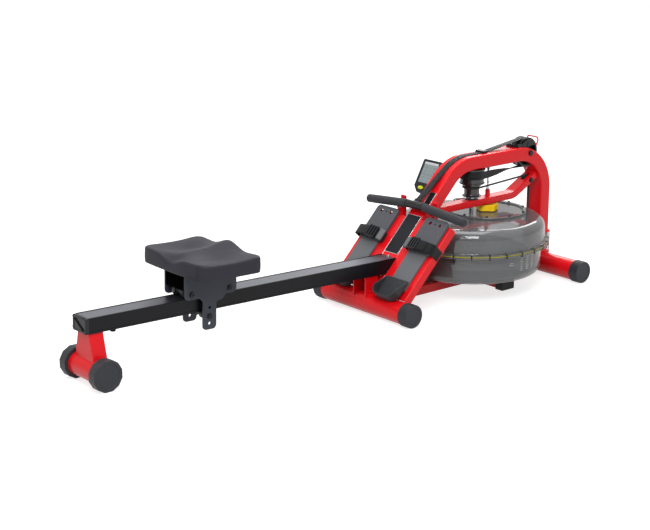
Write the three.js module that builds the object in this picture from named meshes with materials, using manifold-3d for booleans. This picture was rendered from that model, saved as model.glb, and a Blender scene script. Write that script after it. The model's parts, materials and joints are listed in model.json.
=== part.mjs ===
// Water rowing machine: sloping seat rail, bent tube arch, water tank with paddle wheel.
// Millimetres, +Z up. +X runs from the rear foot to the tank, +Y to the rower's left.
// While it is built, X is measured from the rear end of the rail; the last lines centre it.
import * as THREE from 'three';
import { mergeVertices } from 'three/addons/utils/BufferGeometryUtils.js';
import Module from 'manifold-3d';

const wasm = await Module();
wasm.setup();

// Clearances and facet counts
const gap = 0.3;
const runningGap = 1;
const overrun = 60;
const smallSides = 12;
const roundSides = 20;
const wheelSides = 24;
const tankSides = 40;
const bendSteps = 8;
const filletSteps = 5;
const innerFilletSteps = 4;
const strapSteps = 18;
const strapTensionShare = 0.2;
const cordSides = 8;

// Seat rail, sloping down to the front
const railWidth = 76.2;
const railHeight = 49.5;
const railWall = 3;
const railRearHeight = 170.2;
const railSlope = Math.atan(0.0279);
const railRim = 6;
const railRecess = 3;
const railGroove = 1.2;
const railGrooveHeight = 4;
const railGrooveLevel = 7;
const stripBelowRim = 1;
const endCapThickness = 12;
const endCapCorner = 5;
const endCapBevel = 3;
const endCapPlugDepth = 16;
const stopAlongRail = 118;
const stopRadius = 9;
const stopHeight = 18;

// Rear foot
const rearFootX = 34.4;
const rearCapFlat = 49.4;
const rearCapFace = 101;
const rearCapThickness = 33;
const rearCapSides = 12;
const rearTubeRadius = 38;
const tubeWall = 2.5;
const legDepth = 50;
const legOffset = 4.6;
const legTopHalfWidth = 33;
const legFootHalfWidth = 52;
const legFlareHeight = 90;

// Middle and front feet
const footTubeRadius = 38;
const footCapFlat = 40.8;
const footCapThickness = 41;
const footCapPlug = 14;
const capFaceRecess = 1.5;
const capRimShare = 0.72;
const midFootX = 1144;
const midFootFace = 242;
const frontFootSetback = 16;
const frontFootFace = 253;
const lugThickness = 5;
const lugSpread = 30;
const lugBack = 32;
const lugFront = 24;

// Bent main tube: diagonal, top and post
const tubeWidth = 76.2;
const tubeDepth = 50.8;
const tubeCorner = 7;
const cornerSteps = 2;
const mainWall = 3;
const inclineAngle = THREE.MathUtils.degToRad(46);
const inclineAhead = 252;
const inclineZ = 300;
const archTopZ = 467;
const postClear = 73;
const archBendRadius = 145;
const socketWall = 4.5;
const socketTop = 158;
const socketBoltRadius = 7;
const socketBoltHead = 5;
const socketBoltHeights = [90, 140];
const socketBoltOffset = 17;

// Lower bar between diagonal and post
const barWidth = 50;
const barDepth = 25;
const barZ = 314.5;
const barRiseRun = 156;
const barRiseAngle = THREE.MathUtils.degToRad(28);
const barBendRadius = 70;
const barCorner = 4;
const barWall = 2.5;
const bossRadius = 9;
const bossHeight = 25;

// Base beam and tank cradle
const beamBottom = 26;
const beamHeight = 34;
const beamWidth = 76.2;
const cradleLength = 50;
const cradleInset = 66;
const cradleBottom = 31;
const cradleHeight = 24;
const restLength = 30;
const restWall = 6;
const anchorAhead = 106;
const anchorLength = 22;

// Tank
const tankClear = 48.7;
const tankBottom = 73;
const tankLowerRadius = 256;
const tankUpperReach = 14;
const tankTaper = 2;
const tankWall = 4;
const tankFloor = 5;
const tankFootCorner = 22;
const tankShoulderCorner = 36;
const tankTop = 270;
const flangeReach = 15;
const flangeThickness = 5;
const sealZ = 183;
const sealThickness = 3.4;
const sealInset = 5.6;
const sealInnerReach = 6;
const lidAhead = 83;
const lidInset = 4;
const lidRing = 14;
const lidThickness = 3;
const lidRingHeight = 8;
const knobRadius = 38;
const knobLobe = 3.5;
const knobLobes = 5;
const knobTurn = THREE.MathUtils.degToRad(44);
const knobHeight = 23;
const knobNeckRadius = 16;
const knobNeckHeight = 1.5;
const plugInset = 49;
const plugAngle = THREE.MathUtils.degToRad(55.2);
const plugRadius = 27;
const plugHeight = 8;
const baffleInset = 39;
const baffleWall = 4;
const baffleHeight = 62;
const baffleFins = 6;
const baffleFinReach = 55;

// Paddle wheel, shaft and drum
const shaftRadius = 8;
const shaftBossRadius = 16;
const shaftBossHeight = 14;
const collarRadius = 13;
const impellerClear = 20;
const impellerHub = 22;
const impellerBottom = 96;
const impellerHeight = 50;
const impellerBlades = 6;
const bladeThickness = 4;
const drumBottom = 338.3;
const drumFlangeRadius = 34.5;
const drumFlangeTop = 343;
const spoolRadius = 28;
const spoolTop = 377;
const midFlangeRadius = 33;
const midFlangeTop = 388;
const rollRadius = 43;
const rollTop = 434;
const bracketThickness = 5.5;
const bracketRadius = 48;
const guideRodAhead = 83;
const guideRodRadius = 4;

// Belt and belt pulley
const beltWidth = 28;
const beltThickness = 2.5;
const pulleySetback = 92;
const pulleyRise = 1;
const pulleyRadius = 55;
const pulleyTread = 51.7;
const pulleyWidth = 40;
const pulleyFlange = 3;
const pulleyClearance = 3;
const axleRadius = 6;
const axleHeadRadius = 10;
const axleHead = 6;
const guardThickness = 4;
const guardRadius = 47;
const guardBridge = 6;
const guideAhead = 45;
const guideLength = 24;
const guideWall = 5;
const guideBar = 6;

// Bungee cord with its two small pulleys
const cordRadius = 3.5;
const cordTurnRadius = 16;
const sheaveRim = 19;
const sheaveWidth = 15;
const sheavePin = 4;
const sheaveSetback = 70;
const sheaveAboveBeam = 22;
const earThickness = 4;

// Footboards, toe boards, heel sliders and straps, measured along the incline
const boardSheet = 3;
const boardOuter = 190;
const boardFoot = -328;
const boardTop = -21;
const boardFlange = 30;
const toeInner = 70;
const toeOuter = 180;
const toeFoot = -150;
const toeTop = -8;
const toeWall = 4;
const toeCorner = 14;
const toeHoleRadius = 5;
const toeHoleInset = 20;
const toeHoleSpread = 24;
const tongueInner = 80;
const tongueOuter = 168;
const tongueThickness = 8;
const tongueTop = -70;
const tongueFoot = -295;
const cupInner = 64;
const cupOuter = 172;
const cupFoot = -350;
const cupTop = -262;
const cupWall = 5;
const cupFloor = 4;
const cupHeight = 34;
const cupCorner = 32;
const cupLift = 39.7;
const strapPlace = -127;
const strapWidth = 38;
const strapThickness = 2.5;
const strapClear = 3;
const strapRise = 20;
const strapTail = 5;
const hookY = 80;
const hookAcross = 25;
const hookWidth = 11;
const hookBack = 5;
const hookShelf = 4;
const hookLip = 4;
const hookRise = 20;

// Handle
const handleBack = 24;
const handleAbove = 47;
const handleCoreRadius = 11;
const handleCentreRadius = 14.5;
const handleCentreHalf = 40;
const gripRadius = 15.5;
const gripLength = 205;
const gripEndWall = 6;
const gripDroop = THREE.MathUtils.degToRad(5);
const clipReach = 25;
const clipThickness = 9;
const clipWidth = 32;

// Seat and carriage, measured along the rail and above its underside
const seatRear = 325;
const seatFront = 565;
const seatHalfWidth = 173;
const seatUnderside = 135.6;
const seatHeight = 51;
const seatCorner = 45;
const plateThickness = 5;
const plateOuter = 56;
const plateRear = 344;
const plateFront = 543;
const plateBottom = 50;
const plateChamfer = 8;
const saddleThickness = 6;
const tongueHalf = 26;
const tongueDrop = 57;
const tongueRound = 14;
const gussetRear = 13;
const gussetFront = 24;
const gussetDrop = 14;
const upperWheelRadius = 18;
const lowerWheelRadius = 13.7;
const rearWheelInset = 27;
const frontWheelInset = 26;
const lowerWheelBack = 4.5;
const wheelHalfWidth = 30;
const wheelWaistHalf = 14;
const wheelWaistShare = 0.62;
const wheelAxleRadius = 5;
const wheelBoltRadius = 8;
const wheelBoltHead = 5;
const tongueHoleRadius = 5;
const tongueHoleLow = 37;
const tongueHoleHigh = 15;

// Monitor on the left side of the arch
const monitorAhead = 129;
const monitorY = 100;
const monitorBelow = 56;
const monitorTilt = THREE.MathUtils.degToRad(28.4);
const monitorWidth = 100;
const monitorHeight = 126;
const monitorDepth = 24;
const monitorChamfer = 22;
const lensWidth = 70;
const lensHeight = 78;
const lensThickness = 1.4;
const lensRise = 13;
const buttonRadius = 8;
const buttonAcross = 14;
const buttonDrop = 45;
const buttonProud = 2.5;
const buttonDepth = 1.2;
const buttonPocket = 3.4;
const tiltPinRadius = 5;
const tiltPinBack = 12;
const tiltEarHalf = 8;
const tiltEarSpread = 18;
const armPlate = 4;
const armPlateHalf = 14;
const armReachBack = 70;

// Places and radii that follow the sizes above
const inclineX = midFootX + inclineAhead;
const anchorX = midFootX + anchorAhead;
const tankUpperRadius = tankLowerRadius + tankUpperReach;
const tankShoulderRadius = tankUpperRadius - tankTaper;
const flangeRadius = tankUpperRadius + flangeReach;
const sealRadius = flangeRadius - sealInset;
const sealInnerRadius = tankLowerRadius + sealInnerReach;
const diagonalFace = tubeDepth / 2 / Math.sin(inclineAngle);
const diagonalX = inclineX - (inclineZ - sealZ) / Math.tan(inclineAngle) + diagonalFace;
const tankX = diagonalX + tankClear + flangeRadius;
const postX = tankX + flangeRadius + postClear;
const frontFootX = postX - frontFootSetback;
const barCornerX = postX - barRiseRun;
const pulleyX = postX - pulleySetback;
const pulleyZ = archTopZ + pulleyRise;
const guideX = tankX + guideAhead;
const guideRodX = tankX + guideRodAhead;
const lidX = tankX + lidAhead;
const lidRadius = tankShoulderRadius - tankShoulderCorner - lidAhead - lidInset;
const plugX = tankX + (tankShoulderRadius - plugInset) * Math.cos(plugAngle);
const plugY = (tankShoulderRadius - plugInset) * Math.sin(plugAngle);
const baffleRadius = tankLowerRadius - baffleInset;
const impellerRadius = baffleRadius - baffleWall / 2 - baffleFinReach - impellerClear;
const cradleReach = tankLowerRadius - cradleInset;
const restInner = cradleReach - restLength;
const sheaveX = postX - sheaveSetback;
const upperSheaveZ = barZ + (sheaveX - barCornerX) * Math.tan(barRiseAngle);
const lowerSheaveZ = beamBottom + beamHeight + sheaveAboveBeam;
const cordLevel = spoolTop - cordRadius - 3 * gap;
const handleX = inclineX - handleBack;
const handleZ = inclineZ + handleAbove;
const monitorX = inclineX + monitorAhead;
const monitorZ = archTopZ - monitorBelow;
const rearWheelAlong = plateRear + rearWheelInset;
const frontWheelAlong = plateFront - frontWheelInset;
const lowerWheelAlong = (plateRear + plateFront) / 2 - lowerWheelBack;
const tongueRear = lowerWheelAlong - tongueHalf;
const tongueFront = lowerWheelAlong + tongueHalf;

const finishes = {
  redPaint: { color: 0xd81e26, roughness: 0.28, metalness: 0.1 },
  blackPaint: { color: 0x1b1c20, roughness: 0.42, metalness: 0.2 },
  greyTrack: { color: 0x55565b, roughness: 0.4, metalness: 0.3 },
  steelBlue: { color: 0x3b3d45, roughness: 0.5, metalness: 0.2 },
  darkPlastic: { color: 0x3a3b40, roughness: 0.55, metalness: 0 },
  blackPlastic: { color: 0x1f2023, roughness: 0.5, metalness: 0 },
  greyPlastic: { color: 0x5a5c61, roughness: 0.55, metalness: 0 },
  rubber: { color: 0x18191b, roughness: 0.8, metalness: 0 },
  webbing: { color: 0x16171a, roughness: 0.9, metalness: 0 },
  foam: { color: 0x3d3e42, roughness: 0.85, metalness: 0 },
  steel: { color: 0xb9bcc0, roughness: 0.3, metalness: 1 },
  smoke: { color: 0x6a6e73, roughness: 0.1, metalness: 0, transparent: true, opacity: 0.5 },
  yellow: { color: 0xf3b21b, roughness: 0.4, metalness: 0 },
  screen: { color: 0x9aa3a8, roughness: 0.25, metalness: 0 },
};

// Turning shapes into solids, joining and cutting them

function dropFlat(index) {
  const kept = [];
  for (let i = 0; i < index.length; i += 3) {
    const [a, b, c] = [index[i], index[i + 1], index[i + 2]];
    if (a !== b && b !== c && c !== a) kept.push(a, b, c);
  }
  return new Uint32Array(kept);
}

function toSolid(geometry) {
  const bare = geometry.clone();
  bare.deleteAttribute('normal');
  bare.deleteAttribute('uv');
  const merged = mergeVertices(bare);
  return new wasm.Manifold(new wasm.Mesh({
    numProp: 3,
    vertProperties: new Float32Array(merged.attributes.position.array),
    triVerts: dropFlat(merged.index.array),
  }));
}

function toGeometry(solid) {
  const mesh = solid.getMesh();
  const geometry = new THREE.BufferGeometry();
  geometry.setAttribute('position', new THREE.BufferAttribute(mesh.vertProperties, 3));
  geometry.setIndex(new THREE.BufferAttribute(mesh.triVerts, 1));
  geometry.computeVertexNormals();
  return geometry;
}

// Joins the first list of shapes and cuts the second list out of the result.
function carve(joined, cuts = []) {
  let solid = toSolid(joined[0]);
  for (const shape of joined.slice(1)) solid = solid.add(toSolid(shape));
  for (const shape of cuts) solid = solid.subtract(toSolid(shape));
  return toGeometry(solid);
}

// Basic shapes, each returned where it belongs

function block(x0, x1, y0, y1, z0, z1) {
  const geometry = new THREE.BoxGeometry(x1 - x0, y1 - y0, z1 - z0);
  return geometry.translate((x0 + x1) / 2, (y0 + y1) / 2, (z0 + z1) / 2);
}

function rodY(radius, y0, y1, x, z, sides = roundSides) {
  const geometry = new THREE.CylinderGeometry(radius, radius, y1 - y0, sides);
  return geometry.translate(x, (y0 + y1) / 2, z);
}

function rodZ(radius, z0, z1, x, y, sides = roundSides) {
  const geometry = new THREE.CylinderGeometry(radius, radius, z1 - z0, sides);
  return geometry.rotateX(Math.PI / 2).translate(x, y, (z0 + z1) / 2);
}

function rodX(radius, x0, x1, y, z, sides = roundSides) {
  const geometry = new THREE.CylinderGeometry(radius, radius, x1 - x0, sides);
  return geometry.rotateZ(Math.PI / 2).translate((x0 + x1) / 2, y, z);
}

function flatShape(points) {
  return new THREE.Shape(points.map(([x, y]) => new THREE.Vector2(x, y)));
}

// Outline in X and Z, carried from y0 to y1
function prismY(points, y0, y1) {
  const geometry = new THREE.ExtrudeGeometry(flatShape(points), { depth: y1 - y0, bevelEnabled: false });
  return geometry.rotateX(Math.PI / 2).translate(0, y1, 0);
}

// Outline in X and Y, carried from z0 to z1
function prismZ(points, z0, z1) {
  const geometry = new THREE.ExtrudeGeometry(flatShape(points), { depth: z1 - z0, bevelEnabled: false });
  return geometry.translate(0, 0, z0);
}

// Outline in Y and Z, carried from x0 to x1
function prismX(points, x0, x1) {
  const geometry = new THREE.ExtrudeGeometry(flatShape(points), { depth: x1 - x0, bevelEnabled: false });
  return geometry.rotateX(Math.PI / 2).rotateZ(Math.PI / 2).translate(x0, 0, 0);
}

// Outline in X and Z with rounded long edges, centred on the middle plane
function roundedPrism(points, width, corner) {
  const geometry = new THREE.ExtrudeGeometry(flatShape(points), {
    depth: width - 2 * corner,
    bevelThickness: corner,
    bevelSize: corner,
    bevelOffset: -corner,
    bevelSegments: cornerSteps,
  });
  return geometry.rotateX(Math.PI / 2).translate(0, width / 2 - corner, 0);
}

function loopArea(points) {
  return points.reduce((sum, [x, y], i) => {
    const [nextX, nextY] = points[(i + 1) % points.length];
    return sum + x * nextY - nextX * y;
  }, 0);
}

// Turned round the Y axis from pairs of radius and place along the axis
function turnedY(profile, sides, startAngle = 0) {
  const ordered = loopArea(profile) < 0 ? [...profile].reverse() : [...profile];
  const onAxis = ordered.some(([radius]) => radius === 0);
  if (!onAxis) ordered.push(ordered[0]);
  const points = ordered.map(([radius, along]) => new THREE.Vector2(radius, along));
  return new THREE.LatheGeometry(points, sides, startAngle, 2 * Math.PI);
}

function turnedZ(profile, sides, x, y) {
  return turnedY(profile, sides).rotateX(Math.PI / 2).translate(x, y, 0);
}

function arc(x, y, radius, from, to, steps) {
  return Array.from({ length: steps + 1 }, (_, i) => {
    const angle = from + (to - from) * i / steps;
    return [x + radius * Math.cos(angle), y + radius * Math.sin(angle)];
  });
}

function roundedRect(x0, x1, y0, y1, corner, steps = innerFilletSteps) {
  const quarter = Math.PI / 2;
  return [
    ...arc(x1 - corner, y0 + corner, corner, -quarter, 0, steps),
    ...arc(x1 - corner, y1 - corner, corner, 0, quarter, steps),
    ...arc(x0 + corner, y1 - corner, corner, quarter, 2 * quarter, steps),
    ...arc(x0 + corner, y0 + corner, corner, 2 * quarter, 3 * quarter, steps),
  ];
}

// A bent bar: its middle line with the normal at each station
function bentLine(corners, radius, steps) {
  const stations = [];
  const heading = (a, b) => Math.atan2(b[1] - a[1], b[0] - a[0]);
  const station = ([x, z], angle) => stations.push({ x, z, nx: -Math.sin(angle), nz: Math.cos(angle) });
  station(corners[0], heading(corners[0], corners[1]));
  for (let i = 1; i < corners.length - 1; i += 1) {
    const before = heading(corners[i - 1], corners[i]);
    const turn = heading(corners[i], corners[i + 1]) - before;
    const setback = radius * Math.tan(Math.abs(turn) / 2);
    const side = Math.sign(turn);
    const startX = corners[i][0] - setback * Math.cos(before);
    const startZ = corners[i][1] - setback * Math.sin(before);
    const centreX = startX - side * radius * Math.sin(before);
    const centreZ = startZ + side * radius * Math.cos(before);
    for (let j = 0; j <= steps; j += 1) {
      const angle = before + turn * j / steps;
      const place = [centreX + side * radius * Math.sin(angle), centreZ - side * radius * Math.cos(angle)];
      station(place, angle);
    }
  }
  const last = corners.length - 1;
  station(corners[last], heading(corners[last - 1], corners[last]));
  return stations;
}

function barOutline(stations, half) {
  const upper = stations.map(({ x, z, nx, nz }) => [x + half * nx, z + half * nz]);
  const lower = stations.map(({ x, z, nx, nz }) => [x - half * nx, z - half * nz]);
  return [...lower, ...upper.reverse()];
}

// Path through given stations, with steps where the stations are
class StationCurve extends THREE.Curve {
  constructor(points) {
    super();
    this.points = points;
  }

  getPoint(t, target = new THREE.Vector3()) {
    const place = Math.min(Math.max(t, 0), 1) * (this.points.length - 1);
    const index = Math.min(Math.floor(place), this.points.length - 2);
    return target.lerpVectors(this.points[index], this.points[index + 1], place - index);
  }

  getPointAt(t, target) {
    return this.getPoint(t, target);
  }

  getTangentAt(t, target = new THREE.Vector3()) {
    const step = 0.5 / (this.points.length - 1);
    const ahead = this.getPoint(t + step);
    return target.copy(ahead).sub(this.getPoint(t - step)).normalize();
  }
}

function roundCord(points, radius) {
  const section = flatShape(arc(0, 0, radius, 0, 2 * Math.PI * (1 - 1 / cordSides), cordSides - 1));
  return new THREE.ExtrudeGeometry(section, {
    steps: points.length - 1,
    extrudePath: new StationCurve(points),
  });
}

// Flat belt through stations that give its middle, its width direction and its outer side
function ribbon(stations, width, thickness) {
  const positions = [];
  for (const { at, across, out } of stations) {
    for (const [w, t] of [[-1, -1], [1, -1], [1, 1], [-1, 1]]) {
      const corner = at.clone().addScaledVector(across, w * width / 2);
      corner.addScaledVector(out, t * thickness / 2);
      positions.push(corner.x, corner.y, corner.z);
    }
  }
  const last = 4 * (stations.length - 1);
  const index = [0, 2, 1, 0, 3, 2, last, last + 1, last + 2, last, last + 2, last + 3];
  for (let i = 0; i < last; i += 4) {
    for (let j = 0; j < 4; j += 1) {
      const k = (j + 1) % 4;
      index.push(i + j, i + k, i + 4 + k, i + j, i + 4 + k, i + 4 + j);
    }
  }
  const geometry = new THREE.BufferGeometry();
  geometry.setAttribute('position', new THREE.Float32BufferAttribute(positions, 3));
  geometry.setIndex(index);
  geometry.computeVertexNormals();
  return geometry;
}

const machine = new THREE.Group();

function place(name, finish, geometry, parent = machine) {
  const mesh = new THREE.Mesh(geometry, new THREE.MeshStandardMaterial(finishes[finish]));
  mesh.name = name;
  parent.add(mesh);
}

const sides = [['left', 1], ['right', -1]];

// The same shape on the rower's left or mirrored to the right
function onSide(geometry, sign) {
  if (sign > 0) return geometry;
  const solid = toSolid(geometry).mirror([0, 1, 0]);
  return toGeometry(solid);
}

// The incline: places along the diagonal tube (u) and out from its middle line (w)
const cosIncline = Math.cos(inclineAngle);
const sinIncline = Math.sin(inclineAngle);

function onIncline(u, w) {
  return [inclineX + u * cosIncline - w * sinIncline, inclineZ + u * sinIncline + w * cosIncline];
}

const inclineGroup = new THREE.Group();
inclineGroup.position.set(inclineX, 0, inclineZ);
inclineGroup.rotation.y = -inclineAngle;
machine.add(inclineGroup);

const tubeFace = tubeDepth / 2;

// Main tube
const frontFootTop = footCapFlat + footTubeRadius;
const archCornerX = inclineX + (archTopZ - inclineZ) / Math.tan(inclineAngle);
const diagonalFoot = onIncline(boardFoot - overrun, 0);
const archCorner = [archCornerX, archTopZ];
const postCorner = [postX, archTopZ];
const mainCorners = [diagonalFoot, archCorner, postCorner, [postX, frontFootTop + gap]];
const mainLine = bentLine(mainCorners, archBendRadius, bendSteps);
const deeperCorners = [onIncline(boardFoot - 2 * overrun, 0), archCorner, postCorner, [postX, 0]];
const hollowLine = bentLine(deeperCorners, archBendRadius, bendSteps);

function mainTubeGrown(extra) {
  return prismY(barOutline(mainLine, tubeFace + extra), -tubeWidth / 2 - extra, tubeWidth / 2 + extra);
}

function footTubeGrown(x, extra) {
  return rodY(footTubeRadius + extra, -frontFootFace, frontFootFace, x, footCapFlat, wheelSides);
}

const beamTop = beamBottom + beamHeight;
const slotHalf = pulleyWidth / 2 + pulleyClearance;

function mainTube() {
  const outside = roundedPrism(barOutline(mainLine, tubeFace), tubeWidth, tubeCorner);
  const innerHalf = tubeWidth / 2 - mainWall;
  const inside = prismY(barOutline(hollowLine, tubeFace - mainWall), -innerHalf, innerHalf);
  const slot = rodY(pulleyRadius + pulleyClearance, -slotHalf, slotHalf, pulleyX, pulleyZ, wheelSides);
  const axleHole = rodY(axleRadius + gap, -tubeWidth, tubeWidth, pulleyX, pulleyZ, smallSides);
  const beamCut = block(midFootX, frontFootX, -tubeWidth, tubeWidth, 0, beamTop + gap);
  const floorCut = block(0, midFootX + footTubeRadius, -tubeWidth, tubeWidth, -overrun, footCapFlat);
  return carve([outside], [inside, slot, axleHole, footTubeGrown(midFootX, gap), beamCut, floorCut]);
}

place('main_frame_tube', 'redPaint', mainTube());

// Rail with its recessed running strip, end cap and stop, built level and then sloped
const railGroup = new THREE.Group();
railGroup.position.set(0, 0, railRearHeight);
railGroup.rotation.y = railSlope;
machine.add(railGroup);

const cosSlope = Math.cos(railSlope);
const sinSlope = Math.sin(railSlope);

// Places along the rail and above its underside, from places in the machine
function toRail([x, z]) {
  const dz = z - railRearHeight;
  return [x * cosSlope - dz * sinSlope, x * sinSlope + dz * cosSlope];
}

const halfRail = railWidth / 2;
const railTopZ = railHeight;

function railSection() {
  const groove = halfRail - railGroove;
  const low = railGrooveLevel;
  const high = railGrooveLevel + railGrooveHeight;
  return [
    [-halfRail, 0], [halfRail, 0], [halfRail, low], [groove, low], [groove, high], [halfRail, high],
    [halfRail, railTopZ], [halfRail - railRim, railTopZ], [halfRail - railRim, railTopZ - railRecess],
    [railRim - halfRail, railTopZ - railRecess], [railRim - halfRail, railTopZ], [-halfRail, railTopZ],
    [-halfRail, high], [-groove, high], [-groove, low], [-halfRail, low],
  ];
}

const hollowHalf = halfRail - railGroove - railWall;
const hollowTop = railHeight - railRecess - railWall;

// Everything in front of the diagonal's face, seen along the rail
function beyondDiagonal(clearance) {
  const face = tubeFace + clearance;
  const outline = [
    onIncline(boardFoot - overrun, face), onIncline(boardTop, face),
    onIncline(boardTop, -tubeDepth), onIncline(boardFoot - overrun, -tubeDepth),
  ].map(toRail);
  return prismY(outline, -tubeWidth, tubeWidth);
}

const railFront = toRail(onIncline(boardTop, tubeFace))[0];
const railBody = carve(
  [prismX(railSection(), endCapThickness + gap, railFront)],
  [
    block(0, railFront + overrun, -hollowHalf, hollowHalf, railWall, hollowTop),
    beyondDiagonal(gap),
    block(0, railFront + overrun, -tubeWidth, tubeWidth, -overrun, 0),
  ],
);

function keepLargest(geometry) {
  const parts = toSolid(geometry).decompose();
  parts.sort((a, b) => b.volume() - a.volume());
  return toGeometry(parts[0]);
}

place('rail', 'blackPaint', keepLargest(railBody), railGroup);

const stripHalf = halfRail - railRim - gap;
const stripTop = railHeight - stripBelowRim;
const strip = carve(
  [block(endCapThickness + gap, railFront, -stripHalf, stripHalf, railHeight - railRecess + gap, stripTop)],
  [beyondDiagonal(gap)],
);
place('rail_top_strip', 'greyTrack', keepLargest(strip), railGroup);

function endCap() {
  const face = new THREE.ExtrudeGeometry(
    flatShape(roundedRect(-halfRail, halfRail, 0, railHeight, endCapCorner)),
    {
      depth: endCapThickness - endCapBevel,
      bevelThickness: endCapBevel,
      bevelSize: endCapBevel,
      bevelOffset: -endCapBevel,
      bevelSegments: cornerSteps,
    },
  );
  face.rotateX(Math.PI / 2).rotateZ(Math.PI / 2).translate(endCapBevel, 0, 0);
  const plug = block(endCapThickness - endCapBevel, endCapThickness + endCapPlugDepth,
    gap - hollowHalf, hollowHalf - gap, railWall + gap, hollowTop - gap);
  const trim = block(endCapThickness, endCapThickness + overrun, -railWidth, railWidth,
    -railHeight, 2 * railHeight);
  return carve([carve([face], [trim]), plug]);
}

place('rail_end_cap', 'blackPlastic', endCap(), railGroup);
const stop = rodZ(stopRadius, -stopHeight, -gap, stopAlongRail, 0, smallSides);
place('seat_stop_rear', 'rubber', stop, railGroup);

// Feet: round cross tubes with plastic end caps

function hollowTube(x, z, half, radius) {
  const inside = rodY(radius - tubeWall, -half - overrun, half + overrun, x, z, wheelSides);
  return [rodY(radius, -half, half, x, z, wheelSides), inside];
}

function footCap(flat, sideCount, thickness, plugRadius) {
  const radius = flat / Math.cos(Math.PI / sideCount);
  const rim = radius * capRimShare;
  const profile = [
    [0, -footCapPlug], [plugRadius, -footCapPlug], [plugRadius, gap], [radius, gap], [radius, thickness],
    [rim, thickness], [rim, thickness - capFaceRecess], [0, thickness - capFaceRecess],
  ];
  return turnedY(profile, sideCount, Math.PI / sideCount);
}

function placeCaps(name, x, flat, face, thickness, sideCount, tubeRadius) {
  for (const [side, sign] of sides) {
    const cap = footCap(flat, sideCount, thickness, tubeRadius - tubeWall - gap);
    cap.translate(x, face - thickness, flat);
    place(`${name}_cap_${side}`, 'darkPlastic', onSide(carve([cap]), sign));
  }
}

function rearLeg() {
  const tubeHalf = rearCapFace - rearCapThickness;
  const [tube, bore] = hollowTube(rearFootX, rearCapFlat, tubeHalf, rearTubeRadius);
  const legX = rearFootX + legOffset;
  const top = railRearHeight + railHeight / 2;
  const outline = [
    [-legTopHalfWidth, top], [-legTopHalfWidth, railRearHeight], [-legFootHalfWidth, legFlareHeight],
    [-legFootHalfWidth, rearCapFlat], [legFootHalfWidth, rearCapFlat], [legFootHalfWidth, legFlareHeight],
    [legTopHalfWidth, railRearHeight], [legTopHalfWidth, top],
  ];
  const leg = prismX(outline, legX - legDepth / 2, legX + legDepth / 2);
  const railCut = block(-overrun, legX + 2 * legDepth, -railWidth, railWidth, -gap, 3 * railHeight);
  railCut.rotateY(railSlope).translate(0, 0, railRearHeight);
  return carve([tube, leg], [railCut, bore]);
}

place('rear_leg', 'redPaint', rearLeg());
placeCaps('rear_foot', rearFootX, rearCapFlat, rearCapFace, rearCapThickness, rearCapSides, rearTubeRadius);

function midFoot() {
  const [tube, bore] = hollowTube(midFootX, footCapFlat, midFootFace - footCapThickness, footTubeRadius);
  const railCut = block(-overrun, frontFootX, -railWidth, railWidth, -gap, 3 * railHeight);
  railCut.rotateY(railSlope).translate(0, 0, railRearHeight);
  const lugs = [-1, 1].map((sign) => block(
    midFootX - lugBack, midFootX + lugFront,
    sign * lugSpread - lugThickness / 2, sign * lugSpread + lugThickness / 2,
    footCapFlat, railRearHeight,
  ));
  return carve([tube, ...lugs], [bore, railCut, mainTubeGrown(gap)]);
}

place('mid_foot', 'redPaint', keepLargest(midFoot()));
placeCaps('mid_foot', midFootX, footCapFlat, midFootFace, footCapThickness, roundSides, footTubeRadius);

function frontFoot() {
  const tubeEnd = frontFootFace - footCapThickness;
  const [tube, bore] = hollowTube(frontFootX, footCapFlat, tubeEnd, footTubeRadius);
  const outerX = tubeFace + gap + socketWall;
  const outerY = tubeWidth / 2 + gap + socketWall;
  const sleeve = block(postX - outerX, postX + outerX, -outerY, outerY, footCapFlat, socketTop);
  const pocket = block(postX - tubeFace - gap, postX + tubeFace + gap,
    -tubeWidth / 2 - gap, tubeWidth / 2 + gap, frontFootTop, socketTop + overrun);
  const bolts = socketBoltHeights.map((z) => rodY(socketBoltRadius, -outerY - socketBoltHead,
    outerY + socketBoltHead, postX + socketBoltOffset, z, smallSides));
  return carve([tube, sleeve, ...bolts], [bore, pocket]);
}

place('front_foot', 'redPaint', frontFoot());
placeCaps('front_foot', frontFootX, footCapFlat, frontFootFace, footCapThickness, roundSides,
  footTubeRadius);

// Base beam with tank cradle, cord anchor and the lower cord pulley's ears

function sheaveEars(x, z, bottom) {
  const inner = sheaveWidth / 2 + runningGap;
  return [-1, 1].map((sign) => {
    const y0 = Math.min(sign * inner, sign * (inner + earThickness));
    const half = sheavePin + earThickness;
    return block(x - half, x + half, y0, y0 + earThickness, bottom, z + 2 * sheavePin);
  });
}

function baseBeam() {
  const shell = block(midFootX, frontFootX, -beamWidth / 2, beamWidth / 2, beamBottom, beamTop);
  const innerHalf = beamWidth / 2 - tubeWall;
  const inside = block(0, frontFootX + overrun, -innerHalf, innerHalf,
    beamBottom + tubeWall, beamTop - tubeWall);
  const arm = block(tankX - cradleLength / 2, tankX + cradleLength / 2,
    -cradleReach, cradleReach, cradleBottom, cradleBottom + cradleHeight);
  const cordZ = lowerSheaveZ - cordTurnRadius;
  const anchor = block(anchorX, anchorX + anchorLength, -2 * cordRadius, 2 * cordRadius,
    beamTop - tubeWall, cordZ + 2 * cordRadius);
  const ears = sheaveEars(sheaveX, lowerSheaveZ, beamTop - tubeWall);
  const earOuter = sheaveWidth / 2 + runningGap + earThickness;
  const pin = rodY(sheavePin, -earOuter, earOuter, sheaveX, lowerSheaveZ, smallSides);
  const feet = [footTubeGrown(midFootX, gap), footTubeGrown(frontFootX, gap)];
  return carve([carve([shell], [inside, ...feet]), arm, anchor, ...ears, pin]);
}

place('base_beam', 'redPaint', baseBeam());

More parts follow.
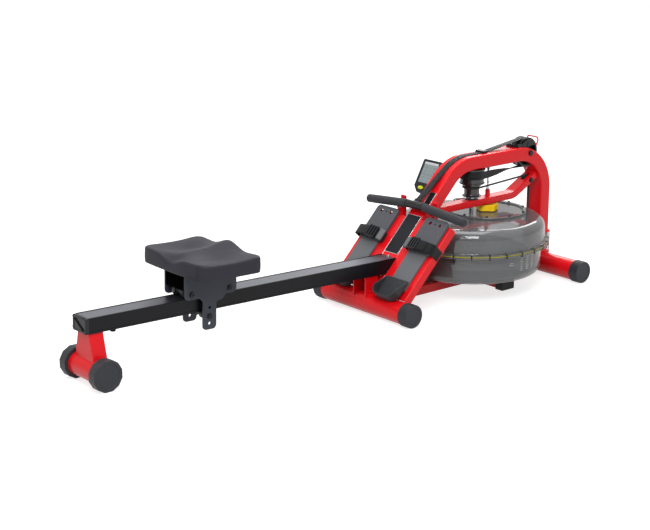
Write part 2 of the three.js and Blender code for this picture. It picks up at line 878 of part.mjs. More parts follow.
for (const [side, sign] of sides) {
  const armTop = cradleBottom + cradleHeight;
  const pad = block(tankX - cradleLength / 2 - restWall, tankX + cradleLength / 2 + restWall,
    restInner, cradleReach + restWall, cradleBottom - restWall / 2, tankBottom - gap);
  const pocket = block(tankX - cradleLength / 2 - gap, tankX + cradleLength / 2 + gap,
    0, cradleReach + gap, cradleBottom - gap, armTop + gap);
  place(`tank_rest_${side}`, 'rubber', onSide(carve([pad], [pocket]), sign));
}

// Lower bar with the rod boss, the shaft hole and the upper cord pulley's slot
const barLine = bentLine([
  onIncline(0, 0).map((value, i) => (i ? barZ : value)),
  [barCornerX, barZ],
  [postX, barZ + (postX - barCornerX) * Math.tan(barRiseAngle)],
], barBendRadius, bendSteps);
const barTop = barZ + barDepth / 2;
const bossTop = barTop + bossHeight;

function lowerBar() {
  const outside = roundedPrism(barOutline(barLine, barDepth / 2), barWidth, barCorner);
  const innerHalf = barWidth / 2 - barWall;
  const inside = prismY(barOutline(barLine, barDepth / 2 - barWall), -innerHalf, innerHalf);
  const slotWide = sheaveWidth / 2 + runningGap;
  const slot = rodY(cordTurnRadius + 2 * cordRadius + runningGap, -slotWide, slotWide,
    sheaveX, upperSheaveZ, roundSides);
  const holeRadius = shaftRadius + runningGap;
  const shaftHole = rodZ(holeRadius, barZ - barDepth, barZ + barDepth, tankX, 0);
  const shaftSleeve = rodZ(holeRadius + barWall, barZ - barDepth / 2, barTop, tankX, 0);
  const boss = rodZ(bossRadius, barTop - barWall, bossTop, guideRodX, 0);
  const pin = rodY(sheavePin, -innerHalf - barWall, innerHalf + barWall, sheaveX, upperSheaveZ, smallSides);
  const bolt = rodY(socketBoltRadius, -barWidth / 2 - socketBoltHead, barWidth / 2 + socketBoltHead,
    sheaveX, upperSheaveZ, smallSides);
  const boltMiddle = rodY(socketBoltRadius + gap, -innerHalf, innerHalf, sheaveX, upperSheaveZ, roundSides);
  const shell = carve([outside, bolt], [inside, boltMiddle, mainTubeGrown(gap)]);
  return carve([carve([shell, shaftSleeve, boss], [slot, shaftHole]), pin]);
}

place('lower_bar', 'redPaint', lowerBar());

// Footboards: folded sheet beside the diagonal, each with a hook that the handle rests on

function inclineBlock(u0, u1, w0, w1, y0, y1) {
  return prismY([onIncline(u0, w0), onIncline(u1, w0), onIncline(u1, w1), onIncline(u0, w1)], y0, y1);
}

function hookOutline() {
  const back = handleX + gripRadius + runningGap;
  const front = back + hookBack;
  const drop = (hookY + hookAcross / 2 - handleCentreHalf) * Math.tan(gripDroop);
  const shelf = handleZ - drop - gripRadius / Math.cos(gripDroop) - gap;
  const tip = handleZ + hookRise;
  const [footX, footZ] = onIncline(boardTop - hookWidth, tubeFace - boardSheet / 2);
  const [lowX, lowZ] = onIncline(boardTop - hookWidth, tubeFace - 2 * hookWidth);
  const [neckX, neckZ] = onIncline(boardTop + hookWidth, tubeFace - boardSheet);
  return [
    [footX, footZ], [lowX, lowZ], [front, lowZ + hookWidth], [front, tip], [back, tip], [back, shelf],
    [handleX - hookLip, shelf], [handleX - hookLip, shelf - hookShelf],
    [neckX, shelf - hookShelf], [neckX, neckZ],
  ].reverse();
}

const boardInner = tubeWidth / 2 + gap;

for (const [side, sign] of sides) {
  const sheet = inclineBlock(boardFoot, boardTop, tubeFace - boardSheet, tubeFace, boardInner, boardOuter);
  const flange = inclineBlock(boardFoot, boardTop, tubeFace - boardFlange, tubeFace,
    boardOuter - boardSheet, boardOuter);
  const hook = prismY(hookOutline(), hookY - hookAcross / 2, hookY + hookAcross / 2);
  const board = carve([sheet, flange, hook], [footTubeGrown(midFootX, gap)]);
  place(`footboard_${side}`, 'redPaint', onSide(keepLargest(board), sign));
}

// Toe boards: moulded plates with a channel that the heel slider's tongue runs in

const toeFloor = tubeFace + gap;
const channelTop = toeFloor + tongueThickness + 2 * gap;
const toeSurface = channelTop + toeWall;

function toeBoard() {
  const outline = roundedRect(toeFoot, toeTop, toeInner, toeOuter, toeCorner);
  const plate = prismZ(outline, toeFloor, toeSurface);
  const channel = block(toeFoot - overrun, toeTop + overrun, tongueInner - runningGap,
    tongueOuter + runningGap, toeFloor - overrun, channelTop);
  const middle = (toeInner + toeOuter) / 2;
  const holes = [[-1, 1], [1, 1], [0, 1 / 2]].map(([place, share]) => rodZ(toeHoleRadius * share,
    channelTop - toeWall, toeSurface + toeWall, toeTop - toeHoleInset, middle + place * toeHoleSpread,
    smallSides));
  return carve([plate], [channel, ...holes]);
}

// Heel sliders: a tongue under the toe board and a cup round the heel

function heelSlider() {
  const tongueLow = toeFloor + gap;
  const tongueHigh = tongueLow + tongueThickness - gap;
  const tongue = block(tongueFoot, tongueTop, tongueInner, tongueOuter, tongueLow, tongueHigh);
  const joint = block(tongueFoot, cupTop, tongueInner, tongueOuter, tongueLow, cupLift + cupFloor);
  const outer = roundedRect(cupFoot, cupTop + cupCorner, cupInner, cupOuter, cupCorner);
  const inner = roundedRect(cupFoot + cupWall, cupTop + 2 * cupCorner, cupInner + cupWall,
    cupOuter - cupWall, cupCorner - cupWall);
  const shell = prismZ(outer, cupLift, cupLift + cupHeight);
  const hollow = prismZ(inner, cupLift + cupFloor, cupLift + cupHeight + overrun);
  const openEnd = block(cupTop, cupTop + overrun, 0, cupOuter + overrun, 0, cupLift + cupHeight + overrun);
  const slope = prismY([
    [cupFoot + cupCorner, cupLift + cupHeight], [cupTop, cupLift + cupFloor],
    [cupTop + overrun, cupLift + cupFloor], [cupTop + overrun, cupLift + cupHeight + overrun],
    [cupFoot + cupCorner, cupLift + cupHeight + overrun],
  ], 0, 2 * boardOuter);
  return carve([carve([shell], [hollow, openEnd, slope]), tongue, joint]);
}

// Foot straps: webbing arched over the toe board and down outside the footboard

function footStrap() {
  const inner = toeInner - strapClear - strapThickness / 2;
  const outer = boardOuter + gap + strapThickness / 2;
  const top = toeSurface + strapRise;
  const shoulder = toeSurface + strapRise / 2;
  const middle = (inner + outer) / 2;
  const line = new THREE.CatmullRomCurve3([
    new THREE.Vector3(inner, toeFloor, 0),
    new THREE.Vector3(inner, shoulder, 0),
    new THREE.Vector3((inner + middle) / 2, top - strapTail / 2, 0),
    new THREE.Vector3(middle, top, 0),
    new THREE.Vector3((middle + outer) / 2, top - strapTail / 2, 0),
    new THREE.Vector3(outer, shoulder, 0),
    new THREE.Vector3(outer, tubeFace - strapTail, 0),
  ], false, 'catmullrom', strapTensionShare);
  const points = line.getPoints(strapSteps);
  const half = strapThickness / 2;
  const edge = (sign) => points.map((point, i) => {
    const ahead = points[Math.min(i + 1, points.length - 1)];
    const behind = points[Math.max(i - 1, 0)];
    const tangent = ahead.clone().sub(behind).normalize();
    return [point.x - sign * half * tangent.y, point.y + sign * half * tangent.x];
  });
  const outline = [...edge(-1), ...edge(1).reverse()];
  const low = strapPlace - strapWidth / 2;
  return prismX(outline, low, low + strapWidth);
}

for (const [side, sign] of sides) {
  place(`toe_board_${side}`, 'greyPlastic', onSide(toeBoard(), sign), inclineGroup);
  place(`heel_slider_${side}`, 'blackPlastic', onSide(heelSlider(), sign), inclineGroup);
  place(`foot_strap_${side}`, 'webbing', onSide(carve([footStrap()]), sign), inclineGroup);
}

// Belt pulley with its axle and guard, and the belt guide on top of the arch

function beltPulley() {
  const half = pulleyWidth / 2;
  const bore = axleRadius + gap;
  return turnedY([
    [bore, -half], [pulleyRadius, -half], [pulleyRadius, pulleyFlange - half],
    [pulleyTread, pulleyFlange - half], [pulleyTread, half - pulleyFlange],
    [pulleyRadius, half - pulleyFlange], [pulleyRadius, half], [bore, half],
  ], wheelSides).translate(pulleyX, 0, pulleyZ);
}

function pulleyAxle() {
  const face = tubeWidth / 2 + gap;
  const heads = [-1, 1].map((sign) => {
    const y0 = Math.min(sign * face, sign * (face + axleHead));
    return rodY(axleHeadRadius, y0, y0 + axleHead, pulleyX, pulleyZ, smallSides);
  });
  return carve([rodY(axleRadius, -face - gap, face + gap, pulleyX, pulleyZ, smallSides), ...heads]);
}

const archTop = archTopZ + tubeFace;

function pulleyGuard() {
  const inner = slotHalf + gap;
  const cheeks = [-1, 1].map((sign) => {
    const y0 = Math.min(sign * inner, sign * (inner + guardThickness));
    return rodY(guardRadius, y0, y0 + guardThickness, pulleyX, pulleyZ, roundSides);
  });
  const bridgeRear = pulleyX - pulleyRadius - pulleyClearance - guardBridge;
  const bridge = block(bridgeRear, bridgeRear + guardBridge, -inner - guardThickness, inner + guardThickness,
    archTop - guardBridge, archTop + 2 * guardBridge);
  const arms = [-1, 1].map((sign) => {
    const y0 = Math.min(sign * inner, sign * (inner + guardThickness));
    return block(bridgeRear, pulleyX, y0, y0 + guardThickness, archTopZ, archTop + 2 * guardBridge);
  });
  return carve([bridge, ...arms, ...cheeks], [mainTubeGrown(gap)]);
}

function beltGuide() {
  const half = beltWidth / 2 + runningGap;
  const low = archTop + gap;
  const beltTop = low + beltThickness + gap;
  const x0 = guideX - guideLength / 2;
  const top = beltTop + gap + guideBar;
  const body = block(x0, x0 + guideLength, -half - guideWall, half + guideWall, low, top);
  const slot = block(x0 - overrun, x0 + guideLength + overrun, -half, half, low - overrun, beltTop + gap);
  return carve([body], [slot]);
}

place('belt_pulley', 'blackPlastic', carve([beltPulley()]));
place('pulley_axle', 'steel', pulleyAxle());
place('pulley_guard', 'blackPlastic', keepLargest(pulleyGuard()));
place('belt_guide', 'blackPlastic', beltGuide());

// Drum on the paddle wheel's shaft, its bracket under the arch and the guide rod

function drumSpool() {
  const bore = shaftRadius + gap;
  return turnedZ([
    [bore, drumBottom], [drumFlangeRadius, drumBottom], [drumFlangeRadius, drumFlangeTop],
    [spoolRadius, drumFlangeTop], [spoolRadius, spoolTop], [midFlangeRadius, spoolTop],
    [midFlangeRadius, midFlangeTop], [rollRadius, midFlangeTop], [rollRadius, rollTop], [bore, rollTop],
  ], wheelSides, tankX, 0);
}

const archUnder = archTopZ - tubeFace;
const bracketBottom = archUnder - gap - bracketThickness;

function drumBracket() {
  const disc = rodZ(bracketRadius, bracketBottom, archUnder - gap, tankX, 0);
  const halfTab = 3 * guideRodRadius;
  const tab = block(tankX, guideRodX + halfTab, -halfTab, halfTab, bracketBottom, archUnder - gap);
  return carve([disc, tab], [mainTubeGrown(gap)]);
}

place('drum_spool', 'blackPlastic', carve([drumSpool()]));
place('drum_bracket', 'blackPaint', drumBracket());
const guideRod = rodZ(guideRodRadius, bossTop + gap, bracketBottom - gap, guideRodX, 0, smallSides);
place('guide_rod', 'steel', guideRod);

const tankFloorTop = tankBottom + tankFloor;
const shaftBottom = tankFloorTop + shaftBossHeight + gap;

function impellerShaft() {
  const shaft = rodZ(shaftRadius, shaftBottom, bracketBottom - gap, tankX, 0, roundSides);
  const collar = rodZ(collarRadius, barTop + gap, drumBottom - gap, tankX, 0, roundSides);
  return carve([shaft, collar]);
}

function impeller() {
  const top = impellerBottom + impellerHeight;
  const hub = rodZ(impellerHub, impellerBottom, top, tankX, 0);
  const blades = Array.from({ length: impellerBlades }, (_, i) => {
    const half = bladeThickness / 2;
    const blade = block(impellerHub / 2, impellerRadius, -half, half, impellerBottom, top);
    return blade.rotateZ(2 * Math.PI * i / impellerBlades).translate(tankX, 0, 0);
  });
  return carve([hub, ...blades], [rodZ(shaftRadius + gap, 0, tankTop, tankX, 0)]);
}

place('impeller_shaft', 'steel', impellerShaft());
place('impeller', 'blackPlastic', impeller());

// Tank: lower bowl, upper shell, seal between their flanges, lid, plug and fixed baffle

const lowerFlangeTop = sealZ - sealThickness / 2 - gap;
const upperFlangeBottom = sealZ + sealThickness / 2 + gap;

function tankLower() {
  const inner = tankLowerRadius - tankWall;
  const quarter = Math.PI / 2;
  const outside = arc(tankLowerRadius - tankFootCorner, tankBottom + tankFootCorner, tankFootCorner,
    -quarter, 0, filletSteps);
  const innerCorner = tankFootCorner - tankWall;
  const inside = arc(inner - innerCorner, tankFloorTop + innerCorner, innerCorner,
    0, -quarter, innerFilletSteps);
  const bowl = turnedZ([
    [0, tankBottom], ...outside,
    [tankLowerRadius, lowerFlangeTop - flangeThickness], [flangeRadius, lowerFlangeTop - flangeThickness],
    [flangeRadius, lowerFlangeTop], [inner, lowerFlangeTop], ...inside, [0, tankFloorTop],
  ], tankSides, tankX, 0);
  const bossTopZ = tankFloorTop + shaftBossHeight;
  const boss = rodZ(shaftBossRadius, tankFloorTop - tankFloor / 2, bossTopZ, tankX, 0);
  return carve([bowl, boss]);
}

function tankUpper() {
  const quarter = Math.PI / 2;
  const centre = [tankShoulderRadius - tankShoulderCorner, tankTop - tankShoulderCorner];
  const outside = arc(...centre, tankShoulderCorner, 0, quarter, filletSteps);
  const inside = arc(...centre, tankShoulderCorner - tankWall, quarter, 0, innerFilletSteps);
  const flangeTop = upperFlangeBottom + flangeThickness;
  return turnedZ([
    [0, tankTop - tankWall], ...inside, [tankUpperRadius - tankWall, flangeTop],
    [sealInnerRadius, upperFlangeBottom], [flangeRadius, upperFlangeBottom], [flangeRadius, flangeTop],
    [tankUpperRadius, flangeTop], ...outside, [0, tankTop],
  ], tankSides, tankX, 0);
}

const shaftHole = rodZ(shaftRadius + runningGap, tankBottom + overrun, barTop, tankX, 0);
place('tank_lower', 'smoke', tankLower());
place('tank_upper', 'smoke', carve([tankUpper()], [shaftHole]));
place('seal_ring', 'yellow', carve([turnedZ([
  [sealInnerRadius, sealZ - sealThickness / 2], [sealRadius, sealZ - sealThickness / 2],
  [sealRadius, sealZ + sealThickness / 2], [sealInnerRadius, sealZ + sealThickness / 2],
], tankSides, tankX, 0)]));

const lidBottom = tankTop + gap;
const lidSurface = lidBottom + lidThickness;

function tankLid() {
  const lid = turnedZ([
    [0, lidBottom], [lidRadius, lidBottom], [lidRadius, lidBottom + lidRingHeight],
    [lidRadius - lidRing, lidBottom + lidRingHeight], [lidRadius - lidRing, lidSurface], [0, lidSurface],
  ], wheelSides, lidX, 0);
  return carve([lid], [shaftHole]);
}

place('tank_lid', 'smoke', tankLid());
const plugBottom = tankTop + gap;
place('fill_plug', 'blackPlastic', rodZ(plugRadius, plugBottom, plugBottom + plugHeight, plugX, plugY));

function knobOutline() {
  const count = 6 * knobLobes;
  return Array.from({ length: count }, (_, i) => {
    const angle = 2 * Math.PI * i / count;
    const radius = knobRadius + knobLobe * Math.cos(knobLobes * (angle - knobTurn));
    return [radius * Math.cos(angle), radius * Math.sin(angle)];
  });
}

function tankKnob() {
  const bottom = lidSurface + gap;
  const grip = prismZ(knobOutline(), bottom + knobNeckHeight, bottom + knobNeckHeight + knobHeight);
  const neck = rodZ(knobNeckRadius, bottom, bottom + knobNeckHeight + knobHeight / 2, 0, 0);
  return carve([grip.clone(), neck]).translate(lidX, 0, 0);
}

place('tank_knob', 'yellow', tankKnob());

function tankBaffle() {
  const low = tankFloorTop + gap;
  const high = low + baffleHeight;
  const ring = turnedZ([
    [baffleRadius - baffleWall, low], [baffleRadius, low],
    [baffleRadius, high], [baffleRadius - baffleWall, high],
  ], wheelSides, tankX, 0);
  const fins = Array.from({ length: baffleFins }, (_, i) => {
    const outer = baffleRadius - baffleWall / 2;
    const fin = block(outer - baffleFinReach, outer, -baffleWall / 2, baffleWall / 2, low, high);
    return fin.rotateZ(2 * Math.PI * (i + 1 / 2) / baffleFins).translate(tankX, 0, 0);
  });
  return carve([ring, ...fins]);
}

place('tank_baffle', 'greyPlastic', tankBaffle());

// Small cord pulleys

function sheave(x, z) {
  const half = sheaveWidth / 2;
  const groove = cordTurnRadius - cordRadius - gap;
  const bore = sheavePin + gap;
  const lip = (half - cordRadius) / 2;
  return carve([turnedY([
    [bore, -half], [sheaveRim, -half], [sheaveRim, lip - half],
    [groove, -cordRadius - gap], [groove, cordRadius + gap],
    [sheaveRim, half - lip], [sheaveRim, half], [bore, half],
  ], roundSides)]).translate(x, 0, z);
}

place('bungee_pulley_upper', 'blackPlastic', sheave(sheaveX, upperSheaveZ));
place('bungee_pulley_lower', 'blackPlastic', sheave(sheaveX, lowerSheaveZ));

// Belt from the handle over the arch and round the pulley, then twisted on to the drum

const yAxis = new THREE.Vector3(0, 1, 0);

function beltStation(x, z, angle) {
  const out = new THREE.Vector3(Math.cos(angle), 0, Math.sin(angle));
  return { at: new THREE.Vector3(x, 0, z), across: yAxis, out };
}

function beltStart() {
  const reach = clipReach + gap;
  return [handleX + reach * cosIncline, handleZ + reach * sinIncline];
}

const beltLevel = rollTop - beltWidth / 2 - gap;

function pulleyLeave(turn) {
  const [reach, rise] = [tankX + rollRadius - pulleyX, beltLevel - pulleyZ];
  return Math.atan2(rise, reach) + Math.acos(turn / Math.hypot(reach, rise));
}

function beltRun() {
  const lift = gap + beltThickness / 2;
  const bendX = archCornerX + archBendRadius * Math.tan(inclineAngle / 2);
  const bendZ = archTopZ - archBendRadius;
  const bendRadius = archBendRadius + tubeFace + lift;
  const [startX, startZ] = beltStart();
  const distance = Math.hypot(startX - bendX, startZ - bendZ);
  const bearing = Math.atan2(startZ - bendZ, startX - bendX);
  const leave = bearing - Math.acos(bendRadius / distance);
  const stations = [beltStation(startX, startZ, leave)];
  for (let i = 0; i <= bendSteps; i += 1) {
    const angle = leave + (Math.PI / 2 - leave) * i / bendSteps;
    const [x, z] = [bendX + bendRadius * Math.cos(angle), bendZ + bendRadius * Math.sin(angle)];
    stations.push(beltStation(x, z, angle));
  }
  const flatZ = bendZ + bendRadius;
  const wrapSteps = 2 * bendSteps;
  const turn = (pulleyTread + gap) / Math.cos(Math.PI / (2 * wrapSteps - 1)) + beltThickness / 2;
  const guideEnd = guideX + guideLength / 2;
  const toPulley = Math.atan2(pulleyZ - flatZ, pulleyX - guideEnd);
  const far = Math.hypot(pulleyZ - flatZ, pulleyX - guideEnd);
  const rise = toPulley + Math.asin(turn / far);
  stations.push(beltStation(guideEnd, flatZ, Math.PI / 2 + rise / 2));
  const last = pulleyLeave(turn);
  for (let i = 0; i <= wrapSteps; i += 1) {
    const angle = Math.PI / 2 + rise - (Math.PI / 2 + rise - last) * i / wrapSteps;
    stations.push(beltStation(pulleyX + turn * Math.cos(angle), pulleyZ + turn * Math.sin(angle), angle));
  }
  const start = new THREE.Vector3(pulleyX + turn * Math.cos(last), 0, pulleyZ + turn * Math.sin(last));
  return [...stations, ...twistedBelt(start)];
}

function twistedBelt(start) {
  const wrapSteps = 2 * bendSteps;
  const roll = (rollRadius + gap) / Math.cos(Math.PI / (2 * wrapSteps)) + beltThickness / 2;
  const touch = -Math.acos(roll / (pulleyX - tankX));
  const end = new THREE.Vector3(tankX + roll * Math.cos(touch), roll * Math.sin(touch), beltLevel);
  const side = new THREE.Vector3(Math.cos(touch), Math.sin(touch), 0);
  const twist = Array.from({ length: bendSteps }, (_, i) => {
    const share = (i + 1) / bendSteps;
    const turn = share * share * Math.PI / 2;
    const out = side.clone().multiplyScalar(Math.sin(turn)).setZ(-Math.cos(turn));
    const along = end.clone().sub(start).normalize();
    return {
      at: start.clone().lerp(end, share),
      across: along.cross(out).normalize().negate(),
      out,
    };
  });
  const wrap = Array.from({ length: wrapSteps }, (_, i) => {
    const angle = touch - Math.PI * (i + 1) / wrapSteps;
    const out = new THREE.Vector3(Math.cos(angle), Math.sin(angle), 0);
    const at = new THREE.Vector3(tankX, 0, beltLevel).addScaledVector(out, roll);
    return { at, across: new THREE.Vector3(0, 0, -1), out };
  });
  return [...twist, ...wrap];
}

place('belt_run', 'webbing', ribbon(beltRun(), beltWidth, beltThickness));

// Bungee cord from the drum over the upper pulley, down, and back along the base beam

function bungeeLine() {
  const wind = (spoolRadius + gap) / Math.cos(Math.PI / (2 * bendSteps)) + cordRadius;
  const points = [];
  for (let i = 0; i <= bendSteps; i += 1) {
    const angle = -Math.PI / 2 - Math.PI * i / bendSteps;
    points.push(new THREE.Vector3(tankX + wind * Math.cos(angle), wind * Math.sin(angle), cordLevel));
  }
  const turn = (z, from, to) => arc(sheaveX, z, cordTurnRadius, from, to, filletSteps)
    .forEach(([px, pz]) => points.push(new THREE.Vector3(px, 0, pz)));
  turn(upperSheaveZ, Math.PI / 2, 0);
  turn(lowerSheaveZ, 0, -Math.PI / 2);
  points.push(new THREE.Vector3(anchorX + anchorLength + gap, 0, lowerSheaveZ - cordTurnRadius));
  return points;
}

place('bungee_cord', 'webbing', roundCord(bungeeLine(), cordRadius));

// Handle with two grips and the clip for the belt

function handleArm(geometry) {
  return geometry.rotateX(-gripDroop).translate(handleX, handleCentreHalf, handleZ);
}

const gripStart = (gripRadius * Math.sin(gripDroop) + 2 * gap) / Math.cos(gripDroop);

function handleBar() {
  const centre = rodY(handleCentreRadius, -handleCentreHalf, handleCentreHalf, handleX, handleZ);
  const arms = sides.map(([, sign]) => onSide(
    carve([handleArm(rodY(handleCoreRadius, -handleCentreHalf / 2, gripLength - gripEndWall - gap, 0, 0))]),
    sign,
  ));
  return carve([centre, ...arms]);
}

function handleGrip() {
  const skin = rodY(gripRadius, gripStart, gripStart + gripLength, 0, 0);
  const bore = rodY(handleCoreRadius + gap, -overrun, gripLength - gripEndWall, 0, 0);
  return handleArm(carve([skin], [bore]));
}

function handleClip() {
  const inner = handleCentreRadius + gap;
  const [halfWidth, halfThickness] = [clipWidth / 2, clipThickness / 2];
  const clip = block(inner, clipReach, -halfWidth, halfWidth, -halfThickness, halfThickness);
  const recess = rodY(inner, -clipWidth, clipWidth, 0, 0);
  return carve([clip.clone()], [recess]).rotateY(-inclineAngle).translate(handleX, 0, handleZ);
}

place('handle_bar', 'blackPaint', handleBar());
place('handle_clip', 'blackPlastic', handleClip());
for (const [side, sign] of sides) place(`handle_grip_${side}`, 'foam', onSide(handleGrip(), sign));

// Seat, carriage and wheels, built level on the rail

const upperWheelZ = stripTop + gap + upperWheelRadius;
const lowerWheelZ = -gap - lowerWheelRadius;
const saddleTop = seatUnderside - gap;

function carriagePlate() {
  return [
    [plateRear, saddleTop], [plateRear, plateBottom + plateChamfer],
    [plateRear + plateChamfer, plateBottom],
    [tongueRear - gussetRear, plateBottom], [tongueRear, plateBottom - gussetRear],
    [tongueRear, tongueRound - tongueDrop], [tongueRear + tongueRound / 3, tongueRound / 3 - tongueDrop],
    [tongueRear + tongueRound, -tongueDrop], [tongueFront - tongueRound, -tongueDrop],
    [tongueFront - tongueRound / 3, tongueRound / 3 - tongueDrop], [tongueFront, tongueRound - tongueDrop],
    [tongueFront, plateBottom - gussetDrop - gussetRear / 2],
    [tongueFront + gussetFront, plateBottom - gussetDrop],
    [tongueFront + gussetFront + gussetRear, plateBottom], [plateFront - plateChamfer, plateBottom],
    [plateFront, plateBottom + plateChamfer], [plateFront, saddleTop],
  ];
}

const wheels = [
  ['seat_wheel_rear', rearWheelAlong, upperWheelZ, upperWheelRadius],
  ['seat_wheel_front', frontWheelAlong, upperWheelZ, upperWheelRadius],
  ['seat_wheel_lower', lowerWheelAlong, lowerWheelZ, lowerWheelRadius],
];

function seatCarriage() {
  const plates = [-1, 1].map((sign) => {
    const y0 = Math.min(sign * plateOuter, sign * (plateOuter - plateThickness));
    return prismY(carriagePlate(), y0, y0 + plateThickness);
  });
  const saddle = block(plateRear, plateFront, -plateOuter, plateOuter,
    saddleTop - saddleThickness, saddleTop);
  const axles = wheels.map(([, x, z]) => rodY(wheelAxleRadius, -plateOuter, plateOuter, x, z, smallSides));
  const heads = wheels.flatMap(([, x, z]) => [-1, 1].map((sign) => {
    const y0 = Math.min(sign * plateOuter, sign * (plateOuter + wheelBoltHead));
    return rodY(wheelBoltRadius, y0, y0 + wheelBoltHead, x, z, smallSides);
  }));
  const holes = [-tongueHoleLow, tongueHoleHigh].map((z) => rodY(tongueHoleRadius,
    -2 * plateOuter, 2 * plateOuter, lowerWheelAlong, z, smallSides));
  return carve([...plates, saddle, ...axles, ...heads], holes);
}

function seatWheel(x, z, radius) {
  const waist = radius * wheelWaistShare;
  const bore = wheelAxleRadius + gap;
  return carve([turnedY([
    [bore, -wheelHalfWidth], [radius, -wheelHalfWidth], [radius, -wheelWaistHalf], [waist, -wheelWaistHalf],
    [waist, wheelWaistHalf], [radius, wheelWaistHalf], [radius, wheelHalfWidth], [bore, wheelHalfWidth],
  ], roundSides)]).translate(x, 0, z);
}

place('seat_pad', 'foam', prismZ(
  roundedRect(seatRear, seatFront, -seatHalfWidth, seatHalfWidth, seatCorner, filletSteps),
  seatUnderside,
  seatUnderside + seatHeight,
), railGroup);
place('seat_carriage', 'steelBlue', seatCarriage(), railGroup);
for (const [name, x, z, radius] of wheels) place(name, 'blackPlastic', seatWheel(x, z, radius), railGroup);

// Monitor on an arm from the left side of the arch; its face is the plane at zero depth

const monitorGroup = new THREE.Group();
monitorGroup.position.set(monitorX, monitorY, monitorZ);
monitorGroup.rotation.y = monitorTilt;
machine.add(monitorGroup);

const pinDepth = monitorDepth + tiltPinBack;

function monitorHousing() {
  const y = monitorWidth / 2;
  const z = monitorHeight / 2;
  const body = prismX([
    [-y + monitorChamfer, -z], [y - monitorChamfer, -z], [y, monitorChamfer - z], [y, z], [-y, z],
    [-y, monitorChamfer - z],
  ], 0, monitorDepth);
  const pocket = rodX(buttonRadius + gap, -buttonPocket, buttonPocket, buttonAcross, -buttonDrop);
  const ears = [-1, 1].map((sign) => {
    const y0 = Math.min(sign * tiltEarSpread, sign * (tiltEarSpread + earThickness));
    const earEnd = pinDepth + tiltEarHalf;
    return block(monitorDepth - earThickness, earEnd, y0, y0 + earThickness, -tiltEarHalf, tiltEarHalf);
  });
  const pinHole = rodY(tiltPinRadius + gap, -monitorWidth, monitorWidth, pinDepth, 0, smallSides);
  return carve([body, ...ears], [pocket, pinHole]);
}

function monitorArm() {
  const near = tubeWidth / 2 + gap - monitorY;
  const reach = tiltEarSpread + 2 * earThickness;
  const pin = rodY(tiltPinRadius, near, reach, pinDepth, 0, smallSides);
  const plate = block(pinDepth - armReachBack, pinDepth + armPlateHalf, near, near + armPlate,
    -armPlateHalf, armPlateHalf);
  return carve([pin, plate]);
}

place('monitor_housing', 'blackPlastic', monitorHousing(), monitorGroup);
place('monitor_lens', 'screen', block(-lensThickness - gap, -gap, -lensWidth / 2, lensWidth / 2,
  lensRise - lensHeight / 2, lensRise + lensHeight / 2), monitorGroup);
place('monitor_button', 'yellow', rodX(buttonRadius, -buttonProud, buttonDepth, buttonAcross, -buttonDrop),
  monitorGroup);
place('monitor_arm', 'blackPaint', monitorArm(), monitorGroup);

// Middle of the whole length at zero, floor at zero
const rearmost = rearFootX - rearCapFlat;
const foremost = postX + tubeFace + gap + socketWall;
machine.position.x = -(rearmost + foremost) / 2;

const waterRower = new THREE.Group();
waterRower.add(machine);

export default waterRower;
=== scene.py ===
"""Looks of a water rowing machine, built around its packed construction model.

Metres, +Z up, +X from the rear foot to the tank, +Y to the rower's left.
"""

import json
import logging
import math
from dataclasses import dataclass, field
from enum import Enum
from itertools import pairwise
from typing import Iterable, Sequence

import bmesh
import bpy
from bmesh.types import BMEdge, BMesh, BMFace, BMVert
from bpy.types import Material, Mesh, Node, NodeSocket, NodeTree, Object
from mathutils import Matrix, Vector


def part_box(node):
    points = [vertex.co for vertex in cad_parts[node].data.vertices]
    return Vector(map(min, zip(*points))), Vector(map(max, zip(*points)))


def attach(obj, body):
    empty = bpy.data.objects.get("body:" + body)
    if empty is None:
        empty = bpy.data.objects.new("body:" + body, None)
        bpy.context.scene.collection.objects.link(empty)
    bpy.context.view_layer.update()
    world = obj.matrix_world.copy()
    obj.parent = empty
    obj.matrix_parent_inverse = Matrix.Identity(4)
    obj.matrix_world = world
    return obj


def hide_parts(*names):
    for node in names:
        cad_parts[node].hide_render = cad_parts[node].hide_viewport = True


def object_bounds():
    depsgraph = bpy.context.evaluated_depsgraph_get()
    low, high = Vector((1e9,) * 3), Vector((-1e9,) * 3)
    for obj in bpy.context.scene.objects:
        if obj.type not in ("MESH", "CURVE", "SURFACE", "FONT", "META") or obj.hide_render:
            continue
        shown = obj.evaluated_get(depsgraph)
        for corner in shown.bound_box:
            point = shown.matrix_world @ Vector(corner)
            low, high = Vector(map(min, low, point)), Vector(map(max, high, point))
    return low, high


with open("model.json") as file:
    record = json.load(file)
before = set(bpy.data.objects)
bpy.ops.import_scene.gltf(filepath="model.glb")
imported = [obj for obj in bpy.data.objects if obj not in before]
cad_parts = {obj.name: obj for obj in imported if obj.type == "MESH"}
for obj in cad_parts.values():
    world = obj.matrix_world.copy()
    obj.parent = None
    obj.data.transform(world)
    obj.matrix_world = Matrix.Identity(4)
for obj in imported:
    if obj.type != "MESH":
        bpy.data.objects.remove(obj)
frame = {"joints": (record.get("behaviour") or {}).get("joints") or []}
CAD_BOX = [list(corner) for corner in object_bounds()]

log = logging.getLogger("water_rower")

Point = tuple[float, ...]
Outline = Sequence[tuple[float, float]]

# A millimetre, a quarter turn, and the distance below which two points are one
MM = 0.001
QUARTER = math.pi / 2
TINY = 1e-6

# The gap left between parts that touch, the faces across a rounding, and the turn that stays sharp
HAIR = 0.3 * MM
FINE = 3
SMOOTH_ANGLE = math.radians(35)

# How many faces go round a bar or a turned part, from small ones to the tank's shells
FEW, SOME, ROUND, MANY, MOST = 32, 48, 64, 96, 160

# The roundings of edges: on small or thin parts, on most, and on moulded or cast ones
CRISP, EDGE, SOFT = 0.5 * MM, 0.8 * MM, 1 * MM

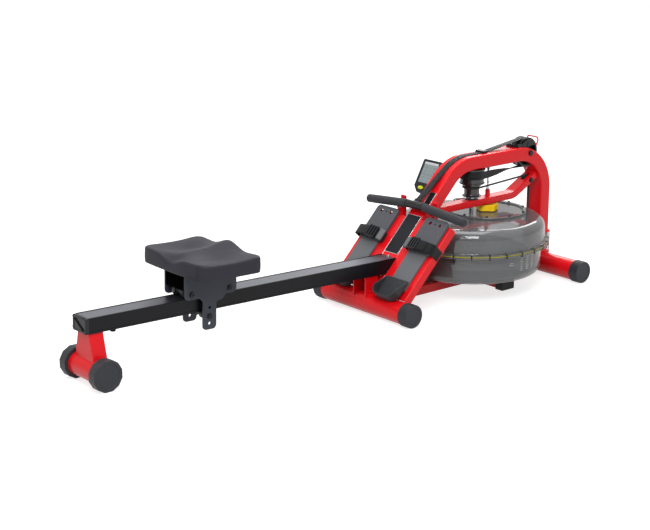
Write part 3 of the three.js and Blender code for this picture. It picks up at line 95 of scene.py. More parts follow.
# The machine's directions, and its two sides
AHEAD, LEFT, UP = Vector((1, 0, 0)), Vector((0, 1, 0)), Vector((0, 0, 1))
SIDES = (("left", 1), ("right", -1))

# Sizes that several sub-assemblies share
TUBE_HALF = 38.1 * MM
TUBE_FACE = 25.4 * MM
ARCH_LEVEL = 467 * MM
ARCH_BEND = 145 * MM
SHAFT = 8 * MM
ROLL = 43 * MM
CORD = 3.5 * MM
CORD_TURN = 16 * MM
CORD_GAP_HALF = 8.5 * MM
GRIP = 15.5 * MM
GRIP_DROOP = math.radians(5)
WHEEL_ALONG = 371 * MM
WHEEL_LEVEL = 66.8 * MM
TILT_DEPTH = 36 * MM

# How the main lines lie to the nodes that the frame names
INCLINE_BACK = 256.02 * MM
INCLINE_LEVEL = 300 * MM
POST_AHEAD = 16 * MM
HANDLE_BACK = 24 * MM
HANDLE_RISE = 47 * MM


# Helpers for shapes


def weld(bm: BMesh, distance: float = TINY) -> None:
    """Merges doubled vertices and points every face outwards."""
    bmesh.ops.remove_doubles(bm, verts=bm.verts[:], dist=distance)
    bmesh.ops.recalc_face_normals(bm, faces=bm.faces[:])


def sharp_edges(bm: BMesh, angle: float = SMOOTH_ANGLE) -> list[BMEdge]:
    """Finds the edges at which the surface turns.

    Args:
        bm: The mesh.
        angle: The smallest turn between two faces that counts.

    Returns:
        The edges.
    """
    return [e for e in bm.edges if len(e.link_faces) == 2 and e.calc_face_angle(0.0) > angle]


def soften(bm: BMesh, radius: float, steps: int = FINE, edges: Iterable[BMEdge] | None = None,
           angle: float = SMOOTH_ANGLE) -> BMesh:
    """Rounds the sharp edges of a mesh.

    Args:
        bm: The mesh.
        radius: The width of the rounding.
        steps: The faces across it.
        edges: The edges to round, or None for every sharp one.
        angle: The smallest turn between two faces that counts as sharp.

    Returns:
        The same mesh.
    """
    chosen = sharp_edges(bm, angle) if edges is None else list(edges)
    if chosen and radius > 0:
        bmesh.ops.bevel(bm, geom=chosen, offset=radius, offset_type="OFFSET", affect="EDGES",
                        segments=steps, profile=0.5, material=-1, clamp_overlap=True)
    return bm


def moved(bm: BMesh, matrix: Matrix) -> BMesh:
    """Moves a whole mesh by a matrix and returns it, with its faces pointing outwards."""
    bmesh.ops.transform(bm, matrix=matrix, verts=bm.verts[:])
    if matrix.determinant() < 0:
        bmesh.ops.reverse_faces(bm, faces=bm.faces[:])
    return bm


def joined(parts: Iterable[BMesh]) -> BMesh:
    """Puts several meshes into the first of them and returns it."""
    parts = list(parts)
    whole = parts[0]
    for part in parts[1:]:
        spare = bpy.data.meshes.new("spare")
        part.to_mesh(spare)
        whole.from_mesh(spare)
        bpy.data.meshes.remove(spare)
        part.free()
    return whole


def shifted(bm: BMesh, x: float, y: float, z: float) -> BMesh:
    """Moves a whole mesh along the three axes and returns it."""
    return moved(bm, Matrix.Translation((x, y, z)))


def rectangle(a0: float, b0: float, a1: float, b1: float) -> list[tuple[float, float]]:
    """Returns the outline of a rectangle between two opposite corners."""
    return [(a0, b0), (a1, b0), (a1, b1), (a0, b1)]


def loop_round(half_a: float, half_b: float) -> list[tuple[float, float]]:
    """Returns the corners of a rectangle round the origin, with the first one again at the end."""
    corners = rectangle(-half_a, -half_b, half_a, half_b)
    return [*corners, corners[0]]


def doubled(half: Outline, flip: tuple[int, int]) -> list[tuple[float, float]]:
    """Returns an outline whose second half is the first one run backwards, with its signs flipped."""
    return [*half, *((a * flip[0], b * flip[1]) for a, b in reversed(half))]


def span(sign: int, near: float, far: float) -> list[float]:
    """Returns where something starts and ends on one side of the machine, the lower end first."""
    return sorted((sign * near, sign * far))


def block(low: Point, high: Point, radius: float = 0.6 * MM, steps: int = 2) -> BMesh:
    """Makes a box with rounded edges.

    Args:
        low: Its lowest corner.
        high: Its highest corner.
        radius: The rounding of its edges.
        steps: The faces across the rounding.

    Returns:
        The mesh.
    """
    bm = bmesh.new()
    a, b = Vector(low), Vector(high)
    size = Matrix.Diagonal((*(b - a), 1))
    bmesh.ops.create_cube(bm, size=1, matrix=Matrix.Translation((a + b) / 2) @ size)
    return soften(bm, radius, steps)


def rod(start: Point, end: Point, radius: float, edge: float = 0.0, sides: int = ROUND,
        end_radius: float | None = None, steps: int = 2) -> BMesh:
    """Makes a round bar or a cone between two points.

    Args:
        start: The middle of its first face.
        end: The middle of its last face.
        radius: Its radius.
        edge: The rounding of its rims.
        sides: The faces round it.
        end_radius: The radius at its end, where that differs.
        steps: The faces across the rounding.

    Returns:
        The mesh.
    """
    bm = bmesh.new()
    a, b = Vector(start), Vector(end)
    turn = (b - a).to_track_quat("Z", "Y").to_matrix().to_4x4()
    bmesh.ops.create_cone(bm, cap_ends=True, cap_tris=False, segments=sides, radius1=radius,
                          radius2=radius if end_radius is None else end_radius,
                          depth=(b - a).length, matrix=Matrix.Translation((a + b) / 2) @ turn)
    return soften(bm, edge, steps)


def turned(profile: Outline, axis: str = "Z", sides: int = ROUND, phase: float = 0.0) -> BMesh:
    """Turns an outline of radius and height round an axis through the origin.

    Args:
        profile: Points of radius and height, closed on itself or ending on the axis.
        axis: The axis, X, Y or Z.
        sides: The faces round it.
        phase: The angle at which the first corner stands.

    Returns:
        The mesh.
    """
    bm = bmesh.new()
    start = Matrix.Rotation(phase, 3, "Z")
    corners = [bm.verts.new(start @ Vector((radius, 0, height))) for radius, height in profile]
    pairs = list(pairwise(corners))
    if min(profile[0][0], profile[-1][0]) > TINY:
        pairs.append((corners[-1], corners[0]))
    edges = [bm.edges.new(pair) for pair in pairs]
    bmesh.ops.spin(bm, geom=[*corners, *edges], cent=(0, 0, 0), axis=(0, 0, 1), dvec=(0, 0, 0),
                   angle=2 * math.pi, steps=sides, use_merge=True, use_duplicate=False)
    weld(bm)
    turns = {"X": Matrix.Rotation(QUARTER, 4, "Y"), "Y": Matrix.Rotation(-QUARTER, 4, "X")}
    return moved(bm, turns[axis]) if axis in turns else bm


def crossbar(x: float, z: float, half: float, radius: float, edge: float = 0.0, sides: int = ROUND) -> BMesh:
    """Makes a round bar across the machine, as long on the left as on the right."""
    return rod((x, -half, z), (x, half, z), radius, edge, sides)


def upright(x: float, low: float, high: float, radius: float, edge: float = 0.0, sides: int = ROUND) -> BMesh:
    """Makes a round bar that stands in the machine's middle plane."""
    return rod((x, 0, low), (x, 0, high), radius, edge, sides)


def arc(centre: tuple[float, float], radius: float, first: float, last: float,
        steps: int) -> list[tuple[float, float]]:
    """Returns points on an arc round a centre, from one angle to another."""
    angles = [first + (last - first) * i / steps for i in range(steps + 1)]
    return [(centre[0] + radius * math.cos(a), centre[1] + radius * math.sin(a)) for a in angles]


def round_corners(bm: BMesh, corners: Iterable[BMVert], radius: float, steps: int) -> None:
    """Rounds the given corners of a flat face."""
    bmesh.ops.bevel(bm, geom=list(corners), offset=radius, offset_type="OFFSET", affect="VERTICES",
                    segments=steps, profile=0.5, material=-1, clamp_overlap=True)


class Plane(Enum):
    """The plane that an outline is drawn in, with the axis that it is carried along."""

    XY = ((1, 0, 0), (0, 1, 0), (0, 0, 1))
    XZ = ((1, 0, 0), (0, 0, 1), (0, 1, 0))
    YZ = ((0, 1, 0), (0, 0, 1), (1, 0, 0))

    def matrix(self) -> Matrix:
        """Returns the matrix from the drawing to space."""
        return Matrix(self.value).transposed().to_4x4()


def slab(points: Outline, plane: Plane, low: float, high: float, edge: float = 0.0, steps: int = 2,
         corner: float = 0.0, corner_steps: int = 5, only: Sequence[int] | None = None) -> BMesh:
    """Carries an outline along the third axis.

    Args:
        points: The outline.
        plane: The plane that it is drawn in.
        low: Where the solid starts on the third axis.
        high: Where it ends.
        edge: The rounding of all its sharp edges.
        steps: The faces across that rounding.
        corner: The radius of the outline's own corners.
        corner_steps: The faces across them.
        only: The corners that get it, or None for all.

    Returns:
        The mesh.
    """
    bm = bmesh.new()
    corners = [bm.verts.new((a, b, low)) for a, b in points]
    bm.faces.new(corners)
    if corner > 0:
        chosen = corners if only is None else [corners[i] for i in only]
        round_corners(bm, chosen, corner, corner_steps)
    raised = bmesh.ops.extrude_face_region(bm, geom=bm.faces[:])["geom"]
    tops = [v for v in raised if isinstance(v, BMVert)]
    bmesh.ops.translate(bm, verts=tops, vec=(0, 0, high - low))
    bmesh.ops.transform(bm, matrix=plane.matrix(), verts=bm.verts[:])
    bmesh.ops.recalc_face_normals(bm, faces=bm.faces[:])
    return soften(bm, edge, steps)


def mesh_of(bm: BMesh, name: str = "spare") -> Mesh:
    """Turns a bmesh into a mesh, and frees it."""
    mesh = bpy.data.meshes.new(name)
    bm.to_mesh(mesh)
    bm.free()
    return mesh


def carved(bm: BMesh, cutters: Iterable[BMesh]) -> BMesh:
    """Cuts shapes out of a closed mesh.

    Args:
        bm: The mesh that is cut.
        cutters: Closed meshes, which are used up.

    Returns:
        The cut mesh.
    """
    link = bpy.context.scene.collection.objects.link
    body = bpy.data.objects.new("cut_body", mesh_of(bm))
    tool = bpy.data.objects.new("cut_tool", mesh_of(joined(cutters)))
    link(body)
    link(tool)
    modifier = body.modifiers.new("cut", "BOOLEAN")
    modifier.operation, modifier.solver, modifier.object = "DIFFERENCE", "EXACT", tool
    modifier.use_self = True
    evaluated = body.evaluated_get(bpy.context.evaluated_depsgraph_get())
    result = bmesh.new()
    result.from_mesh(evaluated.to_mesh())
    evaluated.to_mesh_clear()
    for spare in (body, tool):
        mesh = spare.data
        bpy.data.objects.remove(spare)
        bpy.data.meshes.remove(mesh)
    return result


def swept(section: Outline, stations: Sequence[Matrix], capped: bool = True) -> BMesh:
    """Carries a section along stations, and writes how far along and across each point lies.

    Args:
        section: The section, in each station's own X and Y.
        stations: Places along the path, whose Z points along it.
        capped: Whether the ends are closed.

    Returns:
        The mesh, with the vertex vector "weave" in metres along and across.
    """
    bm = bmesh.new()
    place = bm.verts.layers.int.new("place")
    weave = bm.verts.layers.float_vector.new("weave")
    girth = [0.0]
    for before, here in pairwise([*section, section[0]]):
        girth.append(girth[-1] + math.dist(before, here))
    loop = []
    for i, (a, b) in enumerate(section):
        vert = bm.verts.new(stations[0] @ Vector((a, b, 0)))
        vert[place], vert[weave] = i, Vector((0, girth[i], b))
        loop.append(vert)
    edges = [bm.edges.new(pair) for pair in pairwise([*loop, loop[0]])]
    first, along = list(edges), 0.0
    for before, here in pairwise(stations):
        along += (here.translation - before.translation).length
        grown = bmesh.ops.extrude_edge_only(bm, edges=edges)["geom"]
        for vert in (g for g in grown if isinstance(g, BMVert)):
            a, b = section[vert[place]]
            vert.co = here @ Vector((a, b, 0))
            vert[weave] = Vector((along, girth[vert[place]], b))
        edges = [g for g in grown if isinstance(g, BMEdge) and g.is_boundary]
    if capped:
        for rim in (first, edges):
            bmesh.ops.edgeloop_fill(bm, edges=rim)
    else:
        weld(bm)
    bmesh.ops.recalc_face_normals(bm, faces=bm.faces[:])
    return bm


def circle(radius: float, sides: int) -> list[tuple[float, float]]:
    """Returns the corners of a round section."""
    return arc((0, 0), radius, 0, 2 * math.pi * (sides - 1) / sides, sides - 1)


def rounded_section(width: float, height: float, corner: float, steps: int = 4) -> list[tuple[float, float]]:
    """Returns a rectangle's outline with round corners, centred on the origin."""
    x, y = width / 2 - corner, height / 2 - corner
    turns = [((x, -y), -QUARTER), ((x, y), 0.0), ((-x, y), QUARTER), ((-x, -y), 2 * QUARTER)]
    return [p for centre, start in turns for p in arc(centre, corner, start, start + QUARTER, steps)]


def station(at: Vector, along: Vector, across: Vector) -> Matrix:
    """Returns a place on a path, with X across it and Z along it."""
    z = along.normalized()
    y = z.cross(across).normalized()
    x = y.cross(z)
    return Matrix.Translation(at) @ Matrix((x, y, z)).transposed().to_4x4()


def stations_on(points: Sequence[Vector], across: Vector) -> list[Matrix]:
    """Returns stations at points on a path that stays square to one direction as far as it can."""
    places = []
    for i, point in enumerate(points):
        ahead = points[min(i + 1, len(points) - 1)] - points[max(i - 1, 0)]
        places.append(station(point, ahead, across))
    return places


def smooth_path(points: Sequence[Point], steps: int) -> list[Vector]:
    """Returns points on a smooth curve through a few places.

    Args:
        points: The places.
        steps: The points in each stretch.

    Returns:
        The points, the given ones among them.
    """
    knots = [Vector(p) for p in points]
    ends = [2 * knots[0] - knots[1], *knots, 2 * knots[-1] - knots[-2]]
    path = []
    for before, start, end, after in zip(ends, ends[1:], ends[2:], ends[3:]):
        for i in range(steps):
            t = i / steps
            path.append(0.5 * (2 * start + (end - before) * t
                               + (2 * before - 5 * start + 4 * end - after) * t ** 2
                               + (3 * start - before - 3 * end + after) * t ** 3))
    return [*path, knots[-1]]


@dataclass(frozen=True)
class Bolt:
    """A bolt's head with its washer.

    Attributes:
        width: The head's width across flats, or its diameter if it has a socket.
        height: The height of washer and head together.
        socket: The width of the key's hole in a round head, or 0 for a plain hexagon.
    """

    width: float
    height: float
    socket: float = 0.0

    def head(self, at: Point, outwards: Point) -> BMesh:
        """Makes the washer and the head.

        Args:
            at: The middle of the washer's underside.
            outwards: The direction in which the bolt stands proud.

        Returns:
            The mesh.
        """
        base, out, flats = Vector(at), Vector(outwards).normalized(), math.cos(math.pi / 6)
        washer_top, top = base + out * self.height / 4, base + out * self.height
        washer = rod(base, washer_top, self.width * 0.72, edge=self.height / 14, sides=FEW)
        if self.socket > 0:
            head = rod(washer_top, top, self.width / 2, edge=self.height / 5, sides=FEW, steps=3)
            key = rod(top - out * self.height / 2, top + out * self.height, self.socket / 2 / flats, sides=6)
            return joined([washer, carved(head, [key])])
        head = rod(washer_top, top, self.width / 2 / flats, edge=self.height / 10, sides=6)
        return joined([washer, head])

    def pair(self, x: float, y: float, z: float) -> list[BMesh]:
        """Makes the heads on both sides of the machine, at one height and reach."""
        return [self.head((x, sign * y, z), (0, sign, 0)) for _, sign in SIDES]


# Every kind of bolt and screw on the machine

RAIL_SCREW = Bolt(13 * MM, 5 * MM, 5 * MM)
LUG_BOLT = Bolt(12 * MM, 8 * MM)
SLEEVE_SCREW = Bolt(14 * MM, 5 * MM, 6 * MM)
SHEAVE_BOLT = Bolt(14 * MM, 6 * MM)
LID_SCREW = Bolt(8 * MM, 4.5 * MM, 4 * MM)
ROD_NUT = Bolt(11 * MM, 8 * MM)
PULLEY_BOLT = Bolt(16 * MM, 6.3 * MM)
CLIP_SCREW = Bolt(5 * MM, 1.6 * MM, 2.5 * MM)
AXLE_SCREW = Bolt(15 * MM, 5.6 * MM, 6 * MM)
SADDLE_SCREW = Bolt(9 * MM, 3.4 * MM, 4 * MM)
ARM_SCREW = Bolt(9 * MM, 4 * MM, 4 * MM)


# Finishes

MIX_A, MIX_B, MIX_OUT = 6, 7, 2
IOR_PLASTIC = 1.53
IOR_COAT = 1.5


class Slot(Enum):
    """The material slots of the construction model."""

    RED = "red_paint"
    BLACK = "black_paint"
    TRACK = "grey_track"
    BLUE = "steel_blue"
    DARK = "dark_plastic"
    PLASTIC = "black_plastic"
    GREY = "grey_plastic"
    RUBBER = "black_rubber"
    WEBBING = "webbing"
    SEAT = "seat_foam"
    GRIP = "grip_foam"
    STEEL = "steel"
    SMOKE = "smoke"
    YELLOW = "yellow"
    SCREEN = "screen"


def linear(code: str) -> tuple[float, float, float, float]:
    """Turns an sRGB hex colour into linear red, green and blue, with an alpha of 1."""
    channels = [int(code[i:i + 2], 16) / 255 for i in (1, 3, 5)]
    return (*(c / 12.92 if c <= 0.04045 else ((c + 0.055) / 1.055) ** 2.4 for c in channels), 1.0)


def shade(code: str, factor: float) -> tuple[float, float, float, float]:
    """Turns an sRGB hex colour into linear values and makes them lighter or darker by a factor."""
    return (*(min(c * factor, 1.0) for c in linear(code)[:3]), 1.0)


def add(tree: NodeTree, kind: str, inputs: dict | None = None, **settings) -> Node:
    """Adds a node with its settings, values and links.

    Args:
        tree: The node tree of a material or a world.
        kind: The node's type, without the words that all types start with.
        inputs: Sockets by name or number, each with a value or the socket that feeds it.
        settings: The node's own properties.

    Returns:
        The node.
    """
    made = tree.nodes.new("ShaderNode" + kind)
    for key, value in settings.items():
        setattr(made, key, value)
    for key, value in (inputs or {}).items():
        if isinstance(value, NodeSocket):
            tree.links.new(value, made.inputs[key])
        else:
            made.inputs[key].default_value = value
    return made


def calc(tree: NodeTree, operation: str, *values: float | NodeSocket) -> NodeSocket:
    """Adds a math node for an operation on some values or sockets, and returns its result."""
    return add(tree, "Math", dict(enumerate(values)), operation=operation).outputs[0]


@dataclass(frozen=True)
class Finish:
    """A surface: its colour and gloss, with the mottling and the grain that its making left.

    The colour and the roughness wander over patches, and the grain stands out in relief.
    """

    name: str
    slot: Slot
    colour: str
    roughness: float = 0.5
    metallic: float = 0.0
    ior: float = IOR_PLASTIC
    specular: float = 0.28
    sheen: float = 0.0
    mottle: float = 0.08
    patch: float = 70 * MM
    uneven: float = 0.06
    grain: float = 1.6 * MM
    relief: float = 0.05 * MM

    def place(self, tree: NodeTree) -> NodeSocket:
        """Returns the coordinates that the patterns lie on, in metres on the object."""
        return add(tree, "TexCoord").outputs["Object"]

    def height(self, tree: NodeTree, place: NodeSocket) -> NodeSocket:
        """Returns the relief of the grain, from 0 to 1."""
        grain = {"Vector": place, "Scale": 1 / self.grain, "Detail": 3.0, "Roughness": 0.6}
        return add(tree, "TexNoise", grain).outputs["Fac"]

    def wander(self, tree: NodeTree, place: NodeSocket) -> NodeSocket:
        """Returns the slow variation over patches, from 0 to 1."""
        patches = {"Vector": place, "Scale": 1 / self.patch, "Detail": 4.0, "Roughness": 0.55}
        return add(tree, "TexNoise", patches).outputs["Fac"]

    def tint(self, tree: NodeTree, wander: NodeSocket, height: NodeSocket) -> NodeSocket:
        """Returns the colour: lighter and darker patches, with a little of the grain in them."""
        low, high = shade(self.colour, 1 - self.mottle), shade(self.colour, 1 + self.mottle)
        mixed = calc(tree, "MULTIPLY", wander, 0.8)
        share = calc(tree, "MULTIPLY_ADD", height, 0.2, mixed)
        colours = {0: share, MIX_A: low, MIX_B: high}
        return add(tree, "Mix", colours, data_type="RGBA").outputs[MIX_OUT]

    def gloss(self, tree: NodeTree, wander: NodeSocket) -> NodeSocket:
        """Returns the roughness, which wanders over the same patches."""
        spread = {"Value": wander, "From Min": 0.3, "From Max": 0.7,
                  "To Min": max(self.roughness - self.uneven, 0.02), "To Max": self.roughness + self.uneven}
        return add(tree, "MapRange", spread).outputs[0]

    def shader(self, tree: NodeTree) -> Node:
        """Builds the surface shader from colour, roughness and relief."""
        place = self.place(tree)
        height, wander = self.height(tree, place), self.wander(tree, place)
        bump = add(tree, "Bump", {"Height": height, "Distance": self.relief, "Strength": 1.0})
        inputs = {"Base Color": self.tint(tree, wander, height), "Roughness": self.gloss(tree, wander),
                  "Metallic": self.metallic, "Normal": bump.outputs[0]}
        if self.metallic < 1:
            inputs |= {"IOR": self.ior, "Specular IOR Level": self.specular}
        if self.sheen > 0:
            inputs |= {"Sheen Weight": self.sheen, "Sheen Roughness": 0.5}
        return add(tree, "BsdfPrincipled", inputs)

    def material(self) -> Material:
        """Returns the finish's material, made when it is first asked for."""
        made = bpy.data.materials.get(self.name)
        if made is None:
            made = bpy.data.materials.new(self.name)
            made.use_nodes = True
            tree = made.node_tree
            tree.nodes.clear()
            add(tree, "OutputMaterial", {"Surface": self.shader(tree).outputs[0]})
            made.diffuse_color = linear(self.colour)
        return made


@dataclass(frozen=True)
class DrawnGrain(Finish):
    """A surface whose grain is drawn out along the axis that is stretched least."""

    stretch: Point = (1.0, 1.0, 0.04)

    def height(self, tree: NodeTree, place: NodeSocket) -> NodeSocket:
        """Returns the grain, drawn out into lines."""
        drawn = add(tree, "Mapping", {"Vector": place, "Scale": self.stretch}).outputs[0]
        return super().height(tree, drawn)


@dataclass(frozen=True)
class BrushedMetal(DrawnGrain):
    """Metal with the fine parallel scratches of a brush or a lathe along one axis."""

    metallic: float = 1.0
    roughness: float = 0.3
    grain: float = 0.8 * MM
    relief: float = 0.02 * MM


@dataclass(frozen=True)
class MouldedPlastic(Finish):
    """Moulded plastic with the leathery grain that its mould was etched with."""

    cells: float = 1.4 * MM

    def height(self, tree: NodeTree, place: NodeSocket) -> NodeSocket:
        """Returns small round cells with a finer grain over them."""
        cells = {"Vector": place, "Scale": 1 / self.cells, "Randomness": 1.0}
        cell = add(tree, "TexVoronoi", cells, feature="SMOOTH_F1").outputs["Distance"]
        fine = super().height(tree, place)
        return calc(tree, "MULTIPLY_ADD", cell, 0.6, fine)


@dataclass(frozen=True)
class CellFoam(Finish):
    """Closed-cell foam sleeve: matt, with open pores where its skin was cut."""

    pores: float = 2.2 * MM

    def height(self, tree: NodeTree, place: NodeSocket) -> NodeSocket:
        """Returns the pores as small pits."""
        pits = {"Vector": place, "Scale": 1 / self.pores, "Randomness": 1.0}
        pit = add(tree, "TexVoronoi", pits, feature="F1").outputs["Distance"]
        return add(tree, "MapRange", {"Value": pit, "From Min": 0.1, "From Max": 0.5}).outputs[0]


@dataclass(frozen=True)
class Woven(Finish):
    """Flat webbing: threads that cross over and under, laid out along the band itself."""

    thread: float = 2.2 * MM

    def place(self, tree: NodeTree) -> NodeSocket:
        """Returns the place along and across the band, from the mesh's own attribute."""
        return add(tree, "Attribute", attribute_name="weave").outputs["Vector"]

    def height(self, tree: NodeTree, place: NodeSocket) -> NodeSocket:
        """Returns the crossing threads as rows of small humps."""
        split = add(tree, "SeparateXYZ", {0: place})
        turns = 2 * math.pi / self.thread
        along = calc(tree, "MULTIPLY", split.outputs[0], turns)
        across = calc(tree, "MULTIPLY", split.outputs[1], turns)
        warp = calc(tree, "SINE", along)
        weft = calc(tree, "SINE", across)
        cross = calc(tree, "MULTIPLY", warp, weft)
        return add(tree, "MapRange", {"Value": cross, "From Min": -1.0, "From Max": 1.0}).outputs[0]


@dataclass(frozen=True)
class SmokedShell(DrawnGrain):
    """Blown polycarbonate, smoke grey and see-through, with faint flow lines from top to bottom."""

    alpha: float = 0.6
    stretch: Point = (1.0, 1.0, 0.06)

    def shader(self, tree: NodeTree) -> Node:
        """Builds the surface as the base does, and lets light through it."""
        surface = super().shader(tree)
        surface.inputs["Alpha"].default_value = self.alpha
        return surface


@dataclass(frozen=True)
class LiquidCrystal(Finish):
    """A grey display behind glass, with the ghost of its unlit fields."""

    field_wide: float = 21 * MM
    field_high: float = 13 * MM

    def tint(self, tree: NodeTree, wander: NodeSocket, height: NodeSocket) -> NodeSocket:
        """Returns fields in rows, a little darker than the glass round them."""
        across = add(tree, "Attribute", attribute_name="field").outputs["Vector"]
        rows = {"Vector": across, "Color1": shade(self.colour, 0.82), "Color2": shade(self.colour, 0.74),
                "Mortar": linear(self.colour), "Scale": 1.0, "Mortar Size": 0.9 * MM, "Mortar Smooth": 0.1,
                "Brick Width": self.field_wide, "Row Height": self.field_high}
        return add(tree, "TexBrick", rows, offset=0.0).outputs["Color"]


class Finishes:
    """Every finish on the machine, named for what it is."""

    # Powder coat is glossy with a faint orange peel, and its baked film rounds every edge.
    red = Finish("red_powder_coat", Slot.RED, "#DA0E18", roughness=0.3, ior=IOR_COAT, specular=0.26,
                 mottle=0.05, uneven=0.04, grain=5 * MM, relief=0.06 * MM)
    # The rail's satin black film shows a little lighter where light grazes it.
    black = Finish("satin_black_powder_coat", Slot.BLACK, "#0C0C10", roughness=0.36, ior=IOR_COAT,
                   specular=0.17, mottle=0.14, grain=3 * MM)
    # The carriage is a blue-grey textured coat on steel plate, nearly matt.
    blue = Finish("slate_textured_powder_coat", Slot.BLUE, "#383A43", roughness=0.52, ior=IOR_COAT,
                  mottle=0.1, grain=1.6 * MM, relief=0.12 * MM)
    # The running strip is rolled steel, polished by the wheels along its length.
    track = BrushedMetal("rolled_steel_track", Slot.TRACK, "#6E6F76", roughness=0.42,
                         stretch=(0.03, 1.0, 1.0), mottle=0.1)
    # Bolts and rods are zinc-plated steel, cool and bright.
    steel = BrushedMetal("zinc_plated_steel", Slot.STEEL, "#B9BCC2", roughness=0.24, mottle=0.08)
    # Dark button-head screws are black oxide on steel, with a soft oily gloss.
    oxide = Finish("black_oxide_steel", Slot.STEEL, "#2B2C2F", roughness=0.35, metallic=0.6, mottle=0.15)
    # The foot caps are dark grey polypropylene with an etched grain.
    cap = MouldedPlastic("grained_dark_polypropylene", Slot.DARK, "#303136", roughness=0.5,
                         specular=0.22, mottle=0.1, relief=0.12 * MM)
    # Working parts are black nylon, with a dull gloss where it left the mould.
    plastic = MouldedPlastic("black_moulded_nylon", Slot.PLASTIC, "#131417", roughness=0.38, mottle=0.12,
                             relief=0.06 * MM)
    # The drum is hard black phenolic, moulded smooth and glossy.
    gloss = Finish("glossy_black_phenolic", Slot.PLASTIC, "#15161A", roughness=0.2, ior=1.6, specular=0.5,
                   mottle=0.15, uneven=0.05, grain=6 * MM, relief=0.04 * MM)
    # The heel cups are a softer black plastic with a coarser grain.
    cup = MouldedPlastic("grained_black_elastomer", Slot.PLASTIC, "#2A2B2F", roughness=0.55, mottle=0.1,
                         cells=2 * MM, relief=0.15 * MM)
    # Toe boards are mid grey and grained, and the sliding tongues a little lighter and smoother.
    toe = MouldedPlastic("grained_grey_nylon", Slot.GREY, "#4B4C51", roughness=0.5, mottle=0.1,
                         relief=0.12 * MM)
    tongue = MouldedPlastic("pale_grey_nylon", Slot.PLASTIC, "#5F6165", roughness=0.46, mottle=0.08)
    # Rubber rests and buffers are matt black.
    rubber = Finish("black_rubber", Slot.RUBBER, "#0C0C0E", roughness=0.78, ior=1.52, mottle=0.2,
                    grain=1 * MM, relief=0.1 * MM)
    # Painted shade: the carriage's end walls are a near-black sheet that gives back almost no light, standing
    # in for the shade inside the carriage.
    painted_shade_liner = Finish("painted_shade_black_sheet", Slot.RUBBER, "#060607", roughness=1.0, specular=0.0, mottle=0.2)
    # Straps are polyester webbing: black threads that catch light on their crowns.
    webbing = Woven("polyester_webbing", Slot.WEBBING, "#0F1012", roughness=0.72, sheen=0.1,
                    specular=0.14, mottle=0.3, relief=0.5 * MM)
    # The belt is a finer, smoother weave, worn a little grey.
    belt = Woven("drive_belt_webbing", Slot.WEBBING, "#191A1D", roughness=0.62, sheen=0.1,
                 specular=0.14, mottle=0.25, thread=1.8 * MM, relief=0.3 * MM)
    # The bungee cord has a braided cover.
    braid = Woven("braided_cord_cover", Slot.WEBBING, "#101113", roughness=0.7, sheen=0.2, mottle=0.3,
                  thread=2.6 * MM, relief=0.4 * MM)
    # The seat is self-skinning polyurethane foam: soft, matt and very finely grained.
    seat = MouldedPlastic("self_skinned_polyurethane", Slot.SEAT, "#2E2D35", roughness=0.52, ior=1.5,
                          specular=0.14, mottle=0.06, cells=2 * MM, relief=0.12 * MM)
    # The grips are closed-cell foam, matt, with pores that show near by.
    grip = CellFoam("closed_cell_foam", Slot.GRIP, "#2E2F33", roughness=0.82, sheen=0.1, mottle=0.1,
                    relief=0.25 * MM)
    # The tank's shells are smoked polycarbonate, and its thicker lid lets less light through.
    smoke = SmokedShell("smoked_polycarbonate", Slot.SMOKE, "#606264", roughness=0.06, ior=1.58,
                        specular=0.8, mottle=0.3, uneven=0.02, grain=60 * MM, relief=0.05 * MM, alpha=0.6)
    lid = SmokedShell("smoked_polycarbonate_lid", Slot.SMOKE, "#5E6063", roughness=0.08, ior=1.58,
                      specular=0.8, mottle=0.05, uneven=0.02, grain=60 * MM, relief=0.03 * MM, alpha=0.75)
    # The knob is glossy yellow nylon, the button lime green, and the seal a duller yellow silicone.
    yellow = MouldedPlastic("yellow_gloss_nylon", Slot.YELLOW, "#FFD018", roughness=0.3, mottle=0.05,
                            cells=3 * MM, relief=0.03 * MM)
    lime = MouldedPlastic("lime_green_nylon", Slot.YELLOW, "#C4D000", roughness=0.35, mottle=0.05)
    seal = Finish("yellow_silicone", Slot.YELLOW, "#D9CB2E", roughness=0.4, ior=1.41, mottle=0.08)
    # The bare plates on the tube are anodised black aluminium with bright edges.
    plate = BrushedMetal("black_anodised_aluminium", Slot.BLACK, "#25262B", roughness=0.38,
                         metallic=0.7, stretch=(0.05, 1.0, 1.0))
    edge = BrushedMetal("bright_aluminium_edge", Slot.STEEL, "#C9CBD0", roughness=0.25)
    # The tank's level marks are printed in pale grey.
    pale = Finish("pale_printed_ink", Slot.GREY, "#C3C8C8", roughness=0.6, mottle=0.1)
    # The display is grey-green liquid crystal behind clear glass.
    screen = LiquidCrystal("liquid_crystal_display", Slot.SCREEN, "#8B9799", roughness=0.14,
                           ior=1.5, relief=0.01 * MM)


# Where things are, and how a finished piece is made


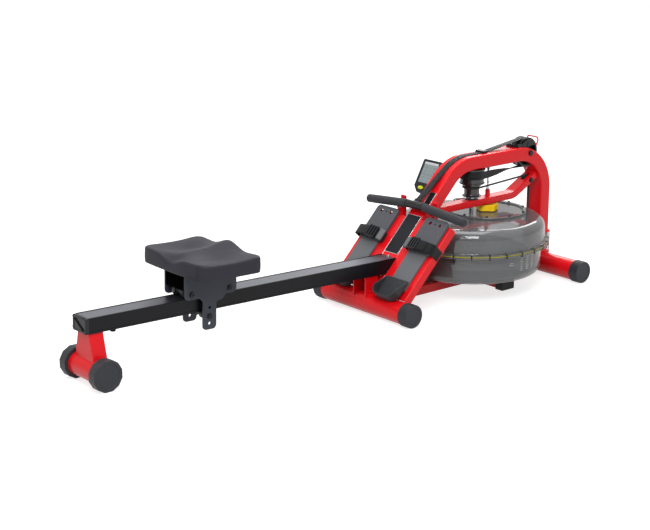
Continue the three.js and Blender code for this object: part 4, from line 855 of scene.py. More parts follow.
@dataclass
class Layout:
    """The machine's main lines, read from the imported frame.

    Each matrix goes from a local frame to the machine's. Along the rail, X runs forwards from its
    rear end and Z out of its underside. On the incline, X runs up the diagonal tube's middle line
    and Z out towards the rower. On the monitor, X runs into its face and Z up it.
    """

    rail: Matrix
    incline: Matrix
    monitor: Matrix
    tank: Vector
    rear_foot: Vector
    mid_foot: Vector
    front_foot: Vector
    post: float
    pulley: Vector
    sheave_upper: Vector
    sheave_lower: Vector
    lid: Vector
    plug: Vector
    guide_rod: Vector
    handle: Vector
    incline_angle: float

    @staticmethod
    def axes(at: Vector, ahead: Vector) -> Matrix:
        """Returns a frame with X ahead and Y to the rower's left."""
        turn = Matrix((ahead, LEFT, ahead.cross(LEFT))).transposed().to_4x4()
        return Matrix.Translation(at) @ turn

    @staticmethod
    def middle(*nodes: str) -> Vector:
        """Returns the middle of the box that some nodes fill."""
        boxes = [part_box(node) for node in nodes]
        low = [min(box[0][i] for box in boxes) for i in range(3)]
        high = [max(box[1][i] for box in boxes) for i in range(3)]
        return (Vector(low) + Vector(high)) / 2

    @classmethod
    def read(cls, joints: Sequence[dict]) -> "Layout":
        """Works out the main lines from the joints and from the nodes' boxes.

        Args:
            joints: The frame's joints.

        Returns:
            The layout.
        """
        named = {joint["name"]: joint for joint in joints}
        axis = {name: Vector(joint["axis"]) for name, joint in named.items()}
        at = {name: Vector(joint["pos_m"]) for name, joint in named.items() if "pos_m" in joint}
        rail = cls.axes(Vector(), axis["seat_slide"])
        rail.translation = at["wheel_rear_roll"] - rail.to_3x3() @ Vector((WHEEL_ALONG, 0, WHEEL_LEVEL))
        tank = cls.middle("tank_lower", "tank_upper")
        up_incline = axis["heel_left_slide"]
        incline = cls.axes(Vector((tank.x - INCLINE_BACK, 0, INCLINE_LEVEL)), up_incline)
        monitor = cls.axes(at["monitor_tilt"] - axis["button_press"] * TILT_DEPTH, axis["button_press"])
        front_foot = cls.middle("front_foot_cap_left", "front_foot_cap_right")
        return cls(
            rail=rail, incline=incline, monitor=monitor, tank=tank,
            rear_foot=cls.middle("rear_foot_cap_left", "rear_foot_cap_right"),
            mid_foot=cls.middle("mid_foot_cap_left", "mid_foot_cap_right"),
            front_foot=front_foot, post=front_foot.x + POST_AHEAD,
            pulley=at["belt_pulley_turn"], sheave_upper=at["sheave_upper_turn"],
            sheave_lower=at["sheave_lower_turn"], lid=cls.middle("tank_lid"),
            plug=cls.middle("fill_plug"), guide_rod=cls.middle("guide_rod"),
            handle=Vector((incline.translation.x - HANDLE_BACK, 0, INCLINE_LEVEL + HANDLE_RISE)),
            incline_angle=math.atan2(up_incline.z, up_incline.x),
        )

    def on_incline(self, along: float, out: float) -> Vector:
        """Returns a place in the machine's middle plane from one on the incline."""
        return self.incline @ Vector((along, 0, out))


@dataclass
class Assembly:
    """A group of pieces, built around the machine's main lines."""

    layout: Layout

    def build(self) -> None:
        """Makes and dresses every piece of the group."""
        raise NotImplementedError


def add_normals(thing: Object) -> None:
    """Keeps flat faces flat beside their rounded edges."""
    modifier = thing.modifiers.new("normals", "WEIGHTED_NORMAL")
    modifier.keep_sharp, modifier.weight = True, 60


def piece(name: str, bm: BMesh, finish: Finish, body: str = "frame", replaces: Sequence[str] = (),
          angle: float = SMOOTH_ANGLE, hard: bool = True) -> Object:
    """Makes a finished piece: its smoothing, its material, its body and the node it stands for.

    Args:
        name: The piece's name.
        bm: Its mesh, in place.
        finish: Its surface.
        body: The body that it moves with.
        replaces: The construction nodes that it stands for.
        angle: The turn from which an edge stays sharp.
        hard: Whether its flat faces keep their own normals.

    Returns:
        The object.
    """
    bmesh.ops.remove_doubles(bm, verts=bm.verts[:], dist=TINY)
    mesh = mesh_of(bm, name)
    mesh.shade_smooth()
    mesh.set_sharp_from_angle(angle=angle)
    mesh.materials.append(finish.material())
    thing = bpy.data.objects.new(name, mesh)
    bpy.context.scene.collection.objects.link(thing)
    if hard:
        add_normals(thing)
    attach(thing, body)
    if replaces:
        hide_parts(*replaces)
    log.info("%s: %d faces on %s", name, len(mesh.polygons), body)
    return thing


def on_side(bm: BMesh, sign: int) -> BMesh:
    """Returns a mesh made for the left side, mirrored if it belongs on the right."""
    return bm if sign > 0 else moved(bm, Matrix.Scale(-1, 4, LEFT))


def cut_flat(bm: BMesh, at: Vector, outwards: Vector) -> BMesh:
    """Cuts away everything beyond a plane and closes the cut."""
    geometry = [*bm.verts, *bm.edges, *bm.faces]
    cut = bmesh.ops.bisect_plane(bm, geom=geometry, plane_co=at, plane_no=outwards, clear_outer=True)
    rim = [g for g in cut["geom_cut"] if isinstance(g, BMEdge)]
    bmesh.ops.holes_fill(bm, edges=[e for e in rim if e.is_valid], sides=0)
    bmesh.ops.recalc_face_normals(bm, faces=bm.faces[:])
    return bm


def facing(bm: BMesh, direction: Point) -> BMFace:
    """Finds the largest face that looks in a direction."""
    way = Vector(direction).normalized()
    looking = [f for f in bm.faces if f.normal.dot(way) > 0.9]
    return max(looking, key=lambda f: f.calc_area())


def panel(bm: BMesh, direction: Point, inset: float, depth: float, slope: float = 0.6 * MM) -> BMesh:
    """Sinks or raises a panel in the largest face that looks in a direction.

    Args:
        bm: The mesh.
        direction: The way that the face looks.
        inset: The border left round the panel.
        depth: How far it stands out, or in if below zero.
        slope: The width of its sloped edge.

    Returns:
        The same mesh.
    """
    bm.normal_update()
    face = facing(bm, direction)
    bmesh.ops.inset_region(bm, faces=[face], thickness=inset, depth=0, use_even_offset=True)
    bmesh.ops.inset_region(bm, faces=[face], thickness=slope, depth=depth, use_even_offset=True)
    return bm


def bead(points: Sequence[Vector], radius: float = 2.4 * MM, pitch: float = 4.5 * MM) -> BMesh:
    """Makes a weld bead along a path: a thin round run with a ripple at each dab of the weld.

    Args:
        points: The corners of the path.
        radius: The bead's radius.
        pitch: The distance from ripple to ripple.

    Returns:
        The mesh.
    """
    dense = []
    for start, end in pairwise(points):
        steps = max(2, round((end - start).length / pitch) * 2)
        dense += [start.lerp(end, i / steps) for i in range(steps)]
    dense.append(points[-1])
    across = Vector((0.31, 0.87, 0.38))
    places = stations_on(dense, across)
    waves = [place @ Matrix.Scale(1.12 if i % 2 else 0.86, 4) for i, place in enumerate(places)]
    return swept(circle(radius, 8), waves)


def bent(corners: Sequence[tuple[float, float]], radius: float, steps: int) -> list[Matrix]:
    """Returns stations along a bent bar in the machine's middle plane.

    Args:
        corners: Where its straight stretches would meet, as X and Z.
        radius: The radius of its bends.
        steps: The stations in each bend.

    Returns:
        The stations, with X to the rower's left and Z along the bar.
    """
    places: list[tuple[Vector, Vector]] = []
    flat = [Vector((x, 0, z)) for x, z in corners]
    ways = [(b - a).normalized() for a, b in pairwise(flat)]
    places.append((flat[0], ways[0]))
    for corner, before, after in zip(flat[1:-1], ways, ways[1:]):
        turn = before.angle(after)
        side = math.copysign(1, before.cross(after).y)
        setback = radius * math.tan(turn / 2)
        start = corner - before * setback
        centre = start + Matrix.Rotation(side * QUARTER, 3, "Y") @ before * radius
        for i in range(steps + 1):
            spin = Matrix.Rotation(side * turn * i / steps, 3, "Y")
            places.append((centre + spin @ (start - centre), spin @ before))
    places.append((flat[-1], ways[-1]))
    return [station(at, way, LEFT) for at, way in places]


# Rail and feet


@dataclass
class Rail(Assembly):
    """The seat rail: black tube with rims, running strip, rear end cap and rear stop."""

    height: float = 49.5 * MM
    rim: float = 6 * MM
    recess: float = 3 * MM
    groove: float = 1.2 * MM
    groove_low: float = 7 * MM
    groove_high: float = 11 * MM
    below_rim: float = 1 * MM
    length: float = 1362 * MM
    cap: float = 12 * MM
    cap_corner: float = 5 * MM
    stop_along: float = 118 * MM
    stop_radius: float = 9 * MM
    stop_height: float = 18 * MM
    bolt_along: float = 1245 * MM
    lug_bolt_along: float = 1199 * MM
    lug_bolt_half: float = 18 * MM

    def trimmed(self, bm: BMesh) -> BMesh:
        """Moves a piece of the rail into place and ends it at the diagonal's face."""
        at = self.layout.on_incline(0, TUBE_FACE + HAIR)
        out = self.layout.incline.to_3x3() @ -UP
        return cut_flat(moved(bm, self.layout.rail), at, out)

    def tube(self) -> BMesh:
        """Makes the tube with its rims and side grooves."""
        inner, deep = TUBE_HALF - self.rim, TUBE_HALF - self.groove
        floor = self.height - self.recess
        right = [(TUBE_HALF, 0), (TUBE_HALF, self.groove_low), (deep, self.groove_low),
                 (deep, self.groove_high), (TUBE_HALF, self.groove_high), (TUBE_HALF, self.height),
                 (inner, self.height), (inner, floor)]
        section = doubled(right, (-1, 1))
        return self.trimmed(slab(section, Plane.YZ, self.cap + HAIR, self.length, edge=0.9 * MM))

    def strip(self) -> BMesh:
        """Makes the running strip between the rims."""
        half = TUBE_HALF - self.rim - HAIR
        low, high = self.height - self.recess + HAIR, self.height - self.below_rim
        bm = block((self.cap + HAIR, -half, low), (self.length, half, high), CRISP)
        return self.trimmed(bm)

    def end_cap(self) -> BMesh:
        """Makes the moulded cap with its rounded outer edge and sunk panel."""
        outline = rectangle(-TUBE_HALF, 0, TUBE_HALF, self.height)
        bm = slab(outline, Plane.YZ, 0, self.cap, corner=self.cap_corner)
        outer = [e for e in bm.edges if all(v.co.x < TINY for v in e.verts)]
        soften(bm, 3 * MM, 4, outer)
        panel(bm, -AHEAD, 4 * MM, -1.2 * MM)
        return moved(bm, self.layout.rail)

    def stop(self) -> BMesh:
        """Makes the rubber buffer under the rail, with a dished face."""
        r, h = self.stop_radius, self.stop_height
        profile = [(0, -HAIR), (r, -HAIR), *arc((r - 3 * MM, 3 * MM - h), 3 * MM, 0, -QUARTER, 4),
                   (r / 3, -h), (r / 4, 1.5 * MM - h), (0, 1.5 * MM - h)]
        return moved(shifted(turned(profile, sides=FEW), self.stop_along, 0, 0), self.layout.rail)

    def bolts(self) -> BMesh:
        """Makes the two bolts that tie the rail to the lugs, and the one on its top."""
        top = RAIL_SCREW.head((self.bolt_along, 0, self.height - self.below_rim), UP)
        under = [LUG_BOLT.head((self.lug_bolt_along, sign * self.lug_bolt_half, 0), -UP) for _, sign in SIDES]
        return moved(joined([top, *under]), self.layout.rail)

    def build(self) -> None:
        """Makes and dresses every piece of the rail."""
        piece("rail_tube", self.tube(), Finishes.black, replaces=["rail"])
        piece("running_strip", self.strip(), Finishes.track, replaces=["rail_top_strip"])
        piece("rail_rear_cap", self.end_cap(), Finishes.plastic, replaces=["rail_end_cap"])
        piece("rear_buffer", self.stop(), Finishes.rubber, replaces=["seat_stop_rear"])
        piece("rail_bolts", self.bolts(), Finishes.steel)


@dataclass
class FootCap:
    """A plastic cap on the end of a cross tube, which is what the machine stands on."""

    flat: float
    thickness: float
    corners: int
    ribs: int
    chamfer: float
    dish: float
    rib: float = 1.2 * MM

    def outline(self) -> Outline:
        """Returns the outline of a cap with flats."""
        radius = self.flat / math.cos(math.pi / self.corners)
        return [(radius * math.cos(a), radius * math.sin(a))
                for a in ((i + 0.5) * 2 * math.pi / self.corners for i in range(self.corners))]

    def ribbed(self, face: float) -> BMesh:
        """Makes a round cap with a dished face and low ribs round it, whose flat face lies at a place."""
        deep, low, slope = 1.5 * MM, self.flat - self.rib, 1.2 * MM
        bevel = arc((low - self.chamfer, self.thickness - self.chamfer), self.chamfer, 0, QUARTER, 4)
        floor = low - self.chamfer - self.dish
        profile = [(0, 0), (low - deep, 0), (low, deep), *bevel, (floor, self.thickness),
                   (floor - slope, self.thickness - deep), (0, self.thickness - deep)]
        rib = block((low - deep, -self.rib, 2 * self.rib),
                    (self.flat, self.rib, self.thickness - self.chamfer), self.rib / 3)
        turn = Matrix.Translation((0, face - self.thickness, 0)) @ Matrix.Rotation(-QUARTER, 4, "X")
        return moved(joined([turned(profile, sides=MANY), spun(rib, self.ribs)]), turn)

    def build(self, at: Vector, face: float) -> BMesh:
        """Makes the cap for the left side.

        Args:
            at: The middle of the tube in X and Z.
            face: How far out its flat face lies.

        Returns:
            The mesh.
        """
        if self.ribs:
            return shifted(self.ribbed(face), at.x, 0, at.z)
        bm = slab(self.outline(), Plane.XZ, face - self.thickness, face)
        outer = [e for e in bm.edges if all(v.co.y > face - TINY for v in e.verts)]
        soften(bm, self.chamfer, 3, outer)
        inner = [e for e in bm.edges if all(v.co.y < face - self.thickness + TINY for v in e.verts)]
        soften(bm, EDGE, 2, inner)
        panel(bm, LEFT, self.dish, -1.5 * MM, 1.2 * MM)
        return shifted(bm, at.x, 0, at.z)


@dataclass
class Feet(Assembly):
    """The three cross tubes that the machine stands on, with leg, lugs and socket."""

    radius: float = 38 * MM
    rear_face: float = 101 * MM
    mid_face: float = 242 * MM
    front_face: float = 253 * MM
    rear_cap: FootCap = field(default_factory=lambda: FootCap(49.4 * MM, 33 * MM, 12, 0, 2.6 * MM, 8 * MM))
    low_cap: FootCap = field(default_factory=lambda: FootCap(40.8 * MM, 41 * MM, 0, 28, 2 * MM, 7 * MM))
    leg_depth: float = 50 * MM
    leg_offset: float = 4.6 * MM
    leg_top: float = 33 * MM
    leg_foot: float = 52 * MM
    flare: float = 90 * MM
    rail_level: float = 170.2 * MM
    lug_back: float = 32 * MM
    lug_front: float = 24 * MM
    lug_spread: float = 30 * MM
    lug_thick: float = 5 * MM
    socket_half: Point = (30.2 * MM, 42.9 * MM)
    socket_top: float = 158 * MM
    bolt_ahead: float = 17 * MM
    bolt_levels: Point = (90 * MM, 140 * MM)

    def tube(self, at: Vector, half: float) -> BMesh:
        """Makes a cross tube between its caps."""
        return crossbar(at.x, at.z, half, self.radius, EDGE, MANY)

    def under_rail(self, bm: BMesh) -> BMesh:
        """Cuts a mesh off at the rail's underside."""
        up = self.layout.rail.to_3x3() @ UP
        return cut_flat(bm, self.layout.rail @ Vector((0, 0, -HAIR)), up)

    def leg(self) -> BMesh:
        """Makes the rear leg: a box section that flares down to its tube, with rounded edges."""
        at = self.layout.rear_foot
        x = at.x + self.leg_offset
        foot, top = at.z - self.radius / 4, self.rail_level + 2 * self.leg_top
        right = [(self.leg_foot, foot), (self.leg_foot, self.flare), (self.leg_top, self.rail_level),
                 (self.leg_top, top)]
        outline = doubled(right, (-1, 1))
        bm = slab(outline, Plane.YZ, x - self.leg_depth / 2, x + self.leg_depth / 2, edge=4.5 * MM, steps=4)
        return self.under_rail(bm)

    def on_tube(self, at: Vector, x: float, y: float) -> Vector:
        """Returns the point on top of a cross tube at a place in X and Y."""
        reach = x - at.x
        return Vector((x, y, at.z + math.sqrt(self.radius ** 2 - reach ** 2)))

    def collar(self, at: Vector, x0: float, x1: float, half: float) -> BMesh:
        """Makes the weld round something that stands on a cross tube."""
        steps = 8
        rear = [self.on_tube(at, x0, y) for y in (-half, half)]
        left = [self.on_tube(at, x0 + (x1 - x0) * i / steps, half) for i in range(1, steps + 1)]
        right = [self.on_tube(at, x1 + (x0 - x1) * i / steps, -half) for i in range(steps + 1)]
        return bead([*rear, *left, *right])

    def lugs(self) -> BMesh:
        """Makes the two plates on the middle foot that the rail is bolted to."""
        at = self.layout.mid_foot
        outline = rectangle(at.x - self.lug_back, at.z, at.x + self.lug_front, self.rail_level)
        half = self.lug_thick / 2
        sides = [span(sign, self.lug_spread - half, self.lug_spread + half) for _, sign in SIDES]
        return self.under_rail(joined(slab(outline, Plane.XZ, *ends, edge=EDGE) for ends in sides))

    def socket(self) -> BMesh:
        """Makes the square sleeve on the front foot that holds the post."""
        x, half_x, half_y = self.layout.post, *self.socket_half
        low = self.layout.front_foot.z
        bm = block((x - half_x, -half_y, low), (x + half_x, half_y, self.socket_top), 5 * MM, 4)
        return panel(bm, UP, 0.6 * MM, -8 * MM, 1.5 * MM)

    def socket_bolts(self) -> BMesh:
        """Makes the button-head bolts through the sleeve."""
        x, y = self.layout.post + self.bolt_ahead, self.socket_half[1]
        return joined(head for z in self.bolt_levels for head in SLEEVE_SCREW.pair(x, y, z))

    def build(self) -> None:
        """Makes and dresses the three feet."""
        rear, mid, front = self.layout.rear_foot, self.layout.mid_foot, self.layout.front_foot
        x = rear.x + self.leg_offset
        weld = self.collar(rear, x - self.leg_depth / 2, x + self.leg_depth / 2, self.leg_foot)
        rear_half = self.rear_face - self.rear_cap.thickness
        parts = [self.tube(rear, rear_half), self.leg(), weld]
        piece("rear_foot_and_leg", joined(parts), Finishes.red, replaces=["rear_leg"])
        mid_parts = [self.tube(mid, self.mid_face - self.low_cap.thickness), self.lugs()]
        piece("middle_cross_tube", joined(mid_parts), Finishes.red, replaces=["mid_foot"])
        post, half_x, half_y = self.layout.post, *self.socket_half
        ahead = min(half_x, self.radius - POST_AHEAD - 2 * MM)
        round_socket = self.collar(front, post - half_x, post + ahead, half_y)
        front_half = self.front_face - self.low_cap.thickness
        front_parts = [self.tube(front, front_half), self.socket(), round_socket]
        piece("front_cross_tube", joined(front_parts), Finishes.red, replaces=["front_foot"])
        piece("socket_bolts", self.socket_bolts(), Finishes.steel)
        places = (("rear_foot", rear, self.rear_face, self.rear_cap),
                  ("mid_foot", mid, self.mid_face, self.low_cap),
                  ("front_foot", front, self.front_face, self.low_cap))
        for name, at, face, cap in places:
            for side, sign in SIDES:
                bm = on_side(cap.build(at, face), sign)
                piece(f"{name}_end_{side}", bm, Finishes.cap, replaces=[f"{name}_cap_{side}"])


# Red frame


@dataclass
class MainFrame(Assembly):
    """The bent tube that makes diagonal, arch and post, with the bar and the beam that brace it."""

    width: float = 76.2 * MM
    depth: float = 50.8 * MM
    corner: float = 7 * MM
    foot_along: float = -344 * MM
    post_foot: float = 100 * MM
    bar_width: float = 50 * MM
    bar_depth: float = 25 * MM
    bar_level: float = 314.5 * MM
    bar_corner: float = 4 * MM
    bar_bend: float = 70 * MM
    bar_run: float = 156 * MM
    bar_rise: float = math.radians(28)
    beam_low: float = 26 * MM
    beam_high: float = 60 * MM
    beam_start: float = 26 * MM
    anchor_ahead: float = 106 * MM
    anchor_long: float = 22 * MM
    arm_half: float = 25 * MM
    arm_reach: float = 190 * MM
    arm_low: float = 31 * MM
    arm_high: float = 55 * MM
    slot_radius: float = 58 * MM
    slot_half: float = 23 * MM
    boss_radius: float = 9 * MM
    boss_height: float = 24.7 * MM
    rest_near: float = 160 * MM
    rest_far: float = 196 * MM
    rest_top: float = 72.7 * MM
    rest_wall: float = 6 * MM
    plate_rim: float = 1.6 * MM
    plate_boxes: tuple[Point, ...] = (
        (-172 * MM, -34 * MM, -9 * MM, 34 * MM),
        (37 * MM, -34 * MM, 94 * MM, -4 * MM),
    )

    @property
    def arch_corner(self) -> tuple[float, float]:
        """Where the diagonal and the top would meet, as X and Z."""
        rise = ARCH_LEVEL - self.layout.incline.translation.z
        return self.layout.incline.translation.x + rise / math.tan(self.layout.incline_angle), ARCH_LEVEL

    def tube(self) -> BMesh:
        """Makes the bent tube, with the slot that the belt pulley stands in."""
        foot = self.layout.on_incline(self.foot_along, 0)
        corners = [(foot.x, foot.z), self.arch_corner, (self.layout.post, ARCH_LEVEL),
                   (self.layout.post, self.post_foot)]
        section = rounded_section(self.width, self.depth, self.corner, 5)
        bm = swept(section, bent(corners, ARCH_BEND, 28))
        at = self.layout.pulley
        return carved(bm, [crossbar(at.x, at.z, self.slot_half, self.slot_radius, sides=MANY)])

    def lower_bar(self) -> BMesh:
        """Makes the flat bar from the diagonal to the post, with its slot for the cord's pulley."""
        start = self.layout.incline.translation.x
        end = self.layout.post
        corner = end - self.bar_run
        top = self.bar_level + self.bar_run * math.tan(self.bar_rise)
        corners = [(start, self.bar_level), (corner, self.bar_level), (end, top)]
        section = rounded_section(self.bar_width, self.bar_depth, self.bar_corner)
        bm = swept(section, bent(corners, self.bar_bend, 14))
        face = self.depth / 2 + HAIR
        cut_flat(bm, self.layout.on_incline(0, -face), self.layout.incline.to_3x3() @ UP)
        cut_flat(bm, Vector((end - face, 0, 0)), AHEAD)
        at, level, deep = self.layout.sheave_upper, self.bar_level, self.bar_depth
        slot = crossbar(at.x, at.z, CORD_GAP_HALF, CORD_TURN + 8 * MM)
        hole = upright(self.layout.tank.x, level - deep, level + deep, SHAFT + 1 * MM, sides=SOME)
        return carved(bm, [slot, hole])

    def boss(self) -> BMesh:
        """Makes the turned boss on the bar that the guide rod stands in."""
        low = self.bar_level + self.bar_depth / 2
        high, r = low + self.boss_height, self.boss_radius
        profile = [(0, low - 1 * MM), (r + 3 * MM, low - 1 * MM), (r, low + 3 * MM), (r, high - 2 * MM),
                   (r - 2 * MM, high), (0, high)]
        return shifted(turned(profile, sides=40), self.layout.guide_rod.x, 0, 0)

    def beam(self) -> BMesh:
        """Makes the beam along the floor with the arm that carries the tank."""
        rear, front = self.layout.mid_foot.x + self.beam_start, self.layout.front_foot.x - self.beam_start
        half, tank = self.width / 2, self.layout.tank.x
        beam = block((rear, -half, self.beam_low), (front, half, self.beam_high), 3.5 * MM, 4)
        arm = block((tank - self.arm_half, -self.arm_reach, self.arm_low),
                    (tank + self.arm_half, self.arm_reach, self.arm_high), 3 * MM, 3)
        x, cord_level = self.layout.mid_foot.x + self.anchor_ahead, self.layout.sheave_lower.z - CORD_TURN
        anchor = block((x, -2 * CORD, self.beam_high - 1 * MM),
                       (x + self.anchor_long, 2 * CORD, cord_level + 2 * CORD), 1.5 * MM)
        return joined([beam, arm, anchor, *self.ears()])

    def ears(self) -> list[BMesh]:
        """Makes the two ears on the beam that hold the lower cord pulley, with its pin."""
        at, inner, outer, half = self.layout.sheave_lower, CORD_GAP_HALF, CORD_GAP_HALF + 4 * MM, 8 * MM
        outline = [(at.x - half, self.beam_high - 1 * MM), (at.x + half, self.beam_high - 1 * MM),
                   *arc((at.x, at.z), half, 0, math.pi, 10)]
        plates = [slab(outline, Plane.XZ, *span(sign, inner, outer), edge=CRISP) for _, sign in SIDES]
        return [*plates, crossbar(at.x, at.z, outer + 2 * MM, 4 * MM, 0.6 * MM, 24)]

    def welds(self) -> BMesh:
        """Makes the beads where bar, diagonal and post meet."""
        half_y, half_z, face = self.bar_width / 2, self.bar_depth / 2, self.depth / 2
        start, angle = self.layout.incline.translation, self.layout.incline_angle
        rear = []
        for y, z in loop_round(half_y, half_z):
            up = self.bar_level + z - start.z
            reach = (face + up * math.cos(angle)) / math.sin(angle)
            rear.append(Vector((start.x + reach, y, self.bar_level + z)))
        top = self.bar_level + (self.bar_run - face) * math.tan(self.bar_rise)
        lift = half_z / math.cos(self.bar_rise)
        front = [Vector((self.layout.post - face, y, top + z)) for y, z in loop_round(half_y, lift)]
        return joined([bead(rear), bead(front)])

    def plates(self) -> tuple[BMesh, BMesh]:
        """Makes the two bare plates on the diagonal: their dark fields and their bright edges."""
        fields, edges = [], []
        low, rim, thin = self.depth / 2 + 0.05 * MM, self.plate_rim, 0.2 * MM
        for x0, y0, x1, y1 in self.plate_boxes:
            outline, inner = rectangle(x0, y0, x1, y1), rectangle(x0 + rim, y0 + rim, x1 - rim, y1 - rim)
            edges.append(slab(outline, Plane.XY, low, low + 0.8 * MM, corner=4 * MM, edge=thin, steps=1))
            fields.append(slab(inner, Plane.XY, low, low + 1 * MM, corner=3 * MM, edge=thin, steps=1))
        return moved(joined(fields), self.layout.incline), moved(joined(edges), self.layout.incline)

    def bolts(self) -> BMesh:
        """Makes the heads of the bolt through the bar that the upper cord pulley turns on."""
        at = self.layout.sheave_upper
        return joined(SHEAVE_BOLT.pair(at.x, self.bar_width / 2, at.z))

    def rest(self, sign: int) -> BMesh:
        """Makes the rubber rest on one end of the arm, with a sunk outer face."""
        x, half = self.layout.tank.x, self.arm_half + self.rest_wall
        low, high = self.arm_low - 3 * MM, self.rest_top
        bm = block((x - half, self.rest_near, low), (x + half, self.rest_far, high), 2.5 * MM, 3)
        return on_side(panel(bm, LEFT, 5 * MM, -1.5 * MM, 1.5 * MM), sign)

    def build(self) -> None:
        """Makes and dresses the red frame."""
        tube, bar = joined([self.tube(), self.welds()]), joined([self.lower_bar(), self.boss()])
        piece("bent_main_tube", tube, Finishes.red, replaces=["main_frame_tube"])
        piece("lower_brace_bar", bar, Finishes.red, replaces=["lower_bar"])
        piece("floor_beam_and_arm", self.beam(), Finishes.red, replaces=["base_beam"])
        fields, edges = self.plates()
        piece("bare_plates", fields, Finishes.plate)
        piece("bare_plate_edges", edges, Finishes.edge)
        piece("bar_bolt_heads", self.bolts(), Finishes.oxide)
        for side, sign in SIDES:
            piece(f"tank_pad_{side}", self.rest(sign), Finishes.rubber, replaces=[f"tank_rest_{side}"])


# Footboards


